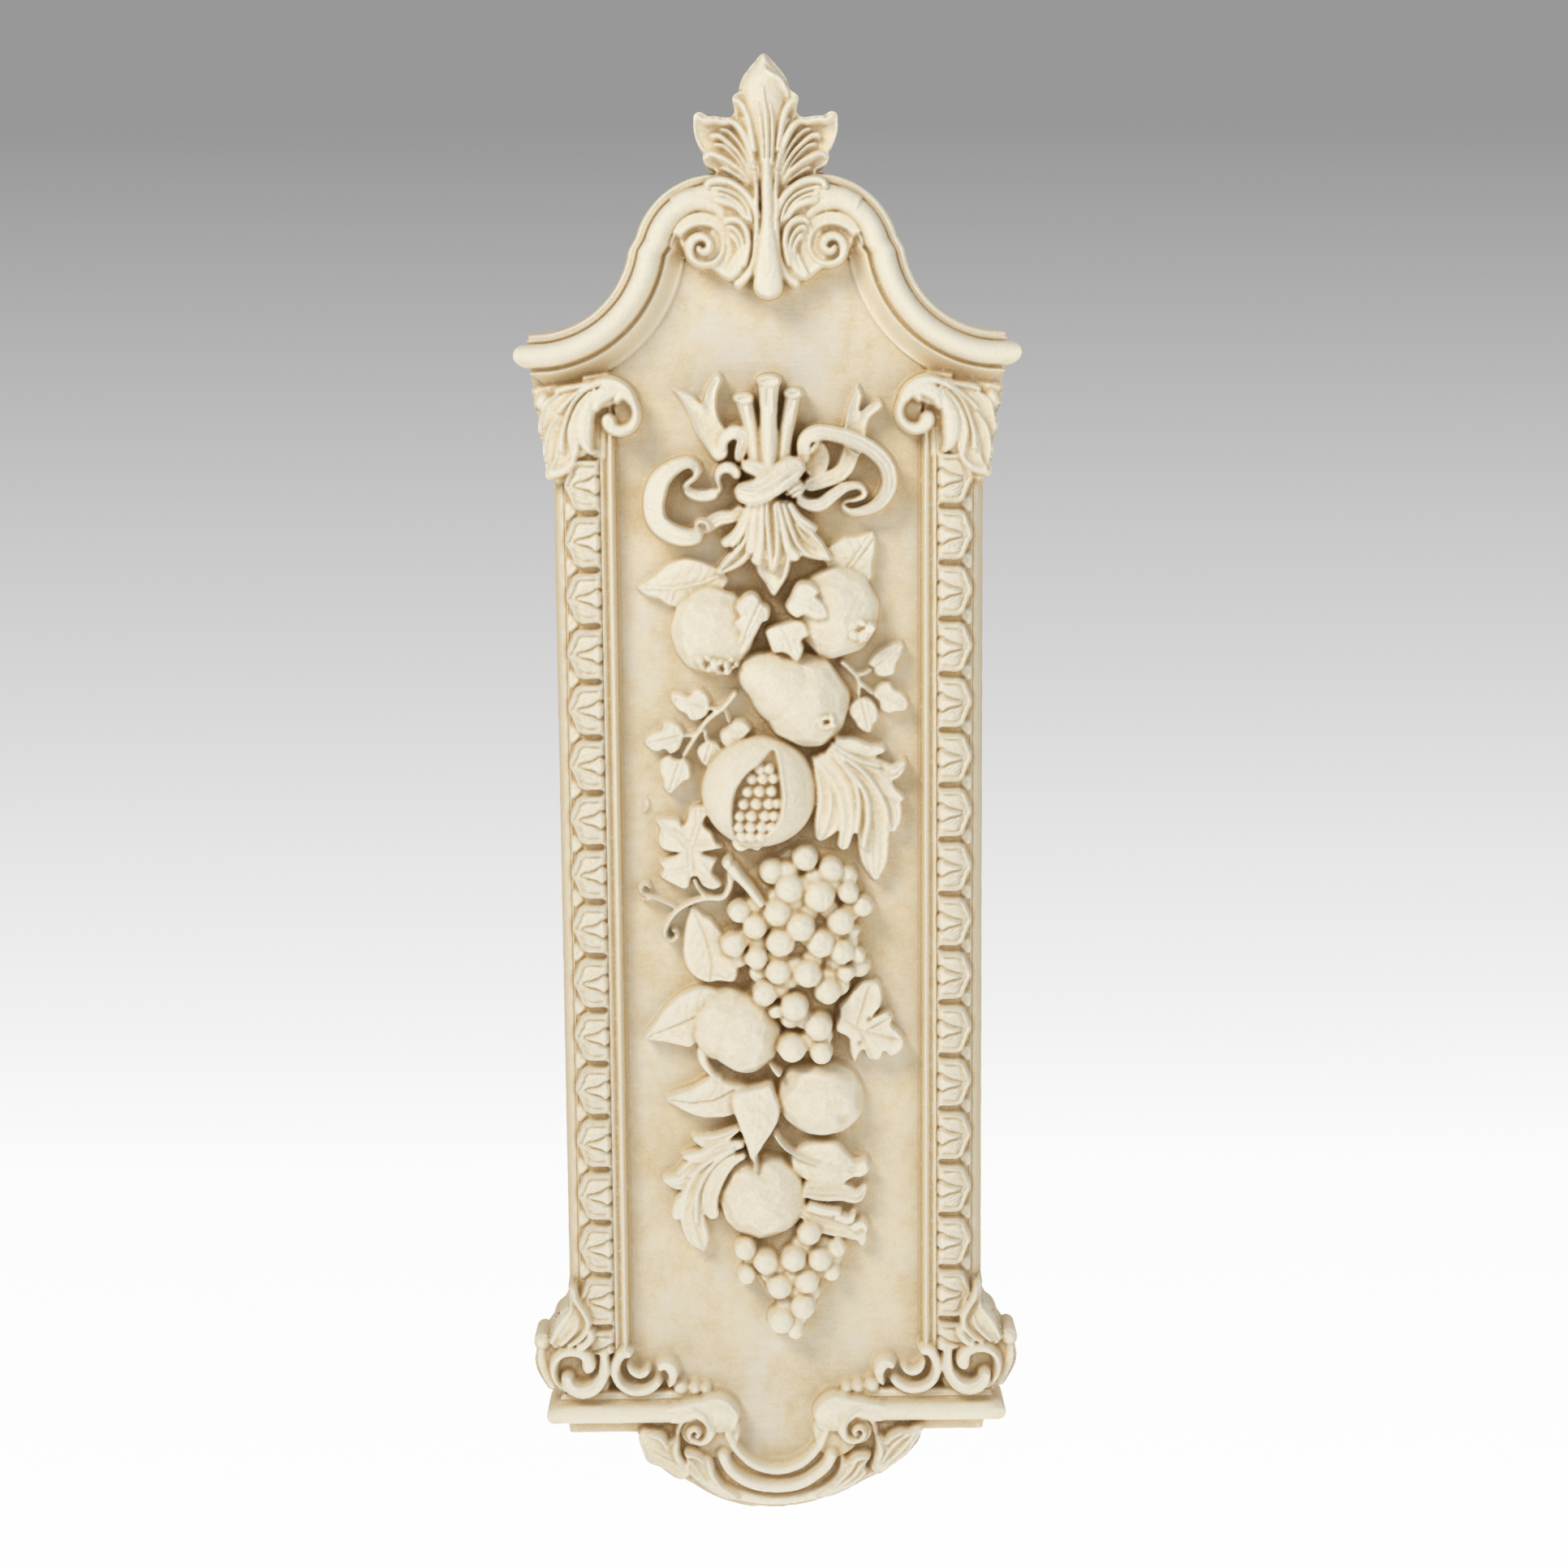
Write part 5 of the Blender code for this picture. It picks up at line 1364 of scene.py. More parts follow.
def make_leaves():
    """The large leaves: plain ones with a midrib, ivy on the fruit, and two vine leaves."""
    form = Form()
    blade(form, [(-98, 167), (-89, 173.5), (-83.5, 177.5), (-74.5, 184.5), (-62.5, 188.5),
                 (-51.5, 187), (-43.5, 183.5), (-37.5, 181), (-30, 172), (-41, 159.5),
                 (-60.5, 153), (-74, 153), (-82.5, 158.5), (-92, 161)], 35, 32.5,
          [[(-96, 167), (-70.5, 166), (-49, 170), (-35, 176)], [(-70.5, 166), (-74, 154)]],
          ridge=0.9, side_veins=9, puff=1.2,
          lifts=[(-62, 188, 2.0, 12), (-74, 154, 1.5, 5), (-98, 167, 1, 5)])
    blade(form, [(40, 186), (44, 196), (50, 200), (55.5, 203.5), (65, 204), (77.5, 206.5),
                 (79, 195.5), (76.5, 183.5), (75.5, 172), (61, 168)], 35, 33,
          [[(56, 176), (77, 205)]], ridge=1.2, side_veins=9, puff=1.4,
          lifts=[(78, 206, 1.5, 6), (52, 199, 2, 9)])
    blade(form, [(-24.5, 152.5), (-21.5, 159.5), (-16, 163.5), (-9.5, 162.5), (-5.5, 156.5),
                 (0, 152.5), (-1.5, 142), (-5, 141.5), (-8, 136), (-12.5, 128), (-18, 119.5),
                 (-22, 117), (-25, 122.5), (-22, 133.5), (-26, 141.5), (-22, 146)], 53, 49.5,
          [[(-6.5, 158), (-16, 138), (-21.5, 122)]], centre=(-13, 147), puff=1.4, base=38,
          ridge=-0.9, rim=0.7, lifts=[(-22, 120, -6, 14), (-24, 150, 2, 6), (0, 147, -2, 6)])
    blade(form, [(11.5, 153.5), (15, 160.5), (20.5, 170.5), (28, 171.5), (36.5, 165),
                 (33.5, 161.5), (37, 158), (41, 153.5), (42.5, 146.5), (34, 144), (24.5, 147.5),
                 (20.5, 145), (15, 147)], 55.5, 53, [[(12, 164), (22, 158), (38, 149)]],
          centre=(26, 157), puff=1.2, base=38, rim=0.9, ridge=-0.6,
          lifts=[(36, 165, 1.6, 5), (42, 146, 1.5, 6), (12, 152, -3, 7)])
    blade(form, [(-3.5, 135.5), (3, 139.5), (8, 140.5), (16.5, 143), (24.5, 142), (28.5, 132.5),
                 (23.5, 128.5), (25, 121.5), (19.5, 113), (13.5, 117.5), (8, 119.5),
                 (2.5, 119.5), (-1.5, 127.5)], 51, 48, [[(8, 141), (13, 130), (19, 115)]],
          centre=(13, 130), puff=1.2, base=30, rim=1.0, ridge=-0.5,
          lifts=[(3, 120, 2, 6), (20, 114, 2, 6), (-3, 134, -2, 8)])
    blade(form, [(-60, -72.5), (-52, -79), (-45, -83.5), (-38.5, -92), (-33, -100.5),
                 (-27.5, -115), (-26, -122.5), (-29, -131), (-41.5, -130.5), (-48, -132),
                 (-57, -129), (-64, -122), (-67.5, -109), (-66.5, -93.5), (-64, -80.5)], 36, 32.5,
          [[(-58.5, -75), (-49.5, -96.5), (-45.5, -115), (-47, -131)]],
          side_veins=9, puff=1.6, ridge=-0.9,
          lifts=[(-30, -122, 4, 14), (-60, -73, 1, 6)])
    blade(form, [(-98, -173), (-91, -162.5), (-84, -153), (-76, -144.5), (-66, -137.5),
                 (-54, -134), (-43, -136.5), (-37.5, -146), (-46, -160), (-55, -171),
                 (-62, -181), (-73.5, -179.5), (-81.5, -177.5), (-91.5, -176)], 39, 35,
          [[(-95.5, -172.5), (-83, -167), (-65, -159.5), (-48.5, -151.5)]],
          side_veins=9, puff=1.5, ridge=-1.1,
          lifts=[(-98, -173, 2, 7), (-60, -136, 2, 10)])
    carve(form, [(-56, -181), (-53, -192), (-46, -202), (-38, -206)], [2.5, 3.4, 2.6, 1],
          [36, 40, 39, 36], crown=1.0, rim=0.5)
    blade(form, [(-83, -220), (-72.5, -214.5), (-61.5, -211), (-53.5, -206), (-46.5, -203),
                 (-38, -206.5), (-30, -209), (-19, -212), (-22, -222), (-31.5, -234),
                 (-41.5, -236), (-52.5, -236), (-62, -233.5), (-73, -228)], 41, 37,
          [[(-81, -220.5), (-63, -223), (-45, -220.5), (-30, -213.5)]],
          side_veins=9, puff=1.7, ridge=-1.3,
          lifts=[(-83, -220, 1.5, 7), (-50, -205, 2, 8)])
    blade(form, [(-30.5, -215.5), (-19, -211.5), (-11, -209.5), (-2.5, -208), (1.5, -216),
                 (4, -225.5), (4, -235.5), (0, -244), (-5.5, -252.5), (-11.5, -262.5),
                 (-15, -269), (-18, -268), (-22, -255), (-26, -243.5), (-30, -231)], 50, 46,
          [[(-12, -208.5), (-12.5, -232.5), (-16, -265)]],
          side_veins=11, puff=0.4, ridge=0.3, base=30,
          lifts=[(-16, -267, -3, 14)])
    blade(form, [(13.5, -265), (23, -256.5), (37, -255), (48, -255.5), (56, -264), (63, -270),
                 (70, -268.5), (73, -277), (67, -283.5), (60.5, -284), (50.5, -289.5),
                 (41, -290.5), (30, -289), (19, -282), (13.5, -275)], 42, 36.5,
          [[(11, -260.5), (24.5, -268.5), (41, -273.5), (62, -276.5)]],
          side_veins=9, puff=1.2, ridge=0.8,
          lifts=[(71, -274, 3.0, 5), (62, -278, -1.5, 4), (45, -258, 1.5, 9)])
    tube(form, [(0, -246), (4, -253), (11, -260.5), (24.5, -268), (36, -272)],
         [2.4, 2.2, 1.6, 1.0], [42, 43, 42, 41.2])
    form.press("large_leaves")


def make_vine_leaves():
    """The two vine leaves: five lobes, deep bays between them and raised veins."""
    form = Form()
    blade(form, [(-54, 4.5), (-61, 2), (-63, -5), (-66.5, -11), (-69, -6.5), (-77.5, -4.5),
                 (-87, -7), (-83.5, -13.5), (-85, -20.5), (-83.5, -27.5), (-76.5, -31),
                 (-69.5, -31.5), (-75.5, -34), (-84.5, -39), (-81.5, -44.5), (-84, -50),
                 (-78.5, -54), (-71.5, -57.5), (-67.5, -59.5), (-63, -59), (-60, -50.5),
                 (-56.5, -50.5), (-52, -57.5), (-43.5, -60.5), (-37, -56.5), (-43.5, -52),
                 (-45, -48), (-42.5, -40.5), (-40.5, -37), (-47.5, -34.5), (-52.5, -32),
                 (-43, -30), (-36, -28), (-41.5, -23.5), (-44.5, -16.5), (-50, -11), (-51, -2.5),
                 (-46, 2)], 38, 35.5,
          [[(-59, -52), (-60, -43.5), (-60.5, -28), (-54, -9.5), (-54, 3)],
           [(-60, -43.5), (-72, -46), (-84, -49)], [(-60, -45), (-52, -50), (-40, -58)],
           [(-60.5, -28), (-68, -18), (-82, -10)], [(-60.5, -24), (-50, -24), (-38, -27.5)]],
          centre=(-60, -29), puff=1.7, ridge=0.9, rim=0.8, tuck=0.9, step=0.9,
          lifts=[(-87, -7, 1.5, 5), (-84, -22, 1.5, 7), (-37, -28, 1.5, 5), (-84, -50, -1, 5)])
    blade(form, [(62, -136), (67.5, -131.5), (80, -132), (82.5, -141.5), (81.5, -150),
                 (74.5, -158), (85.5, -154), (91, -158.5), (89.5, -164), (95, -169.5),
                 (99.5, -177), (96.5, -185), (88, -189.5), (84, -185), (81, -191.5),
                 (71.5, -191), (68, -184), (65, -187.5), (61.5, -194.5), (58, -186),
                 (56.5, -175), (47, -169), (50, -158), (50.5, -149.5), (56.5, -143)], 39, 37,
          [[(50, -158), (65, -168), (80, -172), (97, -177)], [(63.5, -166), (68, -150), (73, -135)],
           [(66, -168), (70, -180), (76, -190)], [(70, -169), (80, -163), (89, -158)]],
          centre=(69, -165), puff=1.5, ridge=-1.0, rim=0.9, tuck=0.9, step=0.9,
          lifts=[(76, -138, -2.5, 6), (97, -180, 2.5, 6), (92, -176, -2, 5), (80, -150, 2, 5),
                 (72.5, -159.5, -5, 1.6), (65.5, -178, -5, 1.6), (60, -145, 1.5, 6)])
    form.press("vine_leaves")


def make_acanthus():
    """Sprays of acanthus: long fingers with deep flutes, their tips hooked."""
    form = Form()
    flute = dict(grooves=2, depth=2.2, crown=1.0, rim=0.9)
    fingers = (
        ([(35, 41), (43.5, 17), (43, -5), (35, -24)], [5, 9.5, 11, 3], [42, 44, 43, 38], 3),
        ([(35, 41), (51.5, 20), (57, -5.5), (53, -31)], [4, 6.5, 6.5, 4.5], [43, 46, 45, 40], 2),
        ([(38, 41), (61.5, 20), (75, -5.5), (76.5, -28), (78, -55)], [5, 10, 13, 12, 2],
         [43, 45, 42, 38, 37], 4),
        ([(40.5, 44), (65.5, 27), (83.5, 11), (92, -5.5), (91, -18)], [5, 9, 13, 9, 2],
         [43, 44, 41, 38, 38], 4),
        ([(75, 21), (88, 14), (100, 7)], [5, 5, 2], [40, 39, 37], 1),
        ([(43.5, 48), (61.5, 39.5), (78, 31), (90.5, 28), (101, 37)], [4, 7.5, 8.5, 7, 2],
         [43, 43, 41, 39, 40], 3),
        ([(47.5, 52), (61.5, 49), (74, 45), (86, 46)], [4, 5.5, 5, 3], [43, 43, 41, 40], 1),
        ([(-26.5, -243.5), (-41, -251.5), (-50.5, -254), (-63, -251)], [2.4, 4.5, 6, 2.5],
         [42, 42, 40, 38], 2),
        ([(-22.5, -255.5), (-37, -258.5), (-50.5, -269), (-61.5, -278.5), (-73.5, -285.5),
          (-86, -284)], [3, 6, 9, 10.5, 8, 2], [43, 44, 42, 40, 38, 37], 4),
        ([(-45, -261), (-57.5, -265), (-71, -266)], [4, 5, 2], [42, 41, 38], 1),
        ([(-61.5, -290.5), (-71, -301.5), (-76.5, -316.5)], [4.5, 5.5, 4], [39, 39, 37], 1),
        ([(-29, -262.5), (-45.5, -270.5), (-57.5, -287), (-63, -306.5), (-62, -320), (-54, -342)],
         [3.5, 6, 8.5, 9.5, 10, 2], [42, 43, 42, 40, 38, 36], 3),
        ([(-21.5, -264), (-34.5, -269.5), (-45.5, -284.5), (-49.5, -301), (-46, -316)],
         [2.5, 5.5, 7, 6.5, 5], [42, 44, 43, 41, 37], 1),
        ([(22, -292), (37.5, -294.5), (52, -295.5), (62.5, -299), (70.5, -289)],
         [6, 8, 8, 6, 1.6], [42, 40, 38, 37, 39], 3),
        ([(25, -304.5), (38.5, -308.5), (51.5, -310)], [4, 4, 2.6], [42, 42, 40], 1),
        ([(20, -308), (38.5, -319), (56, -324), (65.5, -331), (67, -339)], [5, 8.5, 9.5, 8, 1.8],
         [40, 40, 38, 37, 37], 4),
        ([(45.5, -313), (57.5, -316), (61.5, -309)], [3.5, 3.6, 1.4], [40, 39, 40], 1),
        ([(58, -324), (67, -320), (71, -327)], [3, 3.6, 1.6], [38, 39, 37], 1),
    )
    for path, widths, tops, grooves in fingers:
        carve(form, path, widths, tops, ends="tail", across=17 if grooves > 1 else 11, flare=-0.6,
              **{**flute, "grooves": grooves if grooves > 1 else 0})
    # round-ended ribs raised between the flutes
    for path, width, tops in (
            ([(47.5, 45), (69.5, 14), (72, -5.5), (68, -29)], 1.9, [45, 47, 45, 41]),
            ([(45, 44), (62, 22), (65, 0), (63, -18)], 1.6, [45, 47.6, 45, 42]),
            ([(45, 47), (70, 28), (84, 5), (87, -10)], 1.8, [45, 46, 43, 40]),
            ([(46, 50), (66, 38), (82, 34)], 1.6, [45, 44.6, 42]),
            ([(-30, -258), (-46, -270), (-58, -290), (-60, -318)], 1.6, [44, 44.6, 43.5, 40]),
            ([(-30, -257), (-48, -267), (-66, -281)], 1.5, [44.6, 44, 40])):
        carve(form, path, [width * 0.7, width, width], tops, base=30, across=7, round_edge=1.4)
    form.press("acanthus")


# ---- the bow ----
def make_bow():
    """The ribbon bow, its forked tails, the cut stems that it ties and the leaves below."""
    form = Form()
    strokes(form, [
        ([(1, 317), (0.5, 300), (0.5, 280), (0.5, 256)], [8.2, 6.8, 6.6, 6.4], [52, 52, 53, 53]),
        ([(-17.5, 304.5), (-14, 290), (-11, 275), (-9, 256)], [6.6, 6.2, 6.0, 6.2],
         [43.5, 45, 46.5, 48]),
        ([(18.5, 308), (15, 290), (12, 275), (10, 256)], [6.2, 6.0, 6.0, 6.2],
         [43.5, 45, 46.5, 48])],
            ends="none", base=20, crown=7.5, round_edge=2.0, across=15, flare=-1.5)
    # the cut ends: a hollow heart and the rim of bark round it
    for x, z, wide, top in ((1, 317.5, 7.6, 53.5), (-17.5, 305, 6.2, 45.5),
                            (18.5, 308.5, 5.8, 45.5)):
        rim = arc(0, 0, 1, 0, 360, 25) * (wide, wide * 0.42) + (x, z)
        carve(form, rim, [1.4], [top], ends="none", base=22, across=7, smooth=False)
        plate(form, rim[:-1], top - 1.3)
        for side, reach in ((-0.45, 14), (0.4, 20)):
            carve(form, [(x + side * wide, z - 4), (x * 0.8 + side * wide * 0.8, z - 4 - reach)],
                  [0.9, 0.4], [top - 0.2, top - 0.6], base=28, across=5)
    ribbon = dict(crown=0.6, rim=1.0, grooves=3, depth=0.6, across=17)
    # forked tails
    blade(form, [(-70, 312.5), (-62, 311), (-54.5, 307.5), (-48.5, 301.5), (-44.5, 311.5),
                 (-36.5, 323), (-33, 320.5), (-36.5, 310), (-37.5, 300), (-35.5, 290),
                 (-30.5, 281), (-29.5, 272), (-30.5, 262), (-38, 259.5), (-46, 270),
                 (-53.5, 281.5), (-58.5, 295), (-64, 304.5)], 34.5, 38.5, rim=2.0, puff=0,
          centre=(-45.5, 287), lifts=[(-35, 321, 2, 8), (-69, 312, 2, 8), (-35, 265, 3, 8)])
    blade(form, [(55, 272), (56, 284), (58.5, 296), (62, 306), (66, 314.5), (69, 306.5),
                 (67.5, 295), (74.5, 300), (83, 302.5), (84, 298), (75.5, 290.5), (72.5, 283),
                 (71.5, 274), (66, 262)], 34.5, 38, rim=2.0, puff=0, centre=(64, 282),
          lifts=[(66, 312, 2, 7), (83, 301, 2, 6)])
    # left: curl, loop, folds
    carve(form, [(-37, 262), (-35, 268), (-31, 276.5), (-24.5, 280.5), (-18.5, 277), (-20, 268),
                 (-22, 258)], [2, 3.2, 4.4, 5.4, 4.8, 4.6, 3.5], [38, 42, 45, 47, 46, 43, 41],
          flare=-0.8, tilt=1.4, **ribbon)
    carve(form, [(-33, 277), (-34.5, 271), (-31.5, 266), (-36, 261)], [1.2, 1.6, 1.8, 1.4],
          [43, 41, 40, 38], across=7)
    carve(form, [(-52, 249), (-53, 255), (-58, 258.5), (-67, 256.5), (-79, 247), (-84.5, 230),
                 (-82, 216), (-73, 208), (-60, 204), (-48.5, 206.5)],
          [3.4, 4.4, 5.8, 7.4, 8.4, 8.0, 7.8, 7.6, 6.8, 5.2],
          [41, 44, 46, 46.5, 46, 45.5, 45.5, 46, 46, 44], flare=-1.2, tilt=-3.4, **ribbon)
    carve(form, [(-50.5, 255), (-54, 248), (-60, 243.5), (-63.5, 240)], [1.6, 1.9, 1.9, 1.2],
          [46, 46.5, 44, 40], across=7)
    carve(form, [(-62, 241), (-56.5, 236), (-46, 234.5), (-36.5, 237)], [3.0, 4.6, 4.8, 4.2],
          [37, 38, 38.5, 39], flare=-0.6, tilt=1.0, **ribbon)
    carve(form, [(-37, 235.5), (-35.5, 240), (-37, 245), (-36.5, 251), (-31, 255), (-25, 252.5),
                 (-22, 246)], [1.4, 1.8, 2.4, 3.6, 4.4, 4.2, 3.2], [39, 41, 43, 45, 46.5, 46, 45],
          flare=-0.6, crown=0.8, rim=0.5, across=11)
    carve(form, [(-51, 208), (-44, 213), (-36, 217.5), (-26, 219), (-18, 226)],
          [4.2, 5.4, 5.4, 4.6, 4.0], [37, 38, 39, 41, 44], flare=-0.6, tilt=-1.2, **ribbon)
    carve(form, [(-44, 208), (-45, 214), (-49.5, 216.5), (-53.5, 214), (-52.5, 210.5),
                 (-49.5, 210.5)], [1.4, 1.7, 1.8, 1.7, 1.4, 1.0], [44, 46, 46.5, 46, 45, 44],
          across=7)
    # right: loop, the fold inside it, the band to the tails
    blade(form, [(24, 258), (30, 271), (40, 273), (45, 262), (42, 251), (31, 247)], 35, 36,
          rim=1.0, puff=0)
    carve(form, [(25.5, 241), (41.5, 245), (54.5, 251.5), (60, 263), (63.5, 280)],
          [5.4, 6.0, 6.6, 7.0, 7.0], [43, 38, 35.5, 34, 34], flare=-0.6, tilt=1.2, **ribbon)
    carve(form, [(27, 258), (25, 266), (27, 275), (34, 279.5), (44, 279.5), (61, 275),
                 (77, 266.5), (87, 255), (89, 241), (82.5, 229), (72, 223), (60, 221.5),
                 (53.5, 226)], [3.6, 5.0, 5.6, 5.6, 5.6, 5.8, 6.0, 6.0, 5.8, 5.4, 4.4, 3.2, 2.0],
          [42, 47, 49, 49, 48, 46.5, 46, 46, 45, 44, 43, 42, 40], flare=-1.2, tilt=3.0, **ribbon)
    carve(form, [(26, 264), (32, 268), (37, 275)], [1.4, 2.0, 1.2], [47, 47, 46], across=7)
    carve(form, [(20, 233), (27, 228), (37.5, 227), (48, 234.5), (59, 240.5), (68, 239.5),
                 (70.5, 234), (64, 230.5), (56, 229), (53, 226)],
          [4.0, 4.6, 5.2, 5.0, 4.4, 3.6, 2.8, 2.4, 1.8, 1.2],
          [46, 44, 42.5, 43, 43.5, 42.5, 41, 39.5, 38.5, 38], flare=-0.8, tilt=-1.8, **ribbon)
    # the leaves under the knot: cupped lobes with folded rims, and round-ended fingers
    plate(form, smooth_line([(-15, 232), (-20, 212), (-15, 195), (-9, 184), (11, 184), (18, 196),
                             (19, 212), (15, 232)], 2), 44.5, soften=3)
    plate(form, smooth_line([(-10, 232), (-11, 214), (-9, 196), (-4, 187), (6, 187), (11, 200),
                             (11, 216), (9, 232)], 2), 48.0, soften=3)
    for seed, (outline, middle) in enumerate((
            ([(13, 230), (21.5, 218), (29, 214.5), (36, 209.5), (32.5, 205), (39.5, 198),
              (45.5, 187), (30.5, 187.5), (20, 192), (12, 207)], (27, 201)),
            ([(-12, 229), (-18, 211), (-24, 198), (-33, 188.5), (-38.5, 177.5), (-27, 179.5),
              (-16, 186.5), (-9, 200)], (-24, 190)),
            ([(-6, 202), (-9.5, 188), (-9, 178.5), (-4, 171), (3, 160), (8.5, 167), (13.5, 176),
              (15.5, 188), (11, 202)], (3, 184)))):
        blade(form, outline, 41.5, 44.5, centre=middle, puff=0, rim=1.6, seed=70 + seed,
              lifts=[(45, 187.5, 2, 5), (-38, 178, 2, 5), (3, 161, 2, 6)])
    strokes(form, [
        ([(-13, 231), (-20, 214.5), (-26.5, 204.5), (-34.5, 197.5)], [1.8, 2.4, 2.6, 3.6],
         [51, 48.5, 46.5, 45]),
        ([(-11, 230), (-17, 213), (-22.5, 203.5), (-28.5, 196.5)], [1.4, 1.8, 1.8, 1.6],
         [51, 49, 47, 45]),
        ([(-14, 214), (-18, 201), (-25, 192.5), (-32.5, 185), (-38, 178)],
         [1.4, 1.7, 1.6, 1.5, 0.8], [48, 47, 46.4, 46, 46.4]),
        ([(-12, 200), (-18, 189), (-27, 182), (-37, 178)], [1.2, 1.6, 1.7, 0.8],
         [47, 46.6, 46.4, 46.4]),
        ([(-9, 231), (-11, 214.5), (-12, 202), (-14.5, 192)], [2.2, 3.0, 3.4, 4.2],
         [52, 51.5, 50.5, 49]),
        ([(-5, 231), (-5.5, 212.5), (-6.5, 198.5), (-10.5, 183.5)], [1.8, 2.2, 2.6, 4.4],
         [53, 52.5, 51.4, 50]),
        ([(-1.5, 230), (-1, 212.5), (0.5, 195), (2, 179)], [1.2, 1.4, 1.5, 1.9],
         [53.5, 53, 51.5, 50]),
        ([(4, 229), (6, 209), (6, 195), (3.4, 180)], [1.2, 1.4, 1.5, 1.8],
         [53.5, 53, 51.5, 49.6]),
        ([(13, 198), (14, 187), (12, 177), (3.5, 162)], [1.2, 1.5, 1.6, 1.0],
         [47.5, 47.5, 47, 46.6]),
        ([(5.5, 231), (10.5, 209), (14.5, 195.5), (21.5, 186.5)], [2.0, 2.6, 3.0, 4.4],
         [52.5, 51.5, 50.5, 49]),
        ([(10, 230), (16.5, 209), (22, 197.5), (30.5, 190), (43, 188)],
         [1.5, 1.9, 1.8, 1.7, 1.0], [51.5, 49.5, 48, 46.8, 46.5]),
        ([(14, 229), (22, 214.5), (31, 206.5), (38, 199), (44.5, 188.5)],
         [1.3, 1.7, 1.8, 1.6, 0.9], [50.5, 48.4, 47.4, 46.8, 46.6]),
        ([(15, 230), (20.5, 221), (26, 215.6), (35.5, 209.5)], [1.6, 2.0, 2.0, 1.3],
         [50.5, 48.4, 47, 46.4]),
        ([(19, 214), (26, 203), (34, 195)], [0.9, 1.1, 0.9], [46.5, 45.4, 45])],
            base=30, across=9, round_edge=1.5, crown=0.6)
    # the knot: two turns of ribbon, pulled tight
    carve(form, [(-20, 257.5), (-7, 253), (8, 249.5), (18, 242), (25, 235)],
          [4, 6, 6, 6.5, 5.5], [52, 54.5, 55, 53, 50], base=34, crown=3.0, grooves=3, depth=1.3,
          across=21, flare=-1.0)
    carve(form, [(-25, 238.5), (-13, 236.5), (2, 242.5), (14, 252), (26, 258)],
          [7.0, 9.4, 10.0, 9.6, 7.0], [55, 59, 60, 58.5, 54], base=36, crown=4.5, grooves=3,
          depth=1.3, across=23, flare=-1.5)
    for path, tops in (([(-22, 241), (-8, 240), (6, 247), (20, 257)], [57, 60.4, 60.4, 56]),
                       ([(-12, 233.5), (2, 237), (13, 245), (24, 252)], [56.5, 58, 58, 55]),
                       ([(12, 234), (18, 239), (25, 243)], [51, 52.6, 51]),
                       ([(16, 232.5), (21, 236), (25, 238)], [50, 51.4, 50])):
        carve(form, path, [0.8, 1.3, 1.3, 0.8], tops, base=40, across=7, round_edge=1.0)
    form.press("bow")


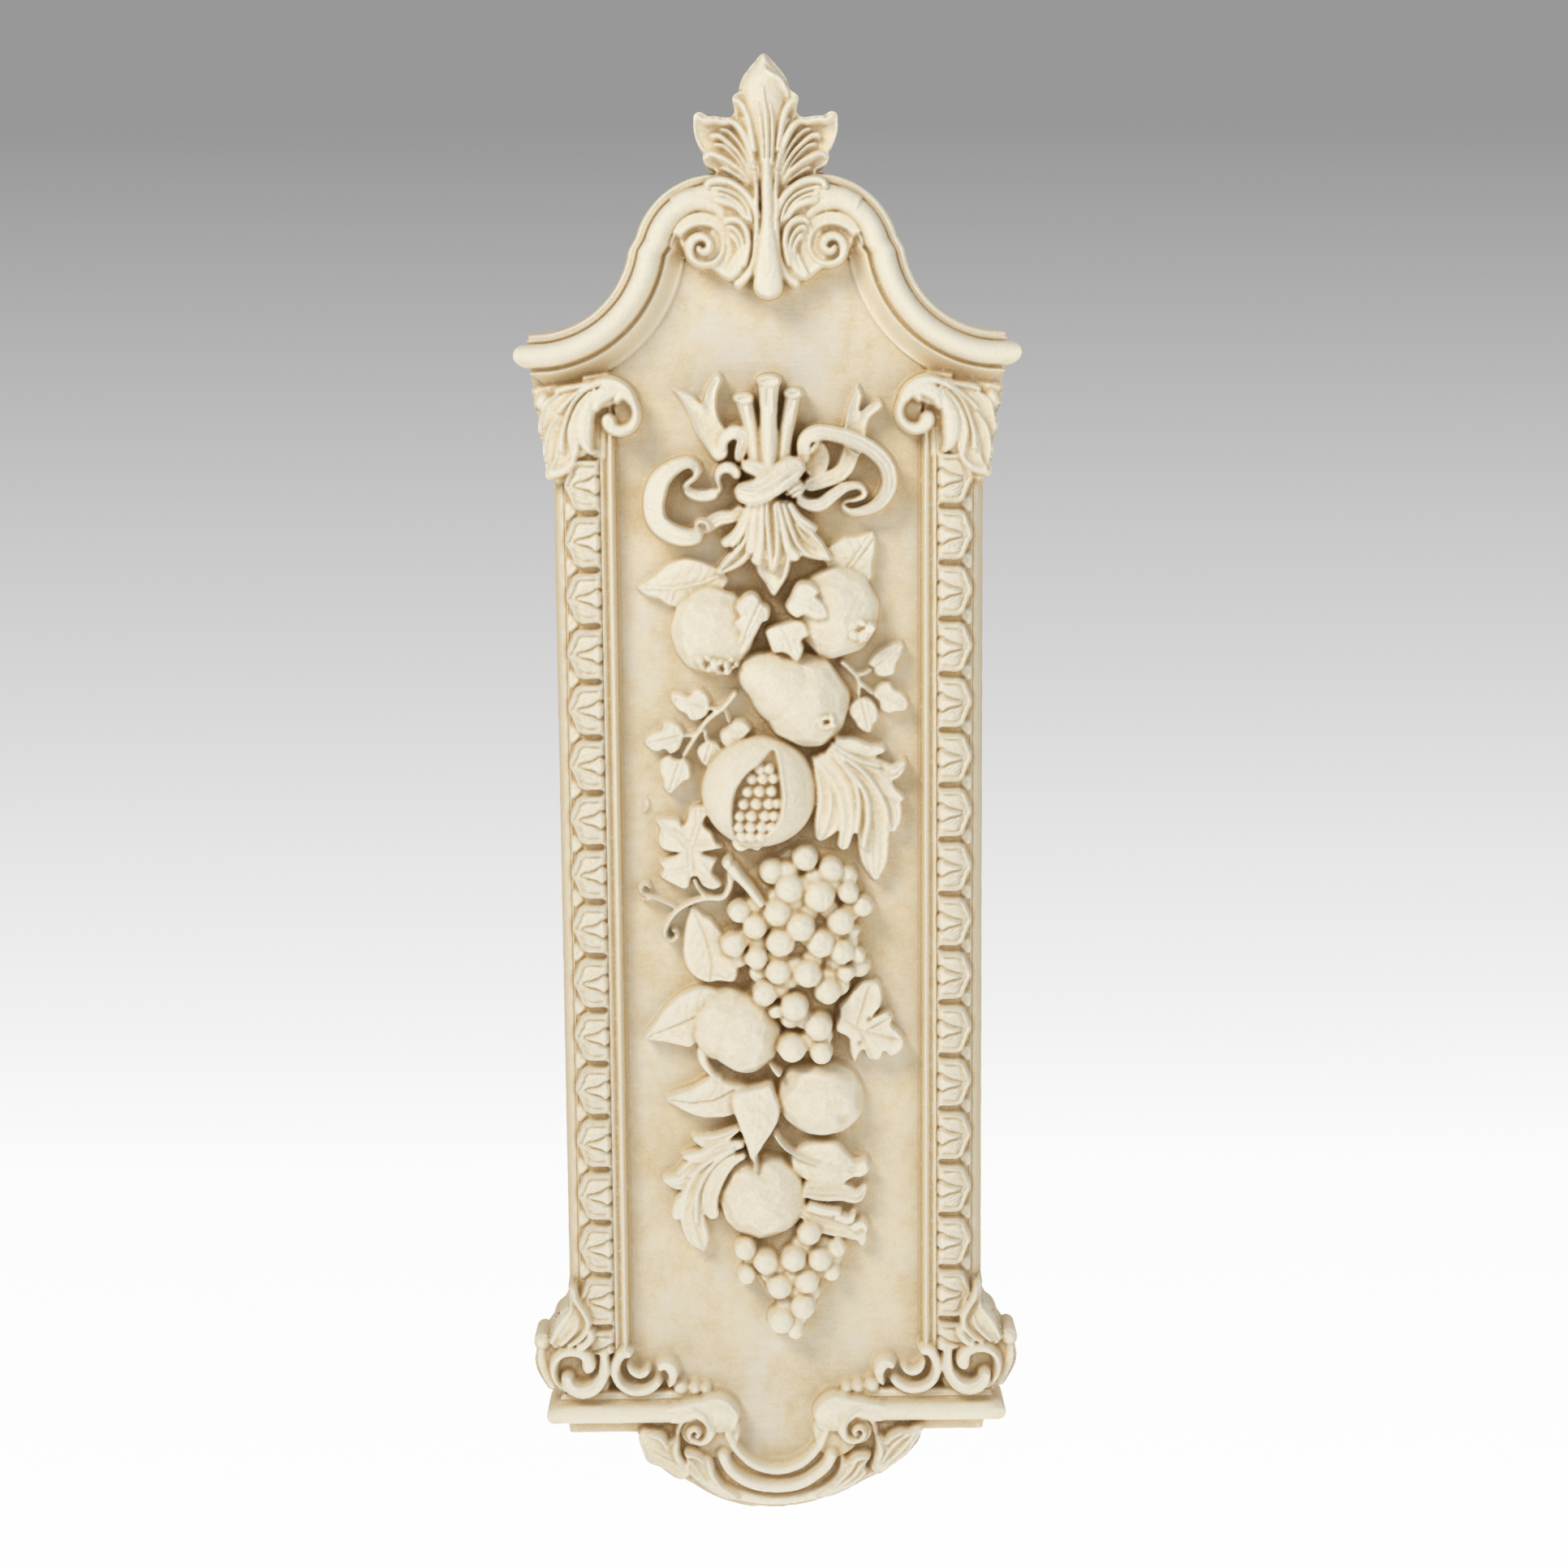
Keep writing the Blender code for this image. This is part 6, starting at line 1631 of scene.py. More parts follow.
# ---- the finial ----
def make_finial():
    """The leaf that crowns the arch, its side lobes, curled leaves and hanging tear drop."""
    form = Form()
    back = [(-1, 546), (-8, 540), (-14, 530), (-17, 521), (-23, 517), (-22, 508), (-27, 502),
            (-48, 502), (-50, 492), (-44, 479), (-36, 466), (-32, 440), (0, 430), (32, 440),
            (36, 466), (43, 478), (48, 490), (48, 502), (27, 502), (21, 508), (22, 517),
            (16, 523), (13, 531), (6, 541)]
    plate(form, smooth_line(back, 2.0, closed=True)[:-1], 29, base=4.0)
    # side lobes: each is a cup with a folded rim and an upturned point
    side_lobe = [(22, 508), (25.5, 505), (33, 505), (41, 505.5), (47, 508.5), (51, 507),
                 (52, 500), (51.5, 494), (49, 487), (45, 481), (36, 475), (22, 464), (9, 455),
                 (4, 462), (7, 478), (12, 490), (17, 500)]
    blade(form, side_lobe, 33, 37.5, centre=(27, 488), puff=0, base=6, rim=1.6,
          lifts=[(49, 505, 5, 7), (8, 465, 6, 12)], mirrored=True)
    lower_lobe = [(43.5, 481), (45.5, 476), (43, 471.5), (37, 468), (36, 462), (26, 455),
                  (11, 450), (6, 455), (16, 464), (30, 474)]
    blade(form, lower_lobe, 33.5, 36.5, centre=(30, 468), puff=0, base=6, rim=1.2,
          lifts=[(44, 477, 3, 5)], mirrored=True)
    upper_lobe = [(15, 524), (23.5, 519), (22.5, 512), (21.5, 504), (15.5, 496), (9, 484),
                  (4, 490), (6, 505), (10, 516)]
    blade(form, upper_lobe, 37, 38.5, centre=(14, 508), puff=0, base=6, rim=1.2,
          lifts=[(22.5, 517, 3.5, 5)], mirrored=True)
    strokes(form, [
        # folded rims
        ([(49.5, 506), (44, 502.5), (36.5, 503), (30, 501.5), (25, 502), (19.5, 498),
          (15, 490.5), (11, 480), (8, 468)], [1.2, 2.0, 2.0, 1.8, 2.2, 2.4, 2.2, 1.8, 1.2],
         [43.5, 43, 42, 42, 43.4, 44, 44, 43.6, 43]),
        ([(44.5, 475.5), (40, 479), (32, 476.5), (24, 471.5), (16.5, 465), (11, 457)],
         [1.2, 2.0, 2.0, 1.8, 1.6, 1.0], [40.5, 41.4, 41.6, 42, 42.4, 42]),
        ([(23, 517.5), (18.5, 515), (14.5, 508.5), (12, 501), (10.2, 492), (8, 480)],
         [1.4, 2.2, 2.0, 1.8, 1.6, 1.2], [43.5, 44, 44.4, 44.6, 45, 45]),
        # round-ended ribs in the cups
        ([(40, 491.5), (34, 492), (27, 487), (19.5, 479.5), (13.5, 469.5), (10, 459)],
         [1.9, 1.6, 1.4, 1.2, 1.1, 0.9], [40, 40.4, 41, 41.6, 42, 42]),
        ([(37, 486), (31, 485), (24, 479), (18, 471.5), (13, 462)],
         [1.3, 1.2, 1.0, 0.9, 0.8], [39, 39.4, 40, 40.6, 41]),
        ([(33, 497), (27, 495), (20, 488), (14, 478), (10.5, 468)],
         [1.0, 1.2, 1.2, 1.1, 0.9], [39.6, 40.4, 41, 42, 42]),
        ([(33, 470), (25, 466), (17, 460), (12, 454)], [1.2, 1.2, 1.0, 0.8],
         [38.6, 39.4, 40.4, 41]),
        ([(17, 505), (13.5, 498), (11, 489), (9.5, 480)], [1.1, 1.1, 1.0, 0.8],
         [41, 42, 43, 43])], base=26, across=7, round_edge=1.6, mirrored=True)
    for k in range(7):
        dome(form, 10.4 - 0.62 * k, 482 - 4.2 * k, 1.5, 1.7, 45.6, 43, base=36, around=10, rows=5,
             mirrored=True)
    # the bud, with the fold over its right shoulder and fine ribs up its middle
    carve(form, [(0, 440), (0, 468), (-0.5, 494), (-0.8, 520), (-1, 549.5)], [4, 8, 13, 17.5, 2.0],
          [42, 42, 44, 46.5, 40], base=8, ends="tail", crown=8.5, across=27, round_edge=3)
    strokes(form, [
        ([(-6, 516), (-4, 504), (-2.8, 490), (-2, 470)], [0.6, 1.1, 1.1, 1.0],
         [46.6, 46.2, 45.4, 45]),
        ([(-1.5, 526), (-1.2, 517), (0.2, 508), (1.0, 492), (1.2, 470)],
         [0.7, 1.2, 1.2, 1.2, 1.0], [48, 48, 47.4, 46.4, 46]),
        ([(3.5, 514), (5, 502), (4.8, 488), (4, 470)], [0.6, 1.1, 1.1, 1.0],
         [46.6, 46.2, 45.4, 45]),
        ([(-1, 541), (0.5, 537), (4, 534), (9, 531.5), (13, 527), (15.5, 521), (16, 513)],
         [1.0, 1.9, 2.4, 2.5, 2.2, 1.6, 0.9], [43.5, 46.6, 46.8, 45, 43, 40.6, 39])],
            base=30, across=7, round_edge=1.4)
    # curled leaves over the moulding: a cupped face, folded rims and fine ribs between them
    blade(form, [(4, 425), (5, 440), (11, 450), (17.5, 456.5), (24, 460.5), (31, 462), (39, 461.5),
                 (43.5, 458), (43, 453), (39, 447.5), (34, 445.5), (27, 444), (20, 438), (14, 430)],
          43.5, 45, centre=(22, 448), puff=0, base=24, rim=1.4, mirrored=True)
    blade(form, [(11, 421), (12.5, 429), (16, 433), (21, 435), (27.5, 434.5), (31.5, 431),
                 (30, 427), (27.5, 422), (23, 418), (21, 410.5), (21.5, 404.5), (26, 398),
                 (30.5, 394), (28, 390), (22, 393), (15.5, 401), (12, 411)], 43, 43,
          centre=(18, 418), puff=0, base=24, rim=0.8, mirrored=True)
    strokes(form, [
        ([(6, 432), (9, 442), (16, 452), (25, 458.5), (34, 460.5), (41.5, 458.5),
          (42.5, 453.5)], [2.2, 2.6, 2.4, 2.2, 2.4, 2.6, 2.2], [50, 50, 49.5, 49, 49, 49, 48]),
        ([(10.5, 430), (13.5, 441), (19.5, 448.5), (27, 452.5), (35, 454.5), (40, 454.5)],
         [1.4, 1.4, 1.3, 1.2, 1.2, 1.6], [49, 48.6, 48, 47.4, 47.4, 47.4]),
        ([(13, 431), (17.5, 441), (24, 446.8), (31.5, 449.8), (38.5, 450.5)],
         [1.2, 1.3, 1.2, 1.3, 1.8], [48.6, 48, 47.4, 47.4, 48]),
        ([(15, 432.5), (20, 440), (26.5, 444), (33, 445.8), (38, 447)],
         [1.6, 1.9, 2.2, 2.4, 1.8], [48, 48, 48, 48.4, 47.6]),
        # the small leaf below
        ([(17, 399), (14.5, 408), (13.2, 417), (15.5, 426.5), (20.5, 431.8), (27.5, 432.4),
          (30.5, 429.5)], [2.0, 2.2, 2.0, 2.0, 2.0, 2.4, 1.8],
         [45, 47, 48, 48.6, 48.6, 48, 47]),
        ([(19.5, 398), (17.5, 407), (17, 415.5), (19.5, 422), (24.5, 426.8), (29, 427)],
         [1.2, 1.3, 1.3, 1.3, 1.4, 1.8], [44, 45.6, 46.6, 47, 46.6, 46]),
        ([(30, 391.5), (24, 395.5), (20, 402), (19.5, 411), (22, 418), (26.5, 422.4)],
         [2.8, 2.4, 2.0, 1.6, 1.6, 2.0], [41.5, 43, 44.4, 45, 45.4, 45]),
        ([(24, 385.5), (18, 389), (12, 396), (8.5, 405), (7.2, 418), (7, 432)],
         [3.2, 3.0, 2.8, 2.6, 2.4, 1.8], [41.5, 43, 45.4, 47.4, 49, 50]),
        # folds that run up beside the stem
        ([(6.8, 424), (7.2, 438), (7, 452), (8, 464)], [1.3, 1.6, 1.5, 1.0],
         [51, 51, 49.5, 47])], base=24, across=9, crown=1.0, round_edge=1.5, mirrored=True)
    # stem and tear drop
    carve(form, [(0.5, 476), (0.8, 455), (1, 433), (0.8, 412), (0.8, 394), (1, 376)],
          [3.0, 4.4, 4.6, 6.6, 9.4, 12.2], [46, 50, 52.5, 53.5, 53, 48], base=22, ends="tail",
          crown=3.6, across=17, round_edge=2.4)
    form.press("finial")


# ---- the foot ----
def make_foot():
    """The foot: the rim of the bay, a round bar and rolled leaves that run up to the sill."""
    form = Form()
    bay = smooth_line([(58, -477), (47, -483), (38, -494), (30, -505), (18, -513.5), (-6, -517)],
                      3)
    for side, outline in (
            (1, [(-6, -549.3), (20, -547), (32.5, -543), (45.5, -538), (58, -533), (70.5, -527),
                 (87, -517.5), (100, -507.5), (108.5, -495), (113, -484)]),
            (-1, [(-6, -549.3), (24, -548), (39.5, -543.5), (50.5, -539), (63, -531), (74.5, -524),
                  (80.5, -519.5), (89.5, -513), (99.5, -508.5), (101, -503), (103.5, -496),
                  (106, -490), (109, -484)])):
        ring = np.vstack([smooth_line(outline, 3), bay]) * (side, 1)
        plate(form, ring[::side], 31.0, base=3.0, soften=2.2)
    # the rim of the bay and the round bar
    carve(form, [(-39, -478), (-36.5, -489), (-31, -500), (-20, -511), (-6, -516.5), (6, -516.5),
                 (20, -511), (31, -500), (36.5, -489), (39, -478)],
          [3.4, 3.0, 3.2, 3.4, 3.4, 3.4, 3.4, 3.2, 3.0, 3.4], [37.5, *[38] * 8, 37.5],
          base=ROOT, crown=1.0, across=11, tilt=0.8)
    carve(form, [(-43, -499), (-38, -512), (-30, -520.5), (-17.5, -527), (0, -529.5),
                 (17.5, -527), (30, -519.5), (39, -511), (44, -500)],
          [4.6, 4.5, 4.5, 4.6, 4.6, 4.6, 4.5, 4.5, 4.6],
          [43, 43.5, 43, 42.5, 42.5, 42.5, 43, 43.5, 43],
          base=ROOT, crown=2.6, round_edge=2.2, across=15)
    # the long tails of the inner leaves meet under the bar
    for offset, width, top in ((0, 2.2, 37.5), (-4.2, 1.0, 35.4), (4.6, 1.0, 36.0)):
        carve(form, [(-52, -524 + offset), (-40, -533 + offset * 0.8), (-22, -539.5 + offset * 0.7),
                     (0, -542 + offset * 0.6), (22, -539 + offset * 0.7),
                     (38, -533 + offset * 0.8), (50, -524 + offset)],
              [width * 1.6, width, width, width, width, width, width * 1.6],
              [41, 39, top, top, top, 39, 41], base=16, crown=0.6, across=9)
    leaves = (
        # inner and outer, left
        ([(-72, -500), (-67.5, -498), (-61, -499.5), (-56, -503.5), (-52, -505), (-49.5, -508),
          (-48, -515.5), (-43.5, -524), (-36, -532), (-28, -537), (-40, -538), (-49, -533.5),
          (-57.5, -527.5), (-66.5, -519.5), (-70, -514), (-70, -506)], (-60, -514)),
        ([(-103, -482), (-97, -483), (-91, -484), (-86, -487), (-84.5, -491.5), (-80, -490.5),
          (-76, -488), (-74.5, -500), (-67, -517), (-74, -522), (-81, -518), (-90, -511.5),
          (-99.5, -507), (-103.5, -497), (-106, -488)], (-86, -502)),
        # inner and outer, right
        ([(73, -503.5), (68, -501.5), (61.5, -502), (57, -505.5), (54, -508.5), (50.5, -506.5),
          (48.5, -515), (44, -523.5), (38, -530.5), (30, -536), (40, -537), (50, -533),
          (59.5, -528), (66.5, -521.5), (70, -517.5), (68, -513.5), (70.5, -508.5)], (60, -516)),
        ([(113, -482), (107.5, -480.5), (102, -483.5), (95, -483), (89, -486.5), (85.5, -493),
          (82.5, -490), (77, -488), (77, -498), (75, -506.5), (72.5, -514.5), (78, -519),
          (90, -511), (101, -502), (109, -491.5)], (90, -499)))
    for seed, (outline, middle) in enumerate(leaves):
        blade(form, outline, 40.5, 42.5, centre=middle, puff=0, base=12, rim=1.5, seed=60 + seed)
    strokes(form, [
        ([(-101, -484), (-94, -485), (-88, -488), (-85.5, -493.5), (-83.5, -499)],
         [1.2, 1.8, 2.2, 1.8, 0.8], [44, 45.5, 45.6, 44.6, 43]),
        ([(-80, -506), (-86, -501), (-93, -497), (-101, -494)], [0.8, 1.2, 1.2, 0.9],
         [43, 43, 42.6, 42]),
        ([(-71, -516), (-80, -509), (-90, -504), (-101, -500)], [0.9, 1.3, 1.3, 1.0],
         [42.5, 42.4, 42, 41.5]),
        ([(-77, -490), (-78, -500), (-73, -512)], [1.4, 1.8, 1.0], [44.5, 44.4, 43]),
        ([(-71, -501.5), (-66, -500.5), (-60, -503), (-56.5, -508)], [1.3, 1.9, 1.9, 1.0],
         [45.4, 46.4, 46, 44.5]),
        ([(-68, -506), (-63, -512), (-55, -523), (-44, -532)], [1.0, 1.3, 1.2, 0.8],
         [43.8, 43.6, 42, 40]),
        ([(-53, -507), (-51, -517), (-45, -526), (-36, -534)], [1.2, 1.6, 1.4, 0.9],
         [44.6, 44, 42.6, 40]),
        ([(78, -490), (80.5, -499), (78, -509)], [1.5, 1.9, 1.0], [45, 45, 43.6]),
        ([(80.5, -509), (86.5, -499.5), (94, -491), (103, -486)], [1.0, 1.3, 1.4, 1.2],
         [43.6, 44, 44, 43.4]),
        ([(84, -510), (93, -502.5), (101, -493.5), (108, -484)], [0.9, 1.3, 1.4, 1.2],
         [42.6, 43, 43, 43]),
        ([(84, -495), (86.5, -490), (92, -486.5), (97, -486)], [1.0, 1.5, 1.7, 1.2],
         [44.4, 45, 45, 44]),
        ([(72.5, -504.5), (67, -503.4), (61, -505.5), (57.5, -511)], [1.4, 2.0, 1.9, 1.0],
         [45.6, 46.4, 46, 44.6]),
        ([(40, -531), (49, -523.5), (56.5, -515), (61, -508)], [0.8, 1.2, 1.3, 1.0],
         [40.5, 42.4, 43.8, 44.4]),
        ([(42.5, -533), (52.5, -525), (60.5, -518), (64.5, -511), (69, -506)],
         [0.8, 1.2, 1.3, 1.3, 1.0], [40.4, 42, 43.4, 44, 44.4])],
            base=26, across=7, round_edge=1.4)
    form.press("foot")


# ---- paint ----
def linear(text):
    """A colour written as sRGB hex, turned to the linear values that a shader takes."""
    parts = [int(text[k:k + 2], 16) / 255 for k in (0, 2, 4)]
    return tuple(c / 12.92 if c <= 0.04045 else ((c + 0.055) / 1.055) ** 2.4 for c in parts)


def add_node(tree, kind, settings=None, **links):
    """Add a node, set its own settings, and give each named or numbered input a value or link."""
    node = tree.nodes.new("ShaderNode" + kind)
    for name, value in (settings or {}).items():
        setattr(node, name, value)
    for name, value in links.items():
        key = int(name[1:]) if name[0] == "i" and name[1:].isdigit() else name.replace("_", " ")
        socket = node.inputs[key]
        if isinstance(value, bpy.types.NodeSocket):
            tree.links.new(value, socket)
        else:
            socket.default_value = value
    return node


def ramp(tree, factor, stops):
    """A colour ramp over a factor, its stops given as (place, sRGB hex)."""
    node = add_node(tree, "ValToRGB", i0=factor)
    band = node.color_ramp
    while len(band.elements) < len(stops):
        band.elements.new(0.5)
    for element, (place, text) in zip(band.elements, stops):
        element.position = place
        element.color = (*linear(text), 1)
    return node.outputs[0]


def mix(tree, factor, first, second, blend="MIX"):
    """Mix two colours by a factor."""
    settings = {"data_type": "RGBA", "blend_type": blend}
    return add_node(tree, "Mix", settings, i0=factor, i6=first, i7=second).outputs[2]


def maths(tree, operation, first, second=0.0, third=0.0, clamp=False):
    """One sum on numbers."""
    settings = {"operation": operation, "use_clamp": clamp}
    return add_node(tree, "Math", settings, i0=first, i1=second, i2=third).outputs[0]


def noise(tree, place, size_mm, detail=2.0, stretch=None, rough=0.5):
    """Noise with lumps of a real size, from 0 to 1."""
    if stretch:
        place = add_node(tree, "Mapping", {"vector_type": "POINT"}, Vector=place,
                         Scale=stretch).outputs[0]
    return add_node(tree, "TexNoise", {"normalize": True}, Vector=place, Scale=1000 / size_mm,
                    Detail=detail, Roughness=rough).outputs[0]


# tones of the umber wash with painted shade, from a thin film to where it has pooled in the hollows
GLAZE_AND_SHADE_TONES = [(0.0, "F5EBD4"), (0.12, "F0E2C5"), (0.3, "E3CCA1"), (0.55, "D1B27C"),
               (0.8, "B28F58"), (1.0, "85653D")]
# tones of the open field, from bare ivory to the tan bloom and painted shade round the carving
BLOOM_AND_SHADE_TONES = [(0.0, "F1E6CE"), (0.25, "ECDCBC"), (0.5, "E5D0A8"), (0.75, "DBC294"),
               (1.0, "C9AB78")]


def painted_plaster():
    """Gypsum plaster cast in a mould, brushed with ivory emulsion and glazed with umber.

    The thin brown umber is wiped off the high places, so it stays in the hollows and as a soft tan
    bloom on the field round the carving, both with painted shade added; a painted highlight lies on
    the high places, and chalky dry-brushed white on the open field.
    """
    found = bpy.data.materials.get("ivory_painted_plaster")
    if found:
        return found
    paint = bpy.context.scene.plaque_paint
    material = bpy.data.materials.new("ivory_painted_plaster")
    material.use_nodes = True
    tree = material.node_tree
    shader = tree.nodes["Principled BSDF"]
    place = add_node(tree, "TexCoord").outputs["Object"]
    stain_and_shading = add_node(tree, "Attribute", {"attribute_name": "patina_and_shading"})
    parts = add_node(tree, "SeparateColor", i0=stain_and_shading.outputs["Color"])
    wash_and_shade, halo_and_shade, rub_and_highlight = parts.outputs[:3]
    field = stain_and_shading.outputs["Alpha"]
    grain = noise(tree, place, 1.6, 3.0, rough=0.65)
    cloud = noise(tree, place, 34.0, 4.0, rough=0.6)
    blot = noise(tree, place, 8.0, 4.0, rough=0.65)
    uneven = maths(tree, "ADD", maths(tree, "MULTIPLY_ADD", grain, 0.55, -0.275),
                   maths(tree, "MULTIPLY_ADD", blot, 0.5, -0.25))

    # umber wash and painted shade in the hollows, broken up where the brush skipped over the grain
    # of the plaster
    thin = maths(tree, "MULTIPLY_ADD", uneven, maths(tree, "MULTIPLY_ADD", wash_and_shade, 0.9, 0.4), wash_and_shade)
    glaze = ramp(tree, maths(tree, "MULTIPLY", thin, 1.0, clamp=True), GLAZE_AND_SHADE_TONES)

    # the open field: thin tan umber, thicker round the carving with painted shade, under chalky
    # dry-brushed white
    tan = maths(tree, "ADD", halo_and_shade, maths(tree, "MULTIPLY_ADD", uneven, 1.3, maths(
        tree, "MULTIPLY_ADD", cloud, 1.0, -0.40)), clamp=True)
    bloom_and_shade = ramp(tree, tan, BLOOM_AND_SHADE_TONES)
    down = noise(tree, place, 46.0, 6.0, stretch=(1.6, 1.0, 0.8), rough=0.6)
    across = noise(tree, place, 6.0, 3.0, stretch=(0.22, 1.0, 2.6))
    ragged = maths(tree, "MULTIPLY_ADD", across, 0.22, -0.18)
    edge = maths(tree, "MULTIPLY_ADD", grain, 0.14, ragged)
    chalk = maths(tree, "MULTIPLY", maths(tree, "SUBTRACT", maths(tree, "ADD", down, edge), 0.49),
                  5.5, clamp=True)
    chalk = maths(tree, "MULTIPLY", chalk, maths(tree, "SUBTRACT", 0.95, halo_and_shade, clamp=True))
    ground = mix(tree, chalk, bloom_and_shade, (*paint.chalk, 1))
    ground = mix(tree, maths(tree, "MULTIPLY", thin, 0.9, clamp=True), ground, glaze, "DARKEN")
    colour = mix(tree, field, glaze, ground)
    # painted highlight: white over the high places that face the front, partly dry-brushed, in dabs
    # with ragged edges
    dab = maths(tree, "MULTIPLY_ADD", blot, 1.0, maths(tree, "MULTIPLY_ADD", grain, 0.9, -1.0))
    lit = maths(tree, "MULTIPLY", maths(tree, "ADD", rub_and_highlight, dab), 2.2, clamp=True)
    lit = maths(tree, "MULTIPLY", lit, maths(tree, "SUBTRACT", 1.0, field, clamp=True))
    colour = mix(tree, lit, colour, (*paint.dry_white_and_highlight, 1))
    # pin holes that hold a speck of brown umber
    specks = noise(tree, place, 1.1, 1.0)
    pits = maths(tree, "MULTIPLY", maths(tree, "SUBTRACT", specks, 0.70), 9.0, clamp=True)
    colour = mix(tree, maths(tree, "MULTIPLY", pits, 0.4), colour, (*paint.speck, 1))
    tree.links.new(colour, shader.inputs["Base Color"])

    # matt emulsion, a little smoother where it is rubbed
    rough = add_node(tree, "MapRange", i0=blot, i1=0.2, i2=0.8, i3=0.52, i4=0.68).outputs[0]
    tree.links.new(rough, shader.inputs["Roughness"])
    shader.inputs["IOR"].default_value = paint.paint_ior
    shader.inputs["Metallic"].default_value = 0.0
    fine = noise(tree, place, 1.4, 3.0, rough=0.6)
    strokes_left = maths(tree, "MULTIPLY", maths(tree, "ADD", across, down), field)
    relief = maths(tree, "ADD", fine, strokes_left)
    bump = add_node(tree, "Bump", Height=relief, Strength=0.6, Distance=0.0012).outputs[0]
    tree.links.new(bump, shader.inputs["Normal"])
    return material


# ---- where the umber wash lies, with painted shade and highlights ----
def read_map(grid, places):
    """Read a map at places on the front."""
    row = ((places[:, 1] - FOOT + EDGE) / CELL).clip(0, grid.shape[0] - 1.001)
    column = ((places[:, 0] + HALF_WIDTH + EDGE) / CELL).clip(0, grid.shape[1] - 1.001)
    r, c = row.astype(int), column.astype(int)
    fr, fc = row - r, column - c
    r1 = np.minimum(r + 1, grid.shape[0] - 1)
    c1 = np.minimum(c + 1, grid.shape[1] - 1)
    return ((grid[r, c] * (1 - fc) + grid[r, c1] * fc) * (1 - fr)
            + (grid[r1, c] * (1 - fc) + grid[r1, c1] * fc) * fr)


# (radius, depth in millimetres, share): how much umber wash and painted shade the hollows of each
# size take
HOLLOWS = ((1.6, 1.6, 0.34), (4.0, 6, 0.28), (10.0, 9, 0.30))
# (radius, height in millimetres, share): how much painted highlight the high places of each size
# take
RIDGES = ((10.0, 9, 0.35), (4.0, 3, 0.35), (1.6, 0.8, 0.45))
FULLEST_WASH_AND_SHADE = 0.78
BACK_WASH = 0.12


def spread_umber_and_shading():
    """Work out where the umber wash stays, with painted shade in hollows and painted highlights on
    high places, from how deep each point lies among its neighbours.
    """
    level = FRONT.level
    smooth = FRONT.around(0.7)
    around = {radius: FRONT.around(radius) for radius in (1.6, 4.0, 10.0, 22.0)}
    core = blur(FRONT.solid * 1.0, 5.0)
    carved = blur(np.clip(level - 27, 0, 12) / 12, 7.0)
    open_field = blur(((FRONT.ground > 20.5) & (FRONT.ground < 23.6)) * 1.0, 1.0)
    for piece in [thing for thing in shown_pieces() if thing.type == "MESH"]:
        mesh = piece.data
        places, normals = read_mesh(mesh)
        places = places[:, [0, 2, 1]] / MM * (1, 1, -1)
        facing = -normals[:, 1]
        height = places[:, 2]
        face = read_map(smooth, places)
        depth = {radius: read_map(grid, places) - face for radius, grid in around.items()}
        under = (read_map(level, places) - height).clip(0)
        # near the silhouette there is nothing beside the surface to hold the umber wash or its
        # painted shade
        held = ((read_map(core, places) - 0.62) / 0.3).clip(0, 1)
        # umber wash with painted shade, deeper in the hollows and under overhangs
        pooled_and_shaded = sum(share * (depth[radius] / full).clip(0, 1.2) for radius, full, share in HOLLOWS)
        wash_and_shade = held * (pooled_and_shaded + 0.05 * (under / 8).clip(0, 1))
        # painted shade on surfaces turned away from the front, and on the low sides near the
        # silhouette
        wash_and_shade = wash_and_shade + 0.08 * (1 - facing).clip(0, 1)
        wash_and_shade = wash_and_shade + 0.16 * ((0.85 - read_map(core, places)) / 0.3).clip(0, 1) * (height < 34)
        # on the pilasters a little more umber over all, and painted shade in their hollows
        if piece.name == "pilasters":
            wash_and_shade = wash_and_shade + 0.05 + 0.3 * held * facing.clip(0, 1) * (depth[4.0] / 1.5).clip(0, 1)
        on_field = read_map(open_field, places) * ((28 - height) / 4).clip(0, 1)
        # tan bloom with painted shade on the field round the raised carving
        halo_and_shade = read_map(carved, places) * 0.55 + 0.10 * (depth[22.0] / 12).clip(0, 1)
        # painted highlight on the high places, strongest where they face the front
        rub_and_highlight = 0.1 + sum(share * (-depth[radius] / full).clip(0, 1)
                        for radius, full, share in RIDGES)
        rub_and_highlight *= facing.clip(0, 1) * (1 - on_field)
        # painted shade on the open field deep inside loops and hollows
        enclosed_shade = 0.62 * ((depth[10.0] - 7) / 6).clip(0, 1)
        wash_and_shade = (wash_and_shade * (1 - 0.8 * on_field) + enclosed_shade * on_field).clip(0, FULLEST_WASH_AND_SHADE)
        wash_and_shade[height < 0.4] = BACK_WASH
        layer = mesh.color_attributes.new("patina_and_shading", "FLOAT_COLOR", "POINT")
        values = np.stack([wash_and_shade.clip(0, 1), halo_and_shade.clip(0, 1), rub_and_highlight.clip(0, 1), on_field], axis=1)
        layer.data.foreach_set("color", values.astype(np.float32).ravel())


# ---- stage ----
CAMERA_PLACE = (-0.007, -2.013, 0.306)
CAMERA_YAW = 0.48
CAMERA_PITCH = 8.23
CAMERA_ROLL = -0.45
LENS_MM = 61.5
FLOOR = -0.80
BACKDROP = 3.6
BEND = 1.2
SKY = 0.30
# each lamp's name, place, width in metres and watts
LAMPS = (("key", (-1.65, -2.1, 2.25), 1.4, 50), ("fill", (1.8, -2.2, 0.3), 1.8, 9),
         ("back", (1.2, 2.2, 1.4), 1.6, 14))
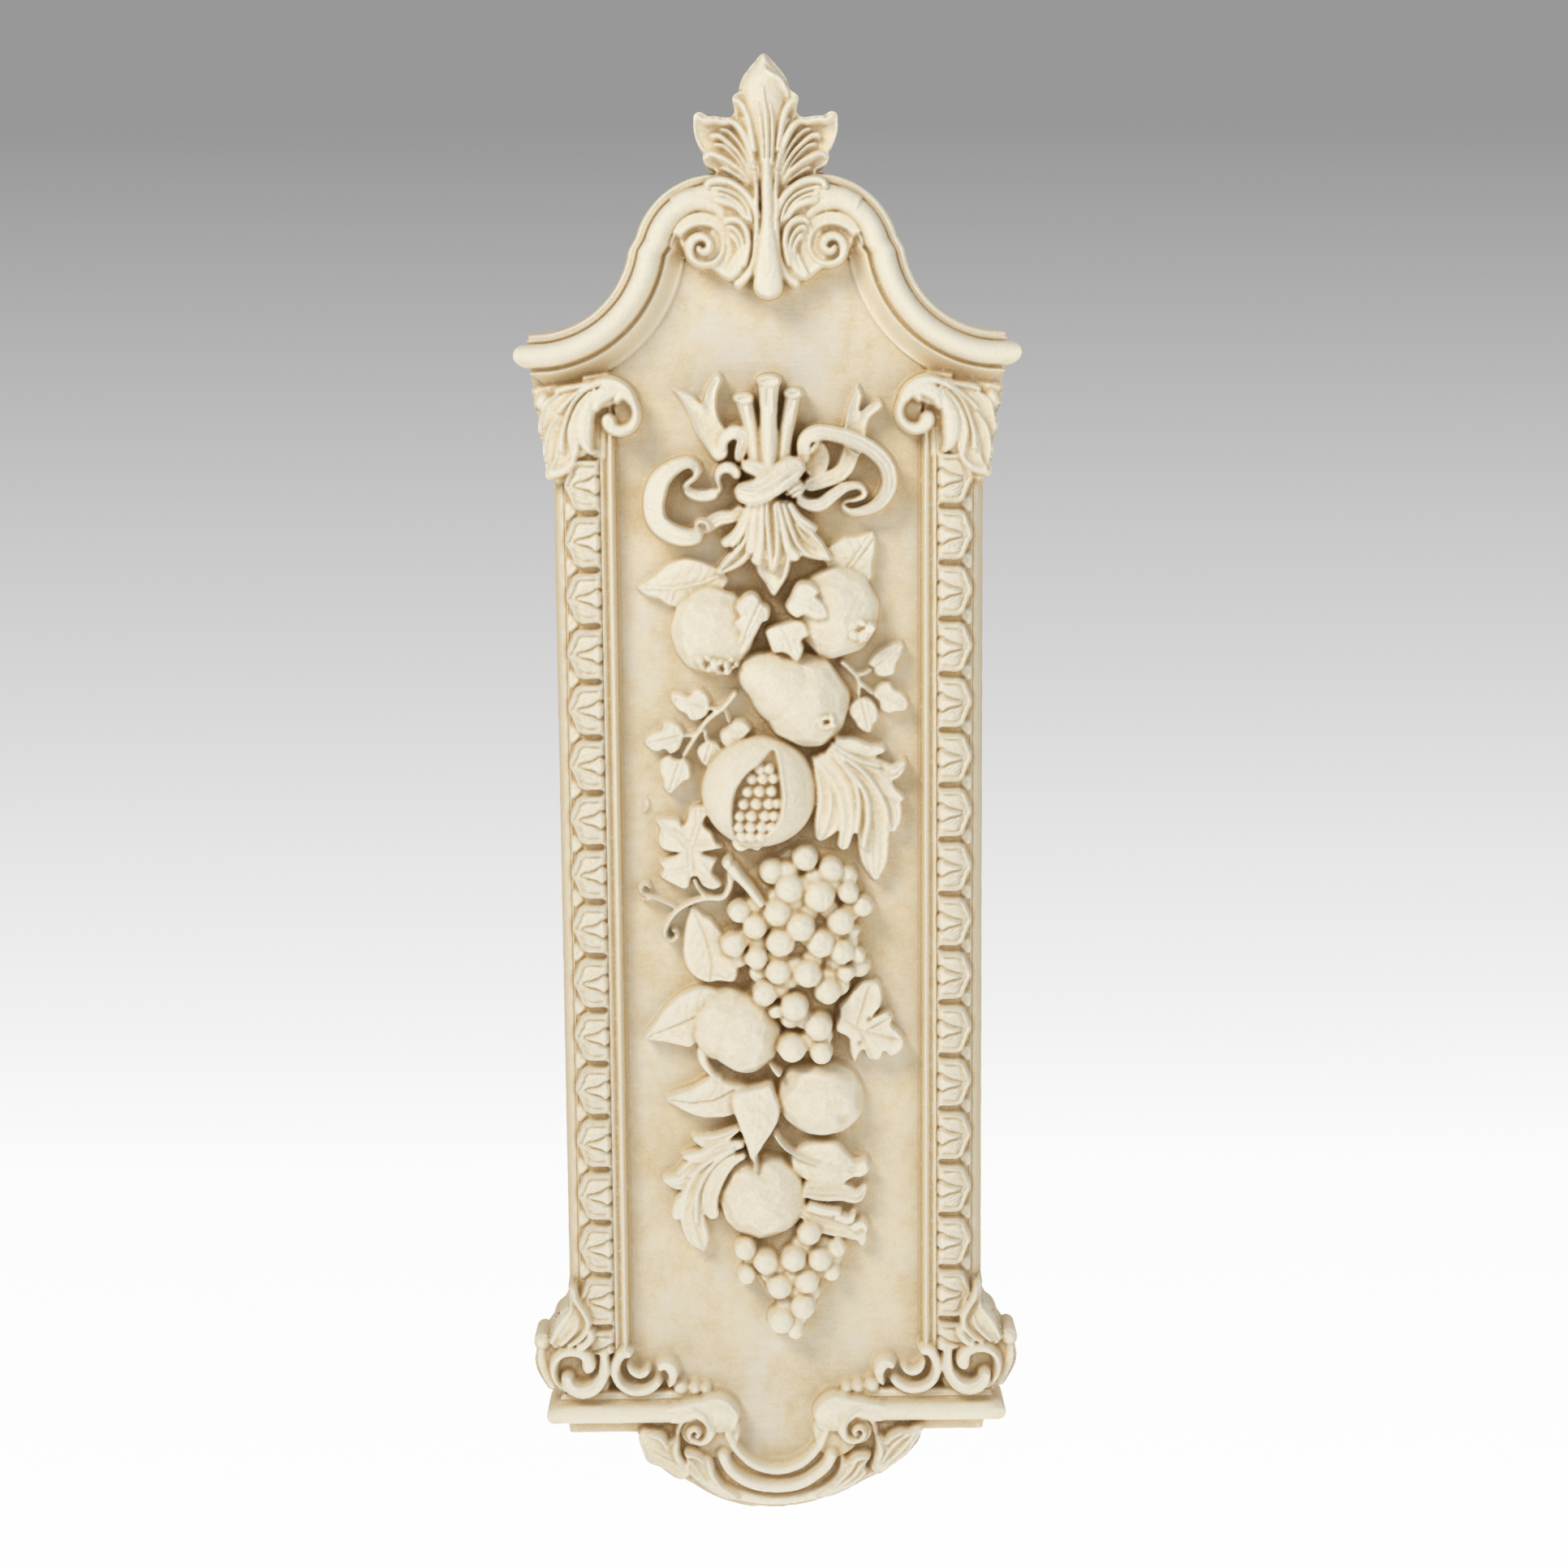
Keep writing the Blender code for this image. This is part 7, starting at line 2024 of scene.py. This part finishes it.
# painted light: the backdrop paper glows by itself, white at the floor and darker grey towards the
# top
PAPER_GLOW_TONES = [(0.0, "FFFFFF"), (0.25, "FBFBFB"), (0.5, "E6E6E6"), (0.75, "C8C8C8"),
               (1.0, "989898")]


def make_camera():
    """A camera a little above the middle, looking slightly down."""
    yaw, pitch, roll = (math.radians(a) for a in (CAMERA_YAW, CAMERA_PITCH, CAMERA_ROLL))
    ahead = np.array([math.sin(yaw) * math.cos(pitch), math.cos(yaw) * math.cos(pitch),
                      -math.sin(pitch)])
    level = np.array([math.cos(yaw), -math.sin(yaw), 0.0])
    above = np.cross(level, ahead)
    right = math.cos(roll) * level + math.sin(roll) * above
    up = -math.sin(roll) * level + math.cos(roll) * above
    turn = Matrix((right, up, -ahead)).transposed().to_4x4()
    turn.translation = CAMERA_PLACE
    lens = bpy.data.cameras.new("studio_camera")
    lens.lens = LENS_MM
    lens.sensor_width = 36.0
    camera = bpy.data.objects.new("studio_camera", lens)
    camera.matrix_world = turn
    bpy.context.scene.collection.objects.link(camera)
    bpy.context.scene.camera = camera


def make_light(name, place, size, watts):
    """A large soft lamp aimed at the plaque."""
    lamp = bpy.data.lights.new(name, "AREA")
    lamp.shape = "DISK"
    lamp.size = size
    lamp.energy = watts
    lamp.color = linear("FFFFFF")
    thing = bpy.data.objects.new(name, lamp)
    aim = -np.array(place) / np.linalg.norm(place)
    thing.location = place
    thing.rotation_mode = "QUATERNION"
    thing.rotation_quaternion = Vector(aim).to_track_quat("-Z", "Y")
    bpy.context.scene.collection.objects.link(thing)


def make_stage():
    """A pale floor that sweeps up into a backdrop glowing with painted light, soft lamps and the
    camera.
    """
    scene = bpy.context.scene
    scene.view_settings.view_transform = "Standard"
    profile = [(-6.0, FLOOR), (0.0, FLOOR), (1.2, FLOOR), (BACKDROP - BEND, FLOOR)]
    for angle in np.radians(np.linspace(-85, 0, 18)):
        profile.append((BACKDROP - BEND + BEND * math.cos(angle),
                        FLOOR + BEND + BEND * math.sin(angle)))
    profile += [(BACKDROP, 2.0), (BACKDROP, 5.0)]
    form = bmesh.new()
    rows = [[form.verts.new((x, y, z)) for x in (-6.0, 6.0)] for y, z in profile]
    for low, high in zip(rows, rows[1:]):
        form.faces.new((low[0], low[1], high[1], high[0]))
    mesh = bpy.data.meshes.new("studio_sweep")
    form.to_mesh(mesh)
    form.free()
    mesh.shade_smooth()
    sweep_piece = bpy.data.objects.new("studio_sweep", mesh)
    scene.collection.objects.link(sweep_piece)
    sweep_piece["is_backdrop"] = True
    paper = bpy.data.materials.new("glowing_backdrop_paper")
    paper.use_nodes = True
    tree = paper.node_tree
    tree.nodes.remove(tree.nodes["Principled BSDF"])
    place = add_node(tree, "SeparateXYZ", i0=add_node(tree, "TexCoord").outputs["Object"])
    # how far the paper has risen away from the lit floor, 0 near the object and 1 at the top
    climb = maths(tree, "MULTIPLY_ADD", place.outputs[1], 0.14,
                  maths(tree, "MULTIPLY_ADD", place.outputs[2], 0.30, 0.24), clamp=True)
    # the paper glows as painted light, though it is no lamp
    glow = add_node(tree, "Emission", Color=ramp(tree, climb, PAPER_GLOW_TONES), Strength=1.0)
    tree.links.new(glow.outputs[0], tree.nodes["Material Output"].inputs[0])
    mesh.materials.append(paper)

    world = bpy.data.worlds.new("studio")
    world.use_nodes = True
    sky = world.node_tree.nodes["Background"]
    sky.inputs["Color"].default_value = (1, 1, 1, 1)
    sky.inputs["Strength"].default_value = SKY
    scene.world = world
    for name, place, size, watts in LAMPS:
        make_light(name, place, size, watts)
    make_camera()


# ---- add-on ----
class PlaqueSizes(bpy.types.PropertyGroup):
    """Sizes of the leaf border, all in millimetres."""

    leaf_pitch: FloatProperty(name="Leaf pitch", description="From one leaf to the next",
                              default=41.45, min=20, max=80)
    first_leaf: FloatProperty(name="First leaf", description="Height of the left border's top leaf",
                              default=242.5)
    leaf_shift: FloatProperty(name="Leaf shift", description="How much higher the right border is",
                              default=3.5)


class PlaquePaint(bpy.types.PropertyGroup):
    """Paint of the plaque."""

    paint_ior: FloatProperty(name="Paint IOR", description="Index of refraction of the emulsion",
                             default=1.45, min=1.3, max=1.7)
    # white dabbed on as a painted highlight over the high places, partly real dry-brushing
    dry_white_and_highlight: FloatVectorProperty(name="Dry-brushed white",
                                   description="Paint dabbed over the high places",
                                   subtype="COLOR", size=3, default=linear("F9F2E0"), min=0, max=1)
    chalk: FloatVectorProperty(name="Chalky white", description="Paint scumbled over the field",
                               subtype="COLOR", size=3, default=linear("EFE8DA"), min=0, max=1)
    speck: FloatVectorProperty(name="Speck", description="Glaze caught in the pin holes",
                               subtype="COLOR", size=3, default=linear("A2855A"), min=0, max=1)


class PLAQUE_OT_slab(bpy.types.Operator):
    """Make the slab and the sunk field"""
    bl_idname = "plaque.slab"
    bl_label = "Slab and field"

    def execute(self, context):
        make_slab()
        make_field()
        return {"FINISHED"}


class PLAQUE_OT_mouldings(bpy.types.Operator):
    """Make the arch, the pilasters, the sill and the volutes"""
    bl_idname = "plaque.mouldings"
    bl_label = "Mouldings"

    def execute(self, context):
        make_arch()
        make_volutes()
        make_pilasters()
        make_sill()
        return {"FINISHED"}


class PLAQUE_OT_border(bpy.types.Operator):
    """Make the border of leaves and darts"""
    bl_idname = "plaque.border"
    bl_label = "Leaf border"

    def execute(self, context):
        make_leaf_border(context.scene.plaque_sizes)
        return {"FINISHED"}


class PLAQUE_OT_capitals(bpy.types.Operator):
    """Make the capitals"""
    bl_idname = "plaque.capitals"
    bl_label = "Capitals"

    def execute(self, context):
        make_capitals()
        return {"FINISHED"}


class PLAQUE_OT_corners(bpy.types.Operator):
    """Make the leaf scrolls in the lower corners"""
    bl_idname = "plaque.corners"
    bl_label = "Corner scrolls"

    def execute(self, context):
        make_corners()
        return {"FINISHED"}


class PLAQUE_OT_finial(bpy.types.Operator):
    """Make the finial"""
    bl_idname = "plaque.finial"
    bl_label = "Finial"

    def execute(self, context):
        make_finial()
        return {"FINISHED"}


class PLAQUE_OT_foot(bpy.types.Operator):
    """Make the foot"""
    bl_idname = "plaque.foot"
    bl_label = "Foot"

    def execute(self, context):
        make_foot()
        return {"FINISHED"}


class PLAQUE_OT_bow(bpy.types.Operator):
    """Make the bow"""
    bl_idname = "plaque.bow"
    bl_label = "Bow"

    def execute(self, context):
        make_bow()
        return {"FINISHED"}


class PLAQUE_OT_garland(bpy.types.Operator):
    """Make the fruit, leaves, twigs and grapes"""
    bl_idname = "plaque.garland"
    bl_label = "Garland"

    def execute(self, context):
        make_fruit()
        make_pomegranate()
        make_grapes()
        make_leaves()
        make_vine_leaves()
        make_acanthus()
        make_twigs()
        return {"FINISHED"}


class PLAQUE_OT_cast(bpy.types.Operator):
    """Join the carving into one soft surface and make its meshes"""
    bl_idname = "plaque.cast"
    bl_label = "Cast the carving"

    def execute(self, context):
        FRONT.settle()
        FRONT.cast()
        return {"FINISHED"}


class PLAQUE_OT_glaze(bpy.types.Operator):
    """Work out where the brown umber stays, and where painted shade and highlights go"""
    bl_idname = "plaque.glaze"
    bl_label = "Glaze"

    def execute(self, context):
        spread_umber_and_shading()
        return {"FINISHED"}


class PLAQUE_OT_stage(bpy.types.Operator):
    """Make the floor, the lamps and the camera"""
    bl_idname = "plaque.stage"
    bl_label = "Stage"

    def execute(self, context):
        make_stage()
        return {"FINISHED"}


STEPS = ("slab", "mouldings", "border", "capitals", "corners", "finial", "foot", "bow", "garland",
         "cast", "glaze", "stage")


class PLAQUE_PT_panel(bpy.types.Panel):
    """The plaque's steps, sizes and paint"""
    bl_idname = "PLAQUE_PT_panel"
    bl_label = "Plaque"
    bl_space_type = "VIEW_3D"
    bl_region_type = "UI"
    bl_category = "Plaque"

    def draw(self, context):
        for group in (context.scene.plaque_sizes, context.scene.plaque_paint):
            for name in group.bl_rna.properties.keys():
                if name not in ("rna_type", "name"):
                    self.layout.prop(group, name)
        for step in STEPS:
            self.layout.operator("plaque." + step)


CLASSES = (PlaqueSizes, PlaquePaint, PLAQUE_OT_slab, PLAQUE_OT_mouldings, PLAQUE_OT_border,
           PLAQUE_OT_capitals, PLAQUE_OT_corners, PLAQUE_OT_finial, PLAQUE_OT_foot, PLAQUE_OT_bow,
           PLAQUE_OT_garland, PLAQUE_OT_cast, PLAQUE_OT_glaze, PLAQUE_OT_stage, PLAQUE_PT_panel)


def register():
    """Add the classes and the scene's own settings."""
    for each in CLASSES:
        bpy.utils.register_class(each)
    bpy.types.Scene.plaque_sizes = PointerProperty(type=PlaqueSizes)
    bpy.types.Scene.plaque_paint = PointerProperty(type=PlaquePaint)


def unregister():
    """Take the settings and the classes away again."""
    del bpy.types.Scene.plaque_paint
    del bpy.types.Scene.plaque_sizes
    for each in reversed(CLASSES):
        bpy.utils.unregister_class(each)


def main():
    """Make the whole plaque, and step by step."""
    register()
    for step in STEPS:
        getattr(bpy.ops.plaque, step)()


if __name__ == "__main__":
    main()
